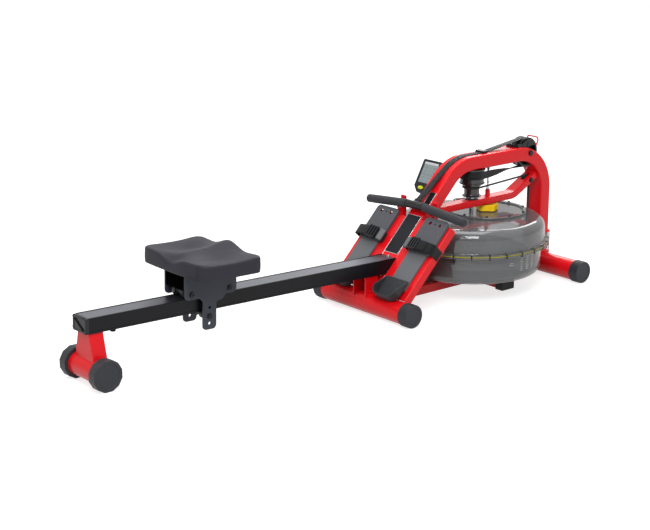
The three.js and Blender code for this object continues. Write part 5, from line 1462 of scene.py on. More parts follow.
@dataclass
class Footboards(Assembly):
    """The folded boards beside the diagonal, with toe boards, sliding heel cups and straps."""

    inner: float = 38.4 * MM
    outer: float = 190 * MM
    foot: float = -328 * MM
    top: float = -21 * MM
    sheet: float = 3 * MM
    flange: float = 30 * MM
    toe_inner: float = 70 * MM
    toe_outer: float = 180 * MM
    toe_foot: float = -150 * MM
    toe_top: float = -8 * MM
    toe_low: float = 25.7 * MM
    toe_under: float = 34.3 * MM
    toe_high: float = 38.3 * MM
    toe_holes: tuple[Point, ...] = ((-24 * MM, 6.5 * MM), (0, 3 * MM), (24 * MM, 6.5 * MM))
    tongue_inner: float = 80 * MM
    tongue_outer: float = 168 * MM
    tongue_foot: float = -295 * MM
    tongue_top: float = -70 * MM
    tongue_low: float = 26 * MM
    tongue_high: float = 33.7 * MM
    cup_inner: float = 64 * MM
    cup_outer: float = 172 * MM
    cup_foot: float = -350 * MM
    cup_top: float = -262 * MM
    cup_low: float = 39.7 * MM
    cup_height: float = 34 * MM
    cup_corner: float = 32 * MM
    cup_wall: float = 5 * MM
    strap_at: float = -127 * MM
    strap_half: float = 19 * MM
    strap_thick: float = 2.5 * MM
    hook_at: float = 80 * MM

    def board(self, sign: int) -> BMesh:
        """Makes one folded board with its hook, cut round the cross tube."""
        fold, y1, w1 = 4 * MM, self.outer, TUBE_FACE
        outline = [(self.inner, w1 - self.sheet), (y1 - self.sheet, w1 - self.sheet),
                   (y1 - self.sheet, w1 - self.flange), (y1, w1 - self.flange),
                   *arc((y1 - fold, w1 - fold), fold, 0, QUARTER, 5), (self.inner, w1)]
        bm = moved(slab(outline, Plane.YZ, self.foot, self.top, edge=CRISP, steps=1), self.layout.incline)
        at = self.layout.mid_foot
        tube = rod((at.x, 0, at.z), (at.x, self.outer * 2, at.z), Feet.radius + HAIR)
        return on_side(joined([carved(bm, [tube]), self.hook()]), sign)

    def hook(self) -> BMesh:
        """Makes the bent hook that the handle rests on."""
        rest, half, wide, thick = self.layout.handle, 12.5 * MM, 11 * MM, 4 * MM
        back, lip, tip = rest.x + GRIP + 1 * MM, rest.x - 4 * MM, rest.z + 20 * MM
        front = back + 5 * MM
        drop = (self.hook_at + half - 40 * MM) * math.tan(GRIP_DROOP)
        shelf = rest.z - drop - GRIP / math.cos(GRIP_DROOP) - HAIR
        foot = self.layout.on_incline(self.top - wide, TUBE_FACE - self.sheet / 2)
        low = self.layout.on_incline(self.top - wide, TUBE_FACE - 2 * wide)
        neck = self.layout.on_incline(self.top + wide, TUBE_FACE - self.sheet)
        outline = [(foot.x, foot.z), (low.x, low.z), (front, low.z + wide), (front, tip), (back, tip),
                   (back, shelf), (lip, shelf), (lip, shelf - thick), (neck.x, shelf - thick),
                   (neck.x, neck.z)]
        return slab(outline, Plane.XZ, self.hook_at - half, self.hook_at + half, edge=0.7 * MM,
                    corner=1.6 * MM, corner_steps=3, only=[3, 4, 6, 7])

    def toe_board(self, sign: int) -> BMesh:
        """Makes the moulded toe board with its channel, holes and sunk field."""
        outline = rectangle(self.toe_foot, self.toe_inner, self.toe_top, self.toe_outer)
        bm = slab(outline, Plane.XY, self.toe_low, self.toe_high, corner=14 * MM, edge=2 * MM, steps=3)
        panel(bm, UP, 4 * MM, -0.8 * MM)
        channel = block((self.toe_foot - 60 * MM, self.tongue_inner - 1 * MM, -TUBE_FACE),
                        (self.toe_top + 60 * MM, self.tongue_outer + 1 * MM, self.toe_under), 0)
        x, middle = self.toe_top - 21 * MM, (self.toe_inner + self.toe_outer) / 2
        low, high = self.toe_under - 3 * MM, self.toe_high + 5 * MM
        holes = [rod((x, middle + y, low), (x, middle + y, high), radius, sides=FEW)
                 for y, radius in self.toe_holes]
        return on_side(moved(carved(bm, [channel, *holes]), self.layout.incline), sign)

    def tongue(self, sign: int) -> BMesh:
        """Makes the sliding board under the toe board, with the step that the heel cup stands on."""
        outline = rectangle(self.tongue_foot, self.tongue_inner, self.tongue_top, self.tongue_outer)
        bm = slab(outline, Plane.XY, self.tongue_low, self.tongue_high, corner=4 * MM, edge=SOFT)
        joint = block((self.tongue_foot, self.tongue_inner + 2 * MM, 30 * MM),
                      (self.cup_top, self.tongue_outer - 2 * MM, self.cup_low + 2 * MM), SOFT)
        return on_side(moved(joined([bm, joint]), self.layout.incline), sign)

    def cup(self, sign: int) -> BMesh:
        """Makes the heel cup: a floor with a wall round the heel that slopes down to the front."""
        low, high, wall, heel = self.cup_low, self.cup_low + self.cup_height, self.cup_wall, [0, 3]
        floor, reach, spare = low + 4 * MM, self.cup_top + self.cup_corner, 60 * MM
        outline = rectangle(self.cup_foot, self.cup_inner, reach, self.cup_outer)
        bm = slab(outline, Plane.XY, low, high, corner=self.cup_corner, corner_steps=10, only=heel)
        inner = rectangle(self.cup_foot + wall, self.cup_inner + wall, reach + spare, self.cup_outer - wall)
        hollow = slab(inner, Plane.XY, floor, high + spare, corner=self.cup_corner - wall, corner_steps=10,
                      only=heel)
        start, end = self.cup_foot + self.cup_corner, self.cup_top
        ramp = [(start, high), (end, floor), (end, low - spare), (reach + spare, low - spare),
                (reach + spare, high + spare), (start, high + spare)]
        bm = carved(bm, [hollow, slab(ramp, Plane.XZ, 0, 2 * self.outer)])
        bmesh.ops.dissolve_limit(bm, angle_limit=math.radians(1), verts=bm.verts[:], edges=bm.edges[:])
        return on_side(moved(soften(bm, 1.2 * MM, 2), self.layout.incline), sign)

    def strap_points(self) -> list[Vector]:
        """Returns the strap's middle line, from inside the toe board over to outside the folded board."""
        inner = self.toe_inner - 3 * MM - self.strap_thick / 2
        outer = self.outer + HAIR + self.strap_thick / 2
        top, shoulder, middle = self.toe_high + 20 * MM, self.toe_high + 10 * MM, (inner + outer) / 2
        across = [(inner, self.toe_low), (inner + 1 * MM, shoulder), ((inner + middle) / 2, top - 2.5 * MM),
                  (middle, top), ((middle + outer) / 2, top - 2.5 * MM), (outer, shoulder),
                  (outer, TUBE_FACE - 5 * MM), (outer, TUBE_FACE - 24 * MM)]
        return smooth_path([(self.strap_at, y, w) for y, w in across], 9)

    def strap(self, sign: int) -> BMesh:
        """Makes the strap as one band of webbing, with a sewn-down tail."""
        places, thick = stations_on(self.strap_points(), AHEAD), self.strap_thick
        band = swept(rounded_section(2 * self.strap_half, thick, 0.9 * MM, 2), places)
        tail = [place @ Matrix.Translation((0, -thick * sign_of(place), 0)) for place in places[24:38]]
        over = swept(rounded_section(2 * self.strap_half - 1 * MM, thick, 0.9 * MM, 2), tail)
        return on_side(moved(joined([band, over]), self.layout.incline), sign)

    def buckle(self, sign: int) -> BMesh:
        """Makes the moulded buckle on the strap: a plate with three slots across."""
        place = stations_on(self.strap_points(), AHEAD)[21]
        half_wide, half_long, thick = self.strap_half + 4 * MM, 20 * MM, 7 * MM
        plate = block((-half_wide, -1 * MM, -half_long), (half_wide, thick, half_long), 1.6 * MM, 3)
        slots = [block((-self.strap_half, -thick, z), (self.strap_half, 2 * thick, z + 6 * MM), 0)
                 for z in (-15 * MM, -3 * MM, 9 * MM)]
        bm = moved(carved(plate, slots), place @ Matrix.Scale(-sign_of(place), 4, LEFT))
        return on_side(moved(bm, self.layout.incline), sign)

    def strap_pad(self, sign: int) -> BMesh:
        """Makes the pale rounded sleeve that the strap passes through at its inner end."""
        place = stations_on(self.strap_points(), AHEAD)[10]
        half, reach, thick = self.strap_half + 3 * MM, 11 * MM, 6 * MM
        bm = block((-half, -thick, -reach), (half, thick, reach), 5 * MM, 4)
        return on_side(moved(moved(bm, place), self.layout.incline), sign)

    def build(self) -> None:
        """Makes and dresses both footboards."""
        for side, sign in SIDES:
            heel = f"heel_{side}"
            piece(f"folded_board_{side}", self.board(sign), Finishes.red, replaces=[f"footboard_{side}"])
            piece(f"toe_plate_{side}", self.toe_board(sign), Finishes.toe, replaces=[f"toe_board_{side}"])
            tongue = piece(f"sliding_board_{side}", self.tongue(sign), Finishes.tongue, body=heel)
            piece(f"heel_cup_{side}", self.cup(sign), Finishes.cup, body=heel,
                  replaces=[f"heel_slider_{side}"])
            piece(f"toe_strap_{side}", self.strap(sign), Finishes.webbing, replaces=[f"foot_strap_{side}"],
                  hard=False)
            piece(f"strap_buckle_{side}", self.buckle(sign), Finishes.plastic)
            piece(f"strap_sleeve_{side}", self.strap_pad(sign), Finishes.tongue)


def sign_of(place: Matrix) -> float:
    """Returns whether a station's own Y points into the board (1) or out of it (-1)."""
    return 1.0 if (place.to_3x3() @ LEFT).z < 0 else -1.0


# Tank, paddle and drum


def spun(bm: BMesh, count: int, first: float = 0.0) -> BMesh:
    """Repeats a mesh evenly round the upright axis, and uses it up.

    Args:
        bm: The mesh, on the X side of the axis.
        count: How many there are.
        first: The angle of the first.

    Returns:
        The ring of meshes.
    """
    ring = [moved(bm.copy(), Matrix.Rotation(first + 2 * math.pi * i / count, 4, "Z")) for i in range(count)]
    bm.free()
    return joined(ring)


@dataclass
class Tank(Assembly):
    """The smoked water tank: two shells and their seal, lid with knob, plug, baffle and paddle."""

    foot: float = 73 * MM
    floor: float = 5 * MM
    wall: float = 4 * MM
    lower_radius: float = 256 * MM
    foot_corner: float = 22 * MM
    flange: float = 285 * MM
    flange_thick: float = 5 * MM
    seal_level: float = 183 * MM
    seal_half: float = 1.7 * MM
    seal_inner: float = 262 * MM
    seal_outer: float = 279.4 * MM
    upper_radius: float = 270 * MM
    shoulder_radius: float = 268 * MM
    shoulder: float = 36 * MM
    top: float = 270 * MM
    boss: float = 16 * MM
    boss_height: float = 14 * MM
    lid_ring: float = 14 * MM
    lid_height: float = 8 * MM
    lid_thick: float = 3 * MM
    knob: float = 38 * MM
    lobe: float = 3.5 * MM
    lobes: int = 5
    first_lobe: float = math.radians(44)
    knob_height: float = 23 * MM
    neck: float = 16 * MM
    neck_height: float = 1.5 * MM
    plug: float = 27 * MM
    plug_height: float = 8 * MM
    baffle: float = 217 * MM
    baffle_high: float = 62 * MM
    fin_reach: float = 55 * MM
    fins: int = 6
    impeller: float = 140 * MM
    hub: float = 22 * MM
    paddle_low: float = 96 * MM
    paddle_high: float = 146 * MM
    blade: float = 4 * MM
    clamps: int = 28
    towards_rower: float = math.radians(224)
    seam_angles: Point = (-0.55, 0.57, 1.9)
    mark_columns: tuple[Point, ...] = ((0.80, 9 * MM), (0.92, 12 * MM), (1.04, 9 * MM))
    mark_rows: int = 9
    mark_pitch: float = 6.5 * MM

    @property
    def lid_radius(self) -> float:
        """The lid's radius, which its box gives."""
        low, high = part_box("tank_lid")
        return (high[1] - low[1]) / 2

    def centred(self, bm: BMesh) -> BMesh:
        """Moves a mesh made round the origin to the tank's middle line."""
        return shifted(bm, self.layout.tank.x, 0, 0)

    def on_lid(self, bm: BMesh) -> BMesh:
        """Moves a mesh made round the origin to the lid's middle line."""
        return shifted(bm, self.layout.lid.x, 0, 0)

    @property
    def shoulder_centre(self) -> tuple[float, float]:
        """The middle of the upper shell's round shoulder, as radius and height."""
        return self.shoulder_radius - self.shoulder, self.top - self.shoulder

    def bowl(self) -> BMesh:
        """Makes the lower shell with its flange, its foot and the boss that the shaft turns in."""
        r, corner, low, floor = self.lower_radius, self.foot_corner, self.foot, self.foot + self.floor
        top, step, edge = self.seal_level - self.seal_half - HAIR, low + corner, 1 * MM
        inner, inner_corner, under = r - self.wall, corner - self.wall, top - self.flange_thick
        profile = [(0, low + 2 * MM), (r - 60 * MM, low + 2 * MM), (r - 56 * MM, low),
                   *arc((r - corner, step), corner, -QUARTER, 0, 10),
                   (r + 1.2 * MM, step + 2 * MM), (r + 1.2 * MM, step + 5 * MM), (r, step + 7 * MM),
                   *arc((r + 4 * MM, under - 4 * MM), 4 * MM, 2 * QUARTER, QUARTER, 4),
                   (self.flange - edge, under), (self.flange, under + edge), (self.flange, top - edge),
                   (self.flange - edge, top), (inner, top),
                   *arc((inner - inner_corner, floor + inner_corner), inner_corner, 0, -QUARTER, 8),
                   (self.boss + 3 * MM, floor), (self.boss, floor + 3 * MM),
                   (self.boss, floor + self.boss_height), (0, floor + self.boss_height)]
        return self.centred(turned(profile, sides=MOST))

    def upper(self) -> BMesh:
        """Makes the upper shell: flange, slightly leaning wall, round shoulder and flat top."""
        low = self.seal_level + self.seal_half + HAIR
        high, hole, edge = low + self.flange_thick, SHAFT + 1 * MM, 1 * MM
        profile = [(hole, self.top - self.wall),
                   *arc(self.shoulder_centre, self.shoulder - self.wall, QUARTER, 0, 10),
                   (self.upper_radius - self.wall, high), (self.seal_inner, low), (self.flange - edge, low),
                   (self.flange, low + edge), (self.flange, high - edge), (self.flange - edge, high),
                   *arc((self.upper_radius + 4 * MM, high + 4 * MM), 4 * MM, -QUARTER, -2 * QUARTER, 4),
                   *arc(self.shoulder_centre, self.shoulder, 0, QUARTER, 14), (hole, self.top)]
        return self.centred(turned(profile, sides=MOST))

    def seal(self) -> BMesh:
        """Makes the seal, whose round outer edge shows between the flanges."""
        half = self.seal_half
        profile = [(self.seal_inner, -half), (self.seal_outer, -half),
                   *arc((self.seal_outer + 1.4 * MM, 0), half, -QUARTER * 0.8, QUARTER * 0.8, 5),
                   (self.seal_outer, half), (self.seal_inner, half)]
        return self.centred(shifted(turned(profile, sides=MOST), 0, 0, self.seal_level))

    def clamp_ring(self) -> BMesh:
        """Makes the thin spring clamps that hold the two flanges together."""
        reach = self.seal_half + HAIR + self.flange_thick
        inner, outer, thick = self.flange - 13 * MM, self.flange + 1.8 * MM, 1.4 * MM
        face, over = self.flange + HAIR, reach + thick + HAIR
        outline = [(inner, -over), (outer, -over), (outer, over), (inner, over), (inner, reach + HAIR),
                   (face, reach + HAIR), (face, -reach - HAIR), (inner, -reach - HAIR)]
        bm = slab(outline, Plane.XZ, -2.2 * MM, 2.2 * MM, edge=0.4 * MM)
        return self.centred(shifted(spun(bm, self.clamps, math.radians(7)), 0, 0, self.seal_level))

    def seams(self) -> BMesh:
        """Makes the thin raised lines that the mould's halves left down the upper shell."""
        low = self.seal_level + self.seal_half + self.flange_thick + 3 * MM
        end = self.lid_radius + self.layout.lid.x - self.layout.tank.x + 4 * MM - 60 * MM
        line = [(self.upper_radius - 0.2 * MM, low),
                *arc(self.shoulder_centre, self.shoulder, 0, QUARTER, 14), (end, self.top)]
        places = stations_on([Vector((x, 0, z)) for x, z in line], LEFT)
        bm = swept(rounded_section(1.6 * MM, 0.9 * MM, 0.3 * MM, 2), places)
        turns = [Matrix.Rotation(self.towards_rower + a, 4, "Z") for a in self.seam_angles]
        lines = joined(moved(bm.copy(), turn) for turn in turns)
        bm.free()
        return self.centred(lines)

    def scale(self) -> BMesh:
        """Makes the plain level marks on the lower shell: three columns of ticks and two lines."""
        marks, top = [], self.seal_level - 16 * MM
        for column, wide in self.mark_columns:
            for row in range(self.mark_rows):
                z = top - row * self.mark_pitch
                long = wide if row % 3 else wide * 1.5
                marks.append(self.mark(column, long, z - 0.8 * MM, z + 0.8 * MM))
        for z, long in ((self.seal_level - 38 * MM, 16 * MM), (self.seal_level - 45 * MM, 22 * MM)):
            marks.append(self.mark(0.62, long, z, z + 1.5 * MM))
        return self.centred(joined(marks))

    def mark(self, turn: float, long: float, low: float, high: float) -> BMesh:
        """Makes one level mark, at an angle from the side that looks to the rower."""
        reach, thick = self.lower_radius - 0.4 * MM, 0.7 * MM
        bm = block((reach, -long / 2, low), (reach + thick, long / 2, high), 0)
        return moved(bm, Matrix.Rotation(self.towards_rower + turn, 4, "Z"))

    def lid(self) -> BMesh:
        """Makes the lid: a flat disc in a raised ring."""
        r, low = self.lid_radius, self.top + HAIR
        high, inner = low + self.lid_height, r - self.lid_ring
        floor, hole, edge = low + self.lid_thick, self.neck / 4, 0.6 * MM
        profile = [(hole, low), (r - edge, low), (r, low + edge),
                   *arc((r - 2 * MM, high - 2 * MM), 2 * MM, 0, QUARTER, 4),
                   *arc((inner + 1 * MM, high - 1 * MM), 1 * MM, QUARTER, 2 * QUARTER, 3),
                   (inner, floor), (hole, floor)]
        x, z = self.layout.tank.x, self.top
        cut = upright(x, z - 10 * MM, z + 20 * MM, SHAFT + 1 * MM, sides=SOME)
        return carved(self.on_lid(turned(profile, sides=128)), [cut])

    def screws(self) -> BMesh:
        """Makes the dark screws round the lid's ring."""
        r, z = self.lid_radius - self.lid_ring / 2, self.top + HAIR + self.lid_height
        return self.on_lid(spun(LID_SCREW.head((r, 0, z), UP), 10, self.towards_rower))

    def knob_grip(self) -> BMesh:
        """Makes the lobed knob on its neck, with a rounded rim and a hollow in its top."""
        low = self.top + HAIR + self.lid_thick + HAIR
        base, count = low + self.neck_height, self.lobes * 16
        outline = []
        for i in range(count):
            angle = 2 * math.pi * i / count
            wave = math.cos(self.lobes * (angle - self.first_lobe))
            r = self.knob + self.lobe * math.copysign(abs(wave) ** 0.6, wave)
            outline.append((r * math.cos(angle), r * math.sin(angle)))
        grip = slab(outline, Plane.XY, base, base + self.knob_height)
        rims = [e for e in grip.edges if abs(e.verts[0].co.z - e.verts[1].co.z) < TINY]
        soften(grip, 2.4 * MM, 4, rims)
        grip.normal_update()
        panel(grip, UP, 9 * MM, -1.5 * MM, 2 * MM)
        neck = rod((0, 0, low), (0, 0, base + self.knob_height / 2), self.neck, edge=CRISP)
        return self.on_lid(joined([grip, neck]))

    def knob_cap(self) -> BMesh:
        """Makes the dark cap over the knob's screw."""
        z = self.top + HAIR + self.lid_thick + HAIR + self.neck_height + self.knob_height
        profile = [(0, z - 3 * MM), (9 * MM, z - 3 * MM), (9 * MM, z - 0.5 * MM), (8 * MM, z + 1 * MM),
                   (5 * MM, z + 2 * MM), (0, z + 2.4 * MM)]
        return self.on_lid(turned(profile, sides=40))

    def plug_disc(self) -> BMesh:
        """Makes the fill plug with a finger bar across it."""
        low, r = self.top + HAIR, self.plug
        high = low + self.plug_height * 0.55
        profile = [(0, low), (r, low), *arc((r - 2 * MM, high - 2 * MM), 2 * MM, 0, QUARTER, 4), (0, high)]
        bar = block((-r + 6 * MM, -3 * MM, low), (r - 6 * MM, 3 * MM, low + self.plug_height), 1.5 * MM, 3)
        return shifted(joined([turned(profile), bar]), self.layout.plug.x, self.layout.plug.y, 0)

    def baffle_ring(self) -> BMesh:
        """Makes the fixed ring with its fins that steers the water."""
        low, wall, r = self.foot + self.floor + HAIR, self.wall, self.baffle
        high = low + self.baffle_high
        ring = turned(rectangle(r - wall, low, r, high), sides=MANY)
        fin = block((r - self.fin_reach, -wall / 2, low), (r - wall / 2, wall / 2, high), EDGE)
        return self.centred(joined([soften(ring, EDGE), spun(fin, self.fins, math.pi / self.fins)]))

    def paddle(self) -> BMesh:
        """Makes the paddle wheel: a hub and six flat blades."""
        low, high, half = self.paddle_low, self.paddle_high, self.blade / 2
        hub = turned(rectangle(SHAFT + HAIR, low, self.hub, high))
        blade = block((self.hub - 4 * MM, -half, low), (self.impeller, half, high), 1.2 * MM)
        return self.centred(joined([soften(hub, SOFT), spun(blade, 6)]))

    def build(self) -> None:
        """Makes and dresses the tank."""
        piece("tank_lower_shell", self.bowl(), Finishes.smoke, replaces=["tank_lower"], hard=False)
        piece("tank_upper_shell", self.upper(), Finishes.smoke, replaces=["tank_upper"], hard=False)
        piece("flange_seal", self.seal(), Finishes.seal, replaces=["seal_ring"], hard=False)
        piece("flange_clamps", self.clamp_ring(), Finishes.oxide)
        piece("shell_seams", self.seams(), Finishes.smoke)
        piece("level_marks", self.scale(), Finishes.pale)
        piece("tank_cover", self.lid(), Finishes.lid, replaces=["tank_lid"])
        piece("cover_screws", self.screws(), Finishes.oxide)
        piece("star_knob", self.knob_grip(), Finishes.yellow, body="knob", replaces=["tank_knob"])
        piece("star_knob_cap", self.knob_cap(), Finishes.plastic, body="knob")
        piece("filler_plug", self.plug_disc(), Finishes.plastic, replaces=["fill_plug"])
        piece("inner_baffle", self.baffle_ring(), Finishes.tongue, replaces=["tank_baffle"])
        piece("paddle_wheel", self.paddle(), Finishes.toe, body="paddle", replaces=["impeller"])


@dataclass
class Drum(Assembly):
    """The drum on the paddle's shaft, its bearing housing under the arch, and the guide rod."""

    low: float = 338.3 * MM
    flange: float = 34.5 * MM
    flange_top: float = 343 * MM
    spool: float = 28 * MM
    spool_top: float = 377 * MM
    mid_flange: float = 33 * MM
    mid_top: float = 388 * MM
    rim: float = 46.5 * MM
    top: float = 434 * MM
    bore: float = 8.3 * MM
    housing: float = 48 * MM
    housing_low: float = 435.8 * MM
    housing_high: float = 441.3 * MM
    tab: float = 12 * MM
    shaft_low: float = 92.3 * MM
    collar: float = 13 * MM
    bar_top: float = 327 * MM

    def body(self) -> BMesh:
        """Makes the drum: foot flange, cord spool, middle flange and belt roll."""
        edge, top, spool_top, mid_top = 1 * MM, self.flange_top, self.spool_top, self.mid_top
        profile = [(self.bore, self.low), (self.flange - edge, self.low), (self.flange, self.low + edge),
                   (self.flange, top - 1.5 * MM), (self.flange - 1.5 * MM, top),
                   *arc((self.spool + 5 * MM, top + 5 * MM), 5 * MM, -QUARTER, -2 * QUARTER, 4),
                   *arc((self.spool + 3 * MM, spool_top - 3 * MM), 3 * MM, 2 * QUARTER, QUARTER, 4),
                   (self.mid_flange - edge, spool_top), (self.mid_flange, spool_top + edge),
                   (self.mid_flange, mid_top - 2 * MM), (self.rim - edge, mid_top - 2 * MM),
                   (self.rim, mid_top - edge), (self.rim, mid_top + 2 * MM),
                   (self.rim - edge, mid_top + 3 * MM), (ROLL, mid_top + 3.5 * MM),
                   (ROLL, self.top - edge), (ROLL - edge, self.top), (self.bore, self.top)]
        return shifted(turned(profile, sides=MANY), self.layout.tank.x, 0, 0)

    def bearing(self) -> BMesh:
        """Makes the bearing housing: its plate, the ring under it and the tab that holds the guide rod."""
        x, low, high = self.layout.tank.x, self.housing_low, self.housing_high
        disc = upright(x, low, high, self.housing, SOFT, MANY)
        ring = shifted(turned(rectangle(20 * MM, low - 1.2 * MM, 38 * MM, low + 1 * MM)), x, 0, 0)
        tab = block((x, -self.tab, low), (self.layout.guide_rod.x + self.tab, self.tab, high), SOFT)
        return joined([disc, ring, tab])

    def guide(self) -> BMesh:
        """Makes the rod beside the drum, with a nut at its foot and a collar at its head."""
        x, low = self.layout.guide_rod.x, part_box("guide_rod")[0][2]
        high, nut = self.housing_low - HAIR, ROD_NUT.head((x, 0, low), UP)
        collar = upright(x, self.housing_low - 9 * MM, high, 6 * MM, EDGE, FEW)
        return joined([nut, upright(x, low, high, 4 * MM, sides=FEW), collar])

    def axle(self) -> BMesh:
        """Makes the upright shaft from the tank's floor to the arch, with its collar on the bar."""
        x = self.layout.tank.x
        bar = upright(x, self.shaft_low, self.housing_low - HAIR, SHAFT, 0.6 * MM, SOME)
        collar = upright(x, self.bar_top + HAIR, self.low - HAIR, self.collar, SOFT, SOME)
        return joined([bar, collar])

    def washer(self) -> BMesh:
        """Makes the flat black flange bearing that the shaft passes through on the bar."""
        z = self.bar_top
        profile = [(self.collar + 1 * MM, z - 0.2 * MM), (24 * MM, z - 0.2 * MM), (24 * MM, z + 1.4 * MM),
                   (22 * MM, z + 2.4 * MM), (self.collar + 1 * MM, z + 2.4 * MM)]
        return shifted(turned(profile), self.layout.tank.x, 0, 0)

    def build(self) -> None:
        """Makes and dresses the drum."""
        piece("belt_and_cord_drum", self.body(), Finishes.gloss, body="drum", replaces=["drum_spool"])
        piece("bearing_housing", self.bearing(), Finishes.gloss, replaces=["drum_bracket"])
        piece("steel_guide_rod", self.guide(), Finishes.steel, replaces=["guide_rod"])
        piece("paddle_shaft", self.axle(), Finishes.steel, body="paddle", replaces=["impeller_shaft"])
        piece("bar_bearing", self.washer(), Finishes.plastic)


# Belt and cord


@dataclass
class BeltDrive(Assembly):
    """The belt from the handle over the arch and its pulley to the drum, with guard and guide."""

    width: float = 28 * MM
    thickness: float = 2.5 * MM
    pulley: float = 55 * MM
    tread: float = 51.7 * MM
    pulley_half: float = 20 * MM
    hole: float = 9 * MM
    hole_reach: float = 31 * MM
    rim: float = 3 * MM
    clip_reach: float = 25.3 * MM
    roll_level: float = 419.7 * MM
    guard: float = 47 * MM
    guard_low: float = 492.7 * MM
    guard_high: float = 504.4 * MM
    cheek_inner: float = 23.3 * MM
    cheek: float = 4 * MM
    guide_half: float = 12 * MM
    steps: int = 24

    @property
    def guide_x(self) -> float:
        """Where the belt guide stands on the arch."""
        return Layout.middle("belt_guide").x

    def flat_run(self) -> list[tuple[float, float]]:
        """Returns the belt's middle line from the handle over the arch and round its pulley."""
        lift = HAIR + self.thickness / 2
        angle = self.layout.incline_angle
        rise = ARCH_LEVEL - self.layout.incline.translation.z
        corner = self.layout.incline.translation.x + rise / math.tan(angle)
        x, z = corner + ARCH_BEND * math.tan(angle / 2), ARCH_LEVEL - ARCH_BEND
        r = ARCH_BEND + TUBE_FACE + lift
        start = self.layout.handle + self.layout.incline.to_3x3() @ Vector((self.clip_reach, 0, 0))
        distance, bearing = math.hypot(start.x - x, start.z - z), math.atan2(start.z - z, start.x - x)
        leave = bearing - math.acos(r / distance)
        touch = (x + r * math.cos(leave), z + r * math.sin(leave))
        line = [(start.x + (touch[0] - start.x) * i / 12, start.z + (touch[1] - start.z) * i / 12)
                for i in range(12)]
        line += arc((x, z), r, leave, QUARTER, self.steps)
        flat, turn = z + r, self.tread + HAIR + self.thickness / 2
        end, at = self.guide_x + self.guide_half, self.layout.pulley
        climb = math.atan2(at.z - flat, at.x - end) + math.asin(turn / math.hypot(at.z - flat, at.x - end))
        line += [(end * 0.5 + x * 0.5, flat), (end, flat)]
        reach, rise = self.layout.tank.x + ROLL - at.x, self.roll_level - at.z
        last = math.atan2(rise, reach) + math.acos(turn / math.hypot(reach, rise))
        return [*line, *arc((at.x, at.z), turn, QUARTER + climb, last, 2 * self.steps)]

    def stations(self) -> list[Matrix]:
        """Returns the stations along the whole belt, with its quarter turn on the way to the drum."""
        line = [(Vector((x, 0, z)), LEFT) for x, z in self.flat_run()]
        steps, tank = 2 * self.steps, self.layout.tank.x
        roll = ROLL + HAIR + self.thickness / 2
        touch = -math.acos(roll / (self.layout.pulley.x - tank))
        end = Vector((tank + roll * math.cos(touch), roll * math.sin(touch), self.roll_level))
        start, side = line[-1][0], Vector((math.cos(touch), math.sin(touch), 0))
        way = (end - start).normalized()
        for i in range(1, steps + 1):
            share = i / steps
            turn = (3 * share ** 2 - 2 * share ** 3) * QUARTER
            out = side * math.sin(turn) - Vector((0, 0, math.cos(turn)))
            line.append((start.lerp(end, share), out.cross(way).normalized()))
        for i in range(1, steps + 1):
            angle = touch - math.pi * i / steps
            out = Vector((math.cos(angle), math.sin(angle), 0))
            line.append((Vector((tank, 0, self.roll_level)) + out * roll, -UP))
        places = []
        for i, (at, across) in enumerate(line):
            ahead = line[min(i + 1, len(line) - 1)][0] - line[max(i - 1, 0)][0]
            places.append(station(at, ahead, across))
        return places

    def pulley_wheel(self) -> BMesh:
        """Makes the belt pulley: flanged rim, thin web with round holes, and hub."""
        half, web, hub = self.pulley_half, 5 * MM, 15 * MM
        inner = self.tread - 5 * MM
        right = [(6.3 * MM, half), (hub, half), (hub, web), (inner, web), (inner, half), (self.pulley, half),
                 (self.pulley, half - self.rim), (self.tread, half - self.rim - 1 * MM)]
        profile = doubled(right, (1, -1))
        bm = soften(turned(profile, sides=MANY), 0.6 * MM)
        middles = arc((0, 0), self.hole_reach, 0, 5 * math.pi / 3, 5)
        bm = carved(bm, [rod((x, y, -half), (x, y, half), self.hole, sides=FEW) for x, y in middles])
        at = self.layout.pulley
        return moved(bm, Matrix.Translation((at.x, 0, at.z)) @ Matrix.Rotation(-QUARTER, 4, "X"))

    def guard_cheeks(self) -> BMesh:
        """Makes the guard: two cheeks beside the pulley, their hubs, and the bridge behind the pulley."""
        at, inner, outer = self.layout.pulley, self.cheek_inner, self.cheek_inner + self.cheek
        low, high, bridge, lift = self.guard_low, self.guard_high, 6 * MM, 30 * MM
        rear = at.x - self.pulley - 3 * MM - bridge
        parts = [block((rear, -outer, low), (rear + bridge, outer, high), 1.2 * MM)]
        level = math.asin((low - at.z) / self.guard)
        dome = arc((at.x, at.z), self.guard, level, math.pi - level, 28)
        shape = [*dome[:-1], (at.x - 25 * MM, high), (rear, high), (rear, low)]
        for _, sign in SIDES:
            parts.append(slab(shape, Plane.XZ, *span(sign, inner, outer), edge=1.2 * MM))
            parts.append(rod((at.x, sign * inner, at.z + lift), (at.x, sign * (outer + 2 * MM), at.z + lift),
                             7 * MM, edge=EDGE, sides=FEW))
        return joined(parts)

    def guide_block(self) -> BMesh:
        """Makes the low bridge that the belt runs through on the arch."""
        (_, _, low), (_, half, high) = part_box("belt_guide")
        x, slot = self.guide_x, 15 * MM
        bm = block((x - self.guide_half, -half, low), (x + self.guide_half, half, high), 1.8 * MM, 3)
        tunnel = block((x - 1, -slot, low - 1), (x + 1, slot, low + self.thickness + 2 * HAIR), 0)
        return carved(bm, [tunnel])

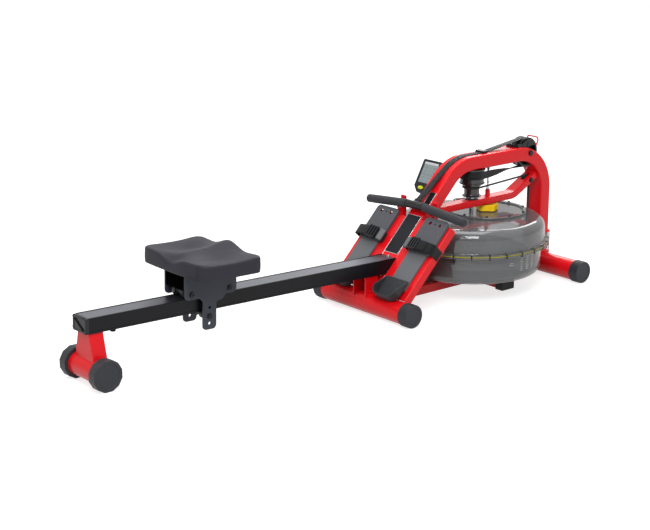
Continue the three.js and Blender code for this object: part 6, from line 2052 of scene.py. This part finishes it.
    def keeper(self) -> BMesh:
        """Makes the red wire loop behind the pulley that keeps the belt in its place."""
        x, z, half, high = self.layout.pulley.x + 47 * MM, 488 * MM, 26 * MM, 520 * MM
        line = [(x - 6 * MM, half, z), (x, half, z + 10 * MM), (x + 4 * MM, half, high - 9 * MM),
                (x + 2 * MM, half - 6 * MM, high - 1 * MM), (x, 0, high),
                (x + 2 * MM, 6 * MM - half, high - 1 * MM), (x + 4 * MM, -half, high - 9 * MM),
                (x, -half, z + 10 * MM), (x - 6 * MM, -half, z)]
        return swept(circle(2.8 * MM, 12), stations_on(smooth_path(line, 6), Vector((1, 0.1, 0.2))))

    def axle(self) -> BMesh:
        """Makes the pulley's axle with a bolt head on each side of the arch."""
        at, half = self.layout.pulley, TUBE_HALF
        return joined([crossbar(at.x, at.z, half, 6 * MM, sides=FEW), *PULLEY_BOLT.pair(at.x, half, at.z)])

    def build(self) -> None:
        """Makes and dresses the belt drive."""
        band = swept(rounded_section(self.width, self.thickness, 0.8 * MM, 2), self.stations())
        piece("drive_belt", band, Finishes.belt, replaces=["belt_run"], hard=False)
        piece("arch_pulley", self.pulley_wheel(), Finishes.plastic, body="pulley", replaces=["belt_pulley"])
        piece("pulley_axle_bolt", self.axle(), Finishes.oxide, replaces=["pulley_axle"])
        piece("belt_guard", self.guard_cheeks(), Finishes.plastic, replaces=["pulley_guard"])
        piece("belt_bridge", self.guide_block(), Finishes.plastic, replaces=["belt_guide"])
        piece("belt_keeper_wire", self.keeper(), Finishes.red)


@dataclass
class Bungee(Assembly):
    """The return cord from the drum over two small pulleys and back along the floor beam."""

    rim: float = 19 * MM
    half: float = 7.5 * MM
    pin: float = 4.3 * MM
    wind: float = 31.9 * MM
    level: float = 372.6 * MM

    def line(self) -> list[Vector]:
        """Returns the cord's middle line from its half turn on the drum to the anchor."""
        tank, upper, lower = self.layout.tank.x, self.layout.sheave_upper, self.layout.sheave_lower
        around = arc((tank, 0), self.wind, -2 * math.pi * 0.75, -QUARTER, 24)
        path = [Vector((x, y, self.level)) for x, y in around]
        up = arc((upper.x, upper.z), CORD_TURN, QUARTER, 0, 16)
        down = arc((lower.x, lower.z), CORD_TURN, 0, -QUARTER, 16)
        start, end = path[-1], Vector((up[0][0], 0, up[0][1]))
        path += [start.lerp(end, i / 12) for i in range(1, 12)]
        path += [Vector((x, 0, z)) for x, z in (*up, *down)]
        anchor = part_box("bungee_cord")[0][0]
        return [*path, Vector(((path[-1].x + anchor) / 2, 0, path[-1].z)), Vector((anchor, 0, path[-1].z))]

    def cable(self) -> BMesh:
        """Makes the cord as one long tube."""
        return swept(circle(CORD, 16), stations_on(self.line(), Vector((0.02, 1, 0.01))))

    def sheave(self, at: Vector) -> BMesh:
        """Makes a small grooved pulley."""
        groove, lip, half = CORD_TURN - CORD - HAIR, 2 * MM, self.half
        bottom = [(CORD_TURN - CORD * math.sin(a), CORD * math.cos(a)) for a in
                  (0.35 + (math.pi - 0.7) * i / 8 for i in range(9))]
        profile = [(self.pin, half), (groove - 2 * MM, half), (groove, half), (self.rim, half),
                   (self.rim, half - lip), *bottom, (self.rim, lip - half), (self.rim, -half),
                   (groove, -half), (self.pin, -half)]
        return shifted(soften(turned(profile, "Y", ROUND), 0.4 * MM), at.x, 0, at.z)

    def build(self) -> None:
        """Makes and dresses the cord and its pulleys."""
        piece("return_cord", self.cable(), Finishes.braid, replaces=["bungee_cord"], hard=False)
        for end, at in (("upper", self.layout.sheave_upper), ("lower", self.layout.sheave_lower)):
            piece(f"{end}_cord_pulley", self.sheave(at), Finishes.plastic, body=f"sheave_{end}",
                  replaces=[f"bungee_pulley_{end}"])


# Handle, seat and monitor


@dataclass
class Handle(Assembly):
    """The handle that lies on the hooks: sleeve, two foam grips and the clip for the belt."""

    sleeve: float = 14.5 * MM
    half: float = 40 * MM
    core: float = 11 * MM
    length: float = 205 * MM
    start: float = 2 * MM
    clip_half: float = 16 * MM
    clip_thick: float = 9 * MM
    clip_reach: float = 25 * MM

    def bar(self) -> BMesh:
        """Makes the middle sleeve with its collars, and the steel core inside the grips."""
        r, h = self.sleeve, self.half
        right = [(0, h), (r - 1.5 * MM, h), (r, h - 1.5 * MM), (r, h - 8 * MM), (r - 1.2 * MM, h - 9.5 * MM),
                 (r - 1.2 * MM, 20 * MM), (r, 18.5 * MM), (r, 17 * MM)]
        profile = doubled(right, (1, -1))
        parts = [turned(profile, "Y", ROUND)]
        for _, sign in SIDES:
            core = rod((0, -self.half / 2, 0), (0, self.length - 7 * MM, 0), self.core, sides=FEW)
            parts.append(on_side(moved(core, self.arm()), sign))
        return moved(joined(parts), Matrix.Translation(self.layout.handle))

    def arm(self) -> Matrix:
        """Returns the place of the left grip: at the sleeve's end, drooping a little outwards."""
        return Matrix.Translation((0, self.half, 0)) @ Matrix.Rotation(-GRIP_DROOP, 4, "X")

    def grip_sleeve(self, sign: int) -> BMesh:
        """Makes a foam grip, a little fuller in the middle, with a round end."""
        start, end, r, rim = self.start, self.start + self.length, GRIP, 1.5 * MM
        swell = [(r - 0.5 * MM * (1 - math.sin(math.pi * i / 12)),
                  start + 4 * MM + (end - start - 16 * MM) * i / 12) for i in range(13)]
        profile = [(self.core + HAIR, start), (r - rim, start), *swell,
                   *arc((r - 0.5 * MM - 7 * MM, end - 7 * MM), 7 * MM, 0, QUARTER, 6), (0, end),
                   (0, end - 6 * MM), (self.core + HAIR, end - 6 * MM)]
        outside = [p for i, p in enumerate(profile)
                   if not (i and p[1] < profile[i - 1][1] and p[0] > self.core + rim)]
        bm = moved(turned(outside, "Y", ROUND), self.arm())
        return on_side(moved(bm, Matrix.Translation(self.layout.handle)), sign)

    def clip(self) -> BMesh:
        """Makes the clip that the belt is held in: a block round the sleeve, with two screws."""
        inner, w, t = self.sleeve + HAIR, self.clip_half, self.clip_thick / 2
        bm = block((inner - 3 * MM, -w, -t), (self.clip_reach, w, t), 1.6 * MM, 3)
        bm = carved(bm, [crossbar(0, 0, 2 * w, inner)])
        screws = [CLIP_SCREW.head((self.clip_reach - 4.5 * MM, sign * 10 * MM, t), UP) for _, sign in SIDES]
        place = Matrix.Translation(self.layout.handle) @ Matrix.Rotation(-self.layout.incline_angle, 4, "Y")
        return moved(joined([bm, *screws]), place)

    def build(self) -> None:
        """Makes and dresses the handle."""
        piece("handle_core", self.bar(), Finishes.plastic, body="handle", replaces=["handle_bar"])
        piece("belt_clip", self.clip(), Finishes.plastic, body="handle", replaces=["handle_clip"])
        for side, sign in SIDES:
            piece(f"foam_grip_{side}", self.grip_sleeve(sign), Finishes.grip, body="handle",
                  replaces=[f"handle_grip_{side}"], hard=False)


@dataclass(frozen=True)
class Wheel:
    """A seat wheel: its body's name, its place along the rail and above its underside, its radius."""

    name: str
    along: float
    level: float
    radius: float


def bell(distance: float, width: float) -> float:
    """Returns the height of a smooth hump: 1 in its middle, and almost nothing two widths away."""
    return math.exp(-(distance / width) ** 2)


def fade(distance: float, reach: float) -> float:
    """Returns 1 in the middle, falling smoothly to 0 at a reach and staying there."""
    return 0.5 + 0.5 * math.cos(math.pi * min(distance / reach, 1.0))


@dataclass
class Seat(Assembly):
    """The seat pad on its carriage, with the wheels that run on and under the rail."""

    rear: float = 324 * MM
    front: float = 563 * MM
    half: float = 171 * MM
    under: float = 135.6 * MM
    height: float = 51 * MM
    rear_corner: float = 40 * MM
    front_corner: float = 28 * MM
    bow: float = 7 * MM
    roll: float = 9 * MM
    hollow: float = 12 * MM
    horn: float = 18 * MM
    notch: float = 21 * MM
    ridge: float = 5 * MM
    sag: float = 4.5 * MM
    lip: float = 2 * MM
    dip: float = 3 * MM
    plate_outer: float = 56 * MM
    plate_thick: float = 5 * MM
    plate_rear: float = 344 * MM
    plate_front: float = 543 * MM
    plate_bottom: float = 50 * MM
    plate_round: float = 15 * MM
    tongue_half: float = 26 * MM
    tongue_drop: float = 57 * MM
    tongue_round: float = 14 * MM
    gusset: float = 13 * MM
    gusset_ahead: float = 24 * MM
    gusset_drop: float = 14 * MM
    plate_holes: Point = (-37 * MM, 15 * MM)
    saddle: float = 6 * MM
    wheel_half: float = 30 * MM
    waist_half: float = 14 * MM
    waist: float = 0.62
    axle: float = 5 * MM
    wheels: tuple[Wheel, ...] = (
        Wheel("wheel_rear", WHEEL_ALONG, WHEEL_LEVEL, 18 * MM),
        Wheel("wheel_front", 517 * MM, WHEEL_LEVEL, 18 * MM),
        Wheel("wheel_lower", 439 * MM, -14 * MM, 13.7 * MM),
    )

    def rise(self, x: float, y: float) -> float:
        """Returns how far the moulded top stands above its flat level at a place on the pad."""
        middle, long = (self.rear + self.front) / 2, self.front - self.rear
        share, side = (x - self.rear) / long, abs(y)
        dome, outer = math.sin(math.pi * min(max(share, 0), 1)), (side / self.half) ** 4
        notch = -self.notch * fade(side, 78 * MM) * bell(x - self.rear, 34 * MM)
        horn = self.horn * fade(side, 76 * MM) * bell(self.front - x, 62 * MM)
        ridge = self.ridge * bell(side, 26 * MM) * dome ** 0.5
        cheek = -self.hollow * bell(x - middle + 6 * MM, 70 * MM) * bell(side - 78 * MM, 50 * MM)
        sag = -self.sag * dome * outer
        lip = self.lip * bell(share - 0.86, 0.12) * outer
        dip = -self.dip * bell(side - 92 * MM, 26 * MM) * bell(self.front - x, 30 * MM)
        return notch + horn + ridge + cheek + sag + lip + dip

    def outline(self, inset: float, steps: int) -> list[tuple[float, float]]:
        """Returns the pad's plan, drawn in by a distance.

        Args:
            inset: How far inside the outer edge it lies.
            steps: The points along each side and round each corner.

        Returns:
            The points, evenly numbered so that two outlines match.
        """
        front, rear = (max(corner - inset, 4 * MM) for corner in (self.front_corner, self.rear_corner))
        x0, x1, y1 = self.rear + inset + rear, self.front - inset - front, self.half - inset
        turns = [((x1, front - y1), front, -QUARTER), ((x1, y1 - front), front, 0.0),
                 ((x0, y1 - rear), rear, QUARTER), ((x0, rear - y1), rear, 2 * QUARTER)]
        points = []
        for i, (centre, r, start) in enumerate(turns):
            points += arc(centre, r, start, start + QUARTER, steps)
            follow, next_r, turn = turns[(i + 1) % 4]
            a, b = points[-1], arc(follow, next_r, turn, turn, 1)[0]
            points += [(a[0] + (b[0] - a[0]) * k / (2 * steps), a[1] + (b[1] - a[1]) * k / (2 * steps))
                       for k in range(1, 2 * steps)]
        bowed = [self.bow * (y / self.half) ** 2 * ((self.front - x) / (self.front - self.rear)) ** 2
                 for x, y in points]
        return [(x + shift, y) for (x, y), shift in zip(points, bowed)]

    def ring(self, bm: BMesh, points: Outline, height: float, wavy: float) -> list[BMVert]:
        """Adds one ring of vertices, whose height follows the moulded top by a share."""
        return [bm.verts.new((x, y, height + wavy * self.rise(x, y))) for x, y in points]

    def pad(self) -> BMesh:
        """Makes the pad: flat underneath, upright sides, a rolled edge and the moulded top."""
        bm, steps, top = bmesh.new(), 12, self.under + self.height
        levels = [(6 * MM, 0.0, 0.0), (1.5 * MM, 0.0, 0.0), (0.3 * MM, 1.5 * MM, 0.0), (0.0, 5 * MM, 0.05),
                  (-0.6 * MM, 12 * MM, 0.3), (-0.8 * MM, 22 * MM, 0.7), (0.0, self.height - self.roll, 1.0)]
        rings = [self.ring(bm, self.outline(inset, steps), self.under + up, wavy)
                 for inset, up, wavy in levels]
        for i in range(1, 9):
            angle = QUARTER * i / 8
            inset, drop = self.roll * (1 - math.cos(angle)), self.roll * (1 - math.sin(angle))
            rings.append(self.ring(bm, self.outline(inset, steps), top - drop, 1.0))
        base = self.outline(self.roll, steps)
        middle = ((self.rear + self.front) / 2, 0)
        for i in range(1, 24):
            share = (1 - i / 24) ** 0.9
            drawn_in = [(middle[0] + (x - middle[0]) * share, y * share) for x, y in base]
            rings.append(self.ring(bm, drawn_in, top, 1.0))
        for lower, upper in pairwise(rings):
            count = len(lower)
            for i in range(count):
                bm.faces.new((lower[i], lower[(i + 1) % count], upper[(i + 1) % count], upper[i]))
        peak = bm.verts.new((*middle, top + self.rise(*middle)))
        last = rings[-1]
        for i, vert in enumerate(last):
            bm.faces.new((vert, last[(i + 1) % len(last)], peak))
        bm.faces.new(list(reversed(rings[0])))
        inner = [v for ring in rings[8:] for v in ring] + [peak]
        for _ in range(3):
            bmesh.ops.smooth_vert(bm, verts=inner, factor=0.5, use_axis_z=True)
        bmesh.ops.recalc_face_normals(bm, faces=bm.faces[:])
        return moved(bm, self.layout.rail)

    def plate(self, sign: int) -> BMesh:
        """Makes one carriage plate with its rounded tongue, gussets and holes."""
        low, drop, turn, top = self.plate_bottom, self.tongue_drop, self.plate_round, self.under - HAIR
        x, reach = self.wheels[-1].along, 3 * self.plate_outer
        rear, front = x - self.tongue_half, x + self.tongue_half
        outline = [(self.plate_rear, top),
                   *arc((self.plate_rear + turn, low + turn), turn, 2 * QUARTER, 3 * QUARTER, 6),
                   (rear - self.gusset, low), (rear, low - self.gusset),
                   (rear, -drop), (front, -drop), (front, low - self.gusset_drop - self.gusset / 2),
                   (front + self.gusset_ahead, low - self.gusset_drop),
                   (front + self.gusset_ahead + self.gusset, low),
                   *arc((self.plate_front - turn, low + turn), turn, 3 * QUARTER, 4 * QUARTER, 6),
                   (self.plate_front, top)]
        across = span(sign, self.plate_outer - self.plate_thick, self.plate_outer)
        bm = slab(outline, Plane.XZ, *across, corner=self.tongue_round, corner_steps=6, only=[10, 11])
        holes = [crossbar(x, z, reach, self.axle, sides=FEW) for z in self.plate_holes]
        return soften(carved(bm, holes), 0.7 * MM, 2)

    def carriage(self) -> BMesh:
        """Makes the two plates and the saddle that joins them under the pad."""
        top, outer = self.under - HAIR, self.plate_outer
        saddle = block((self.plate_rear, -outer, top - self.saddle), (self.plate_front, outer, top), SOFT)
        plates = [self.plate(sign) for _, sign in SIDES]
        return moved(joined([*plates, saddle]), self.layout.rail)

    def painted_shade_walls(self) -> BMesh:
        """Makes near-black walls across the carriage's ends that paint the shade inside it: a short one
        behind, a deep one ahead.
        """
        high, inner = self.under - self.saddle, self.plate_outer - self.plate_thick
        # Painted shade: the deep front wall also blocks light from ahead, so the carriage's inside shows
        # dark.
        walls = [block((x, -inner, low), (x + 3 * MM, inner, high), SOFT)
                 for x, low in ((self.plate_rear + 2 * MM, 82 * MM), (self.plate_front - 5 * MM, 56 * MM))]
        return moved(joined(walls), self.layout.rail)

    def axles(self) -> BMesh:
        """Makes the wheels' axle bolts, with a washer and a head outside each plate."""
        parts = []
        for wheel in self.wheels:
            parts.append(crossbar(wheel.along, wheel.level, self.plate_outer, self.axle, sides=FEW))
            parts += AXLE_SCREW.pair(wheel.along, self.plate_outer, wheel.level)
        for x in (self.plate_rear + 60 * MM, self.plate_front - 60 * MM):
            parts += SADDLE_SCREW.pair(x, self.plate_outer, self.under - 12 * MM)
        return moved(joined(parts), self.layout.rail)

    def roller(self, wheel: Wheel) -> BMesh:
        """Makes a wheel with two rounded treads, a waist between them, and recessed flanks."""
        w, t, radius, lip = self.wheel_half, self.waist_half, wheel.radius, 1.4 * MM
        waist, hub = radius * self.waist, radius * 0.5
        right = [(self.axle + HAIR, w), (hub, w), (hub + 1 * MM, w - 2 * MM), (radius - 4 * MM, w - 2 * MM),
                 (radius - 3 * MM, w), (radius - lip, w), (radius, w - lip), (radius, t + lip),
                 (radius - lip, t), (waist + 2 * MM, t), (waist, t - 2 * MM)]
        place = self.layout.rail @ Matrix.Translation((wheel.along, 0, wheel.level))
        return moved(turned(doubled(right, (1, -1)), "Y", ROUND), place)

    def build(self) -> None:
        """Makes and dresses the seat."""
        pad = piece("moulded_seat", self.pad(), Finishes.seat, body="seat", replaces=["seat_pad"], hard=False)
        piece("carriage_plates", self.carriage(), Finishes.blue, body="seat", replaces=["seat_carriage"])
        # Painted shade: near-black walls that darken the inside of the carriage.
        piece("carriage_painted_shade_walls", self.painted_shade_walls(), Finishes.painted_shade_liner, body="seat")
        piece("carriage_bolts", self.axles(), Finishes.oxide, body="seat")
        for wheel in self.wheels:
            piece(f"nylon_{wheel.name}", self.roller(wheel), Finishes.plastic, body=wheel.name,
                  replaces=[f"seat_{wheel.name}"])


@dataclass
class Monitor(Assembly):
    """The tilting display on its arm beside the arch."""

    half_wide: float = 50 * MM
    half_high: float = 63 * MM
    deep: float = 24 * MM
    chamfer: float = 22 * MM
    lens_half: float = 35 * MM
    lens_low: float = -26 * MM
    lens_high: float = 52 * MM
    lens_thick: float = 1.4 * MM
    button: float = 8 * MM
    button_long: float = 13 * MM
    button_short: float = 6.5 * MM
    button_across: float = 14 * MM
    button_level: float = -45 * MM
    button_proud: float = 2.5 * MM
    pin: float = 5 * MM
    ear_inner: float = 18 * MM
    ear_outer: float = 22 * MM
    ear_half: float = 8 * MM
    arm_near: float = -61.6 * MM
    arm_thick: float = 4 * MM
    arm_half: float = 14 * MM
    arm_back: float = 70 * MM
    arm_screws: Point = (12 * MM, 34 * MM)

    def housing(self) -> BMesh:
        """Makes the housing: rounded top, cut lower corners, sunk display and button field, two ears."""
        y, z, c = self.half_wide, self.half_high, self.chamfer
        outline = [(c - y, -z), (y - c, -z), (y, c - z), (y, z), (-y, z), (-y, c - z)]
        bm = slab(outline, Plane.YZ, 0, self.deep, corner=7 * MM, only=[3, 4])
        soften(bm, 2.2 * MM, 4)
        pocket = block((-10 * MM, -self.lens_half - 2 * MM, self.lens_low - 2 * MM),
                       (1.2 * MM, self.lens_half + 2 * MM, self.lens_high + 2 * MM), 0)
        plate = block((-10 * MM, -31 * MM, self.button_level - 7 * MM),
                      (0.8 * MM, 31 * MM, self.button_level + 10 * MM), 0)
        hole = rod((-10 * MM, 0, 0), (3.4 * MM, 0, 0), self.button + HAIR, sides=SOME)
        moved(hole, self.button_place())
        bm = soften(carved(bm, [pocket, plate, hole]), CRISP, 2)
        return moved(joined([bm, *(self.ear(sign) for _, sign in SIDES)]), self.layout.monitor)

    def ear(self, sign: int) -> BMesh:
        """Makes one of the two ears behind the housing that turn on the pin."""
        (y0, y1), half, root = span(sign, self.ear_inner, self.ear_outer), self.ear_half, self.deep - 4 * MM
        shape = [(root, -half), (TILT_DEPTH, -half), *arc((TILT_DEPTH, 0), half, -QUARTER, QUARTER, 12)[1:-1],
                 (TILT_DEPTH, half), (root, half)]
        bore = rod((TILT_DEPTH, y0 - 1 * MM, 0), (TILT_DEPTH, y1 + 1 * MM, 0), self.pin + HAIR, sides=FEW)
        return soften(carved(slab(shape, Plane.XZ, y0, y1), [bore]), CRISP)

    def display(self) -> BMesh:
        """Makes the display's glass, which carries the place of its fields."""
        low, high = -self.lens_thick - HAIR, -HAIR + 1.2 * MM
        bm = block((low, -self.lens_half, self.lens_low), (high, self.lens_half, self.lens_high), CRISP)
        field_layer = bm.verts.layers.float_vector.new("field")
        for vert in bm.verts:
            vert[field_layer] = Vector((vert.co.y + self.lens_half, vert.co.z - self.lens_low, 0))
        return moved(bm, self.layout.monitor)

    def band(self) -> BMesh:
        """Makes the silvery band across the top of the display."""
        high = self.lens_high + 1 * MM
        bm = block((-2.2 * MM, -self.lens_half, high - 9 * MM), (-HAIR, self.lens_half, high), CRISP)
        return moved(bm, self.layout.monitor)

    def button_place(self) -> Matrix:
        """Returns the place of the button, which draws a round out into an oval."""
        oval = Matrix.Diagonal((1, self.button_long / self.button, self.button_short / self.button, 1))
        return Matrix.Translation((0, self.button_across, self.button_level)) @ oval

    def key(self) -> BMesh:
        """Makes the oval button, slightly domed."""
        r, x = self.button, -self.button_proud
        profile = [(0, x), (r * 0.6, x + 0.2 * MM), (r - 1 * MM, x + 0.8 * MM), (r, x + 1.8 * MM),
                   (r, 1.2 * MM), (0, 1.2 * MM)]
        return moved(turned(profile, "X", SOME), self.layout.monitor @ self.button_place())

    def arm(self) -> BMesh:
        """Makes the pin through the ears and the plate that ties it to the arch."""
        reach = self.ear_outer + 4 * MM
        pin = rod((TILT_DEPTH, self.arm_near, 0), (TILT_DEPTH, reach, 0), self.pin, edge=CRISP, sides=FEW)
        x0, x1, half = TILT_DEPTH - self.arm_back, TILT_DEPTH + self.arm_half, self.arm_half
        near, far = self.arm_near, self.arm_near + self.arm_thick
        plate = slab(rectangle(x0, -half, x1, half), Plane.XZ, near, far, corner=6 * MM, edge=0.6 * MM)
        heads = [ARM_SCREW.head((x0 + x, far, 0), LEFT) for x in self.arm_screws]
        nut = SHEAVE_BOLT.head((TILT_DEPTH, reach, 0), LEFT)
        return moved(joined([pin, plate, *heads, nut]), self.layout.monitor)

    def build(self) -> None:
        """Makes and dresses the monitor."""
        piece("display_housing", self.housing(), Finishes.plastic, body="monitor",
              replaces=["monitor_housing"])
        piece("display_glass", self.display(), Finishes.screen, body="monitor", replaces=["monitor_lens"])
        piece("display_band", self.band(), Finishes.edge, body="monitor")
        piece("display_button", self.key(), Finishes.lime, body="button", replaces=["monitor_button"])
        piece("display_arm", self.arm(), Finishes.black, replaces=["monitor_arm"])


# Stage, light and camera


@dataclass
class Studio:
    """The white floor and world, the soft lamps and the camera."""

    middle: Vector
    floor_radius: float = 60.0
    world: float = 0.55
    paper_low: float = 0.47
    paper_high: float = 0.5
    paper_glow: float = 0.74
    camera_at: Point = (-3.1964, -3.7416, 1.5915)
    camera_turn: Point = (74.148, 0.0, -40.017)
    lens: float = 83.497
    lamps: tuple[tuple[str, Point, float, float], ...] = (
        ("key_softbox", (-2.2, -2.6, 3.4), 2.2, 150),
        ("top_softbox", (0.6, 0.6, 3.6), 2.6, 70),
        ("rim_softbox", (3.2, 1.8, 2.0), 1.6, 60),
    )

    @staticmethod
    def seen_directly(tree: NodeTree) -> NodeSocket:
        """Returns 1 for rays from the camera, off gloss or through glass, and 0 for all others."""
        path = add(tree, "LightPath").outputs
        some = calc(tree, "MAXIMUM", path["Is Camera Ray"], path["Is Glossy Ray"])
        return calc(tree, "MAXIMUM", some, path["Is Transmission Ray"])

    def floor(self) -> None:
        """Makes the pale floor, which shows white and keeps a soft shadow."""
        bm = bmesh.new()
        bmesh.ops.create_grid(bm, x_segments=1, y_segments=1, size=self.floor_radius)
        ground = bpy.data.objects.new("studio_floor", mesh_of(bm, "studio_floor"))
        material = bpy.data.materials.new("matt_white_paper")
        material.use_nodes = True
        tree = material.node_tree
        tree.nodes.clear()
        fibres = add(tree, "TexNoise", {"Vector": add(tree, "TexCoord").outputs["Object"], "Scale": 4.0})
        greys = {0: fibres.outputs["Fac"], MIX_A: shade("#FFFFFF", self.paper_low),
                 MIX_B: shade("#FFFFFF", self.paper_high)}
        tone = add(tree, "Mix", greys, data_type="RGBA").outputs[MIX_OUT]
        paper = add(tree, "BsdfDiffuse", {"Color": tone})
        lit = calc(tree, "MULTIPLY", self.seen_directly(tree), self.paper_glow)
        glow = add(tree, "Emission", {"Strength": lit})
        both = add(tree, "AddShader", {0: paper.outputs[0], 1: glow.outputs[0]})
        add(tree, "OutputMaterial", {"Surface": both.outputs[0]})
        ground.data.materials.append(material)
        bpy.context.scene.collection.objects.link(ground)

    def surroundings(self) -> None:
        """Makes the world: white where it is seen, and an even pale light elsewhere."""
        world = bpy.data.worlds.new("studio_world")
        world.use_nodes = True
        tree = world.node_tree
        tree.nodes.clear()
        spread = {"Value": self.seen_directly(tree), "To Min": self.world, "To Max": 1.0}
        level = add(tree, "MapRange", spread).outputs[0]
        light = add(tree, "Background", {"Color": (1, 1, 1, 1), "Strength": level})
        add(tree, "OutputWorld", {"Surface": light.outputs[0]})
        bpy.context.scene.world = world

    def lamp(self, name: str, at: Point, size: float, power: float) -> None:
        """Hangs a soft square lamp that looks at the machine's middle."""
        light = bpy.data.lights.new(name, "AREA")
        light.shape, light.size, light.energy = "SQUARE", size, power
        thing = bpy.data.objects.new(name, light)
        thing.location = self.middle + Vector(at)
        thing.rotation_euler = (-Vector(at)).to_track_quat("-Z", "Y").to_euler()
        bpy.context.scene.collection.objects.link(thing)

    def camera(self) -> None:
        """Sets the camera where the photograph was taken from."""
        data = bpy.data.cameras.new("photo_camera")
        data.lens, data.clip_start, data.clip_end = self.lens, 0.05, 200.0
        thing = bpy.data.objects.new("photo_camera", data)
        thing.location = self.camera_at
        thing.rotation_euler = [math.radians(a) for a in self.camera_turn]
        bpy.context.scene.collection.objects.link(thing)
        bpy.context.scene.camera = thing

    def build(self) -> None:
        """Sets up floor, world and lamps."""
        self.floor()
        self.surroundings()
        for name, at, size, power in self.lamps:
            self.lamp(name, at, size, power)
        bpy.context.scene.view_settings.view_transform = "Standard"


def main() -> None:
    """Builds the studio and every sub-assembly, in order."""
    logging.basicConfig(level=logging.INFO, format="%(message)s")
    layout = Layout.read(frame["joints"])
    low, high = CAD_BOX
    studio = Studio((Vector(low) + Vector(high)) / 2)
    studio.camera()
    for kind in (Rail, Feet, MainFrame, Footboards, Tank, Drum, BeltDrive, Bungee, Handle, Seat, Monitor):
        log.info("building %s", kind.__name__)
        kind(layout).build()
    studio.build()
    bpy.context.view_layer.update()


if __name__ == "__main__":
    main()
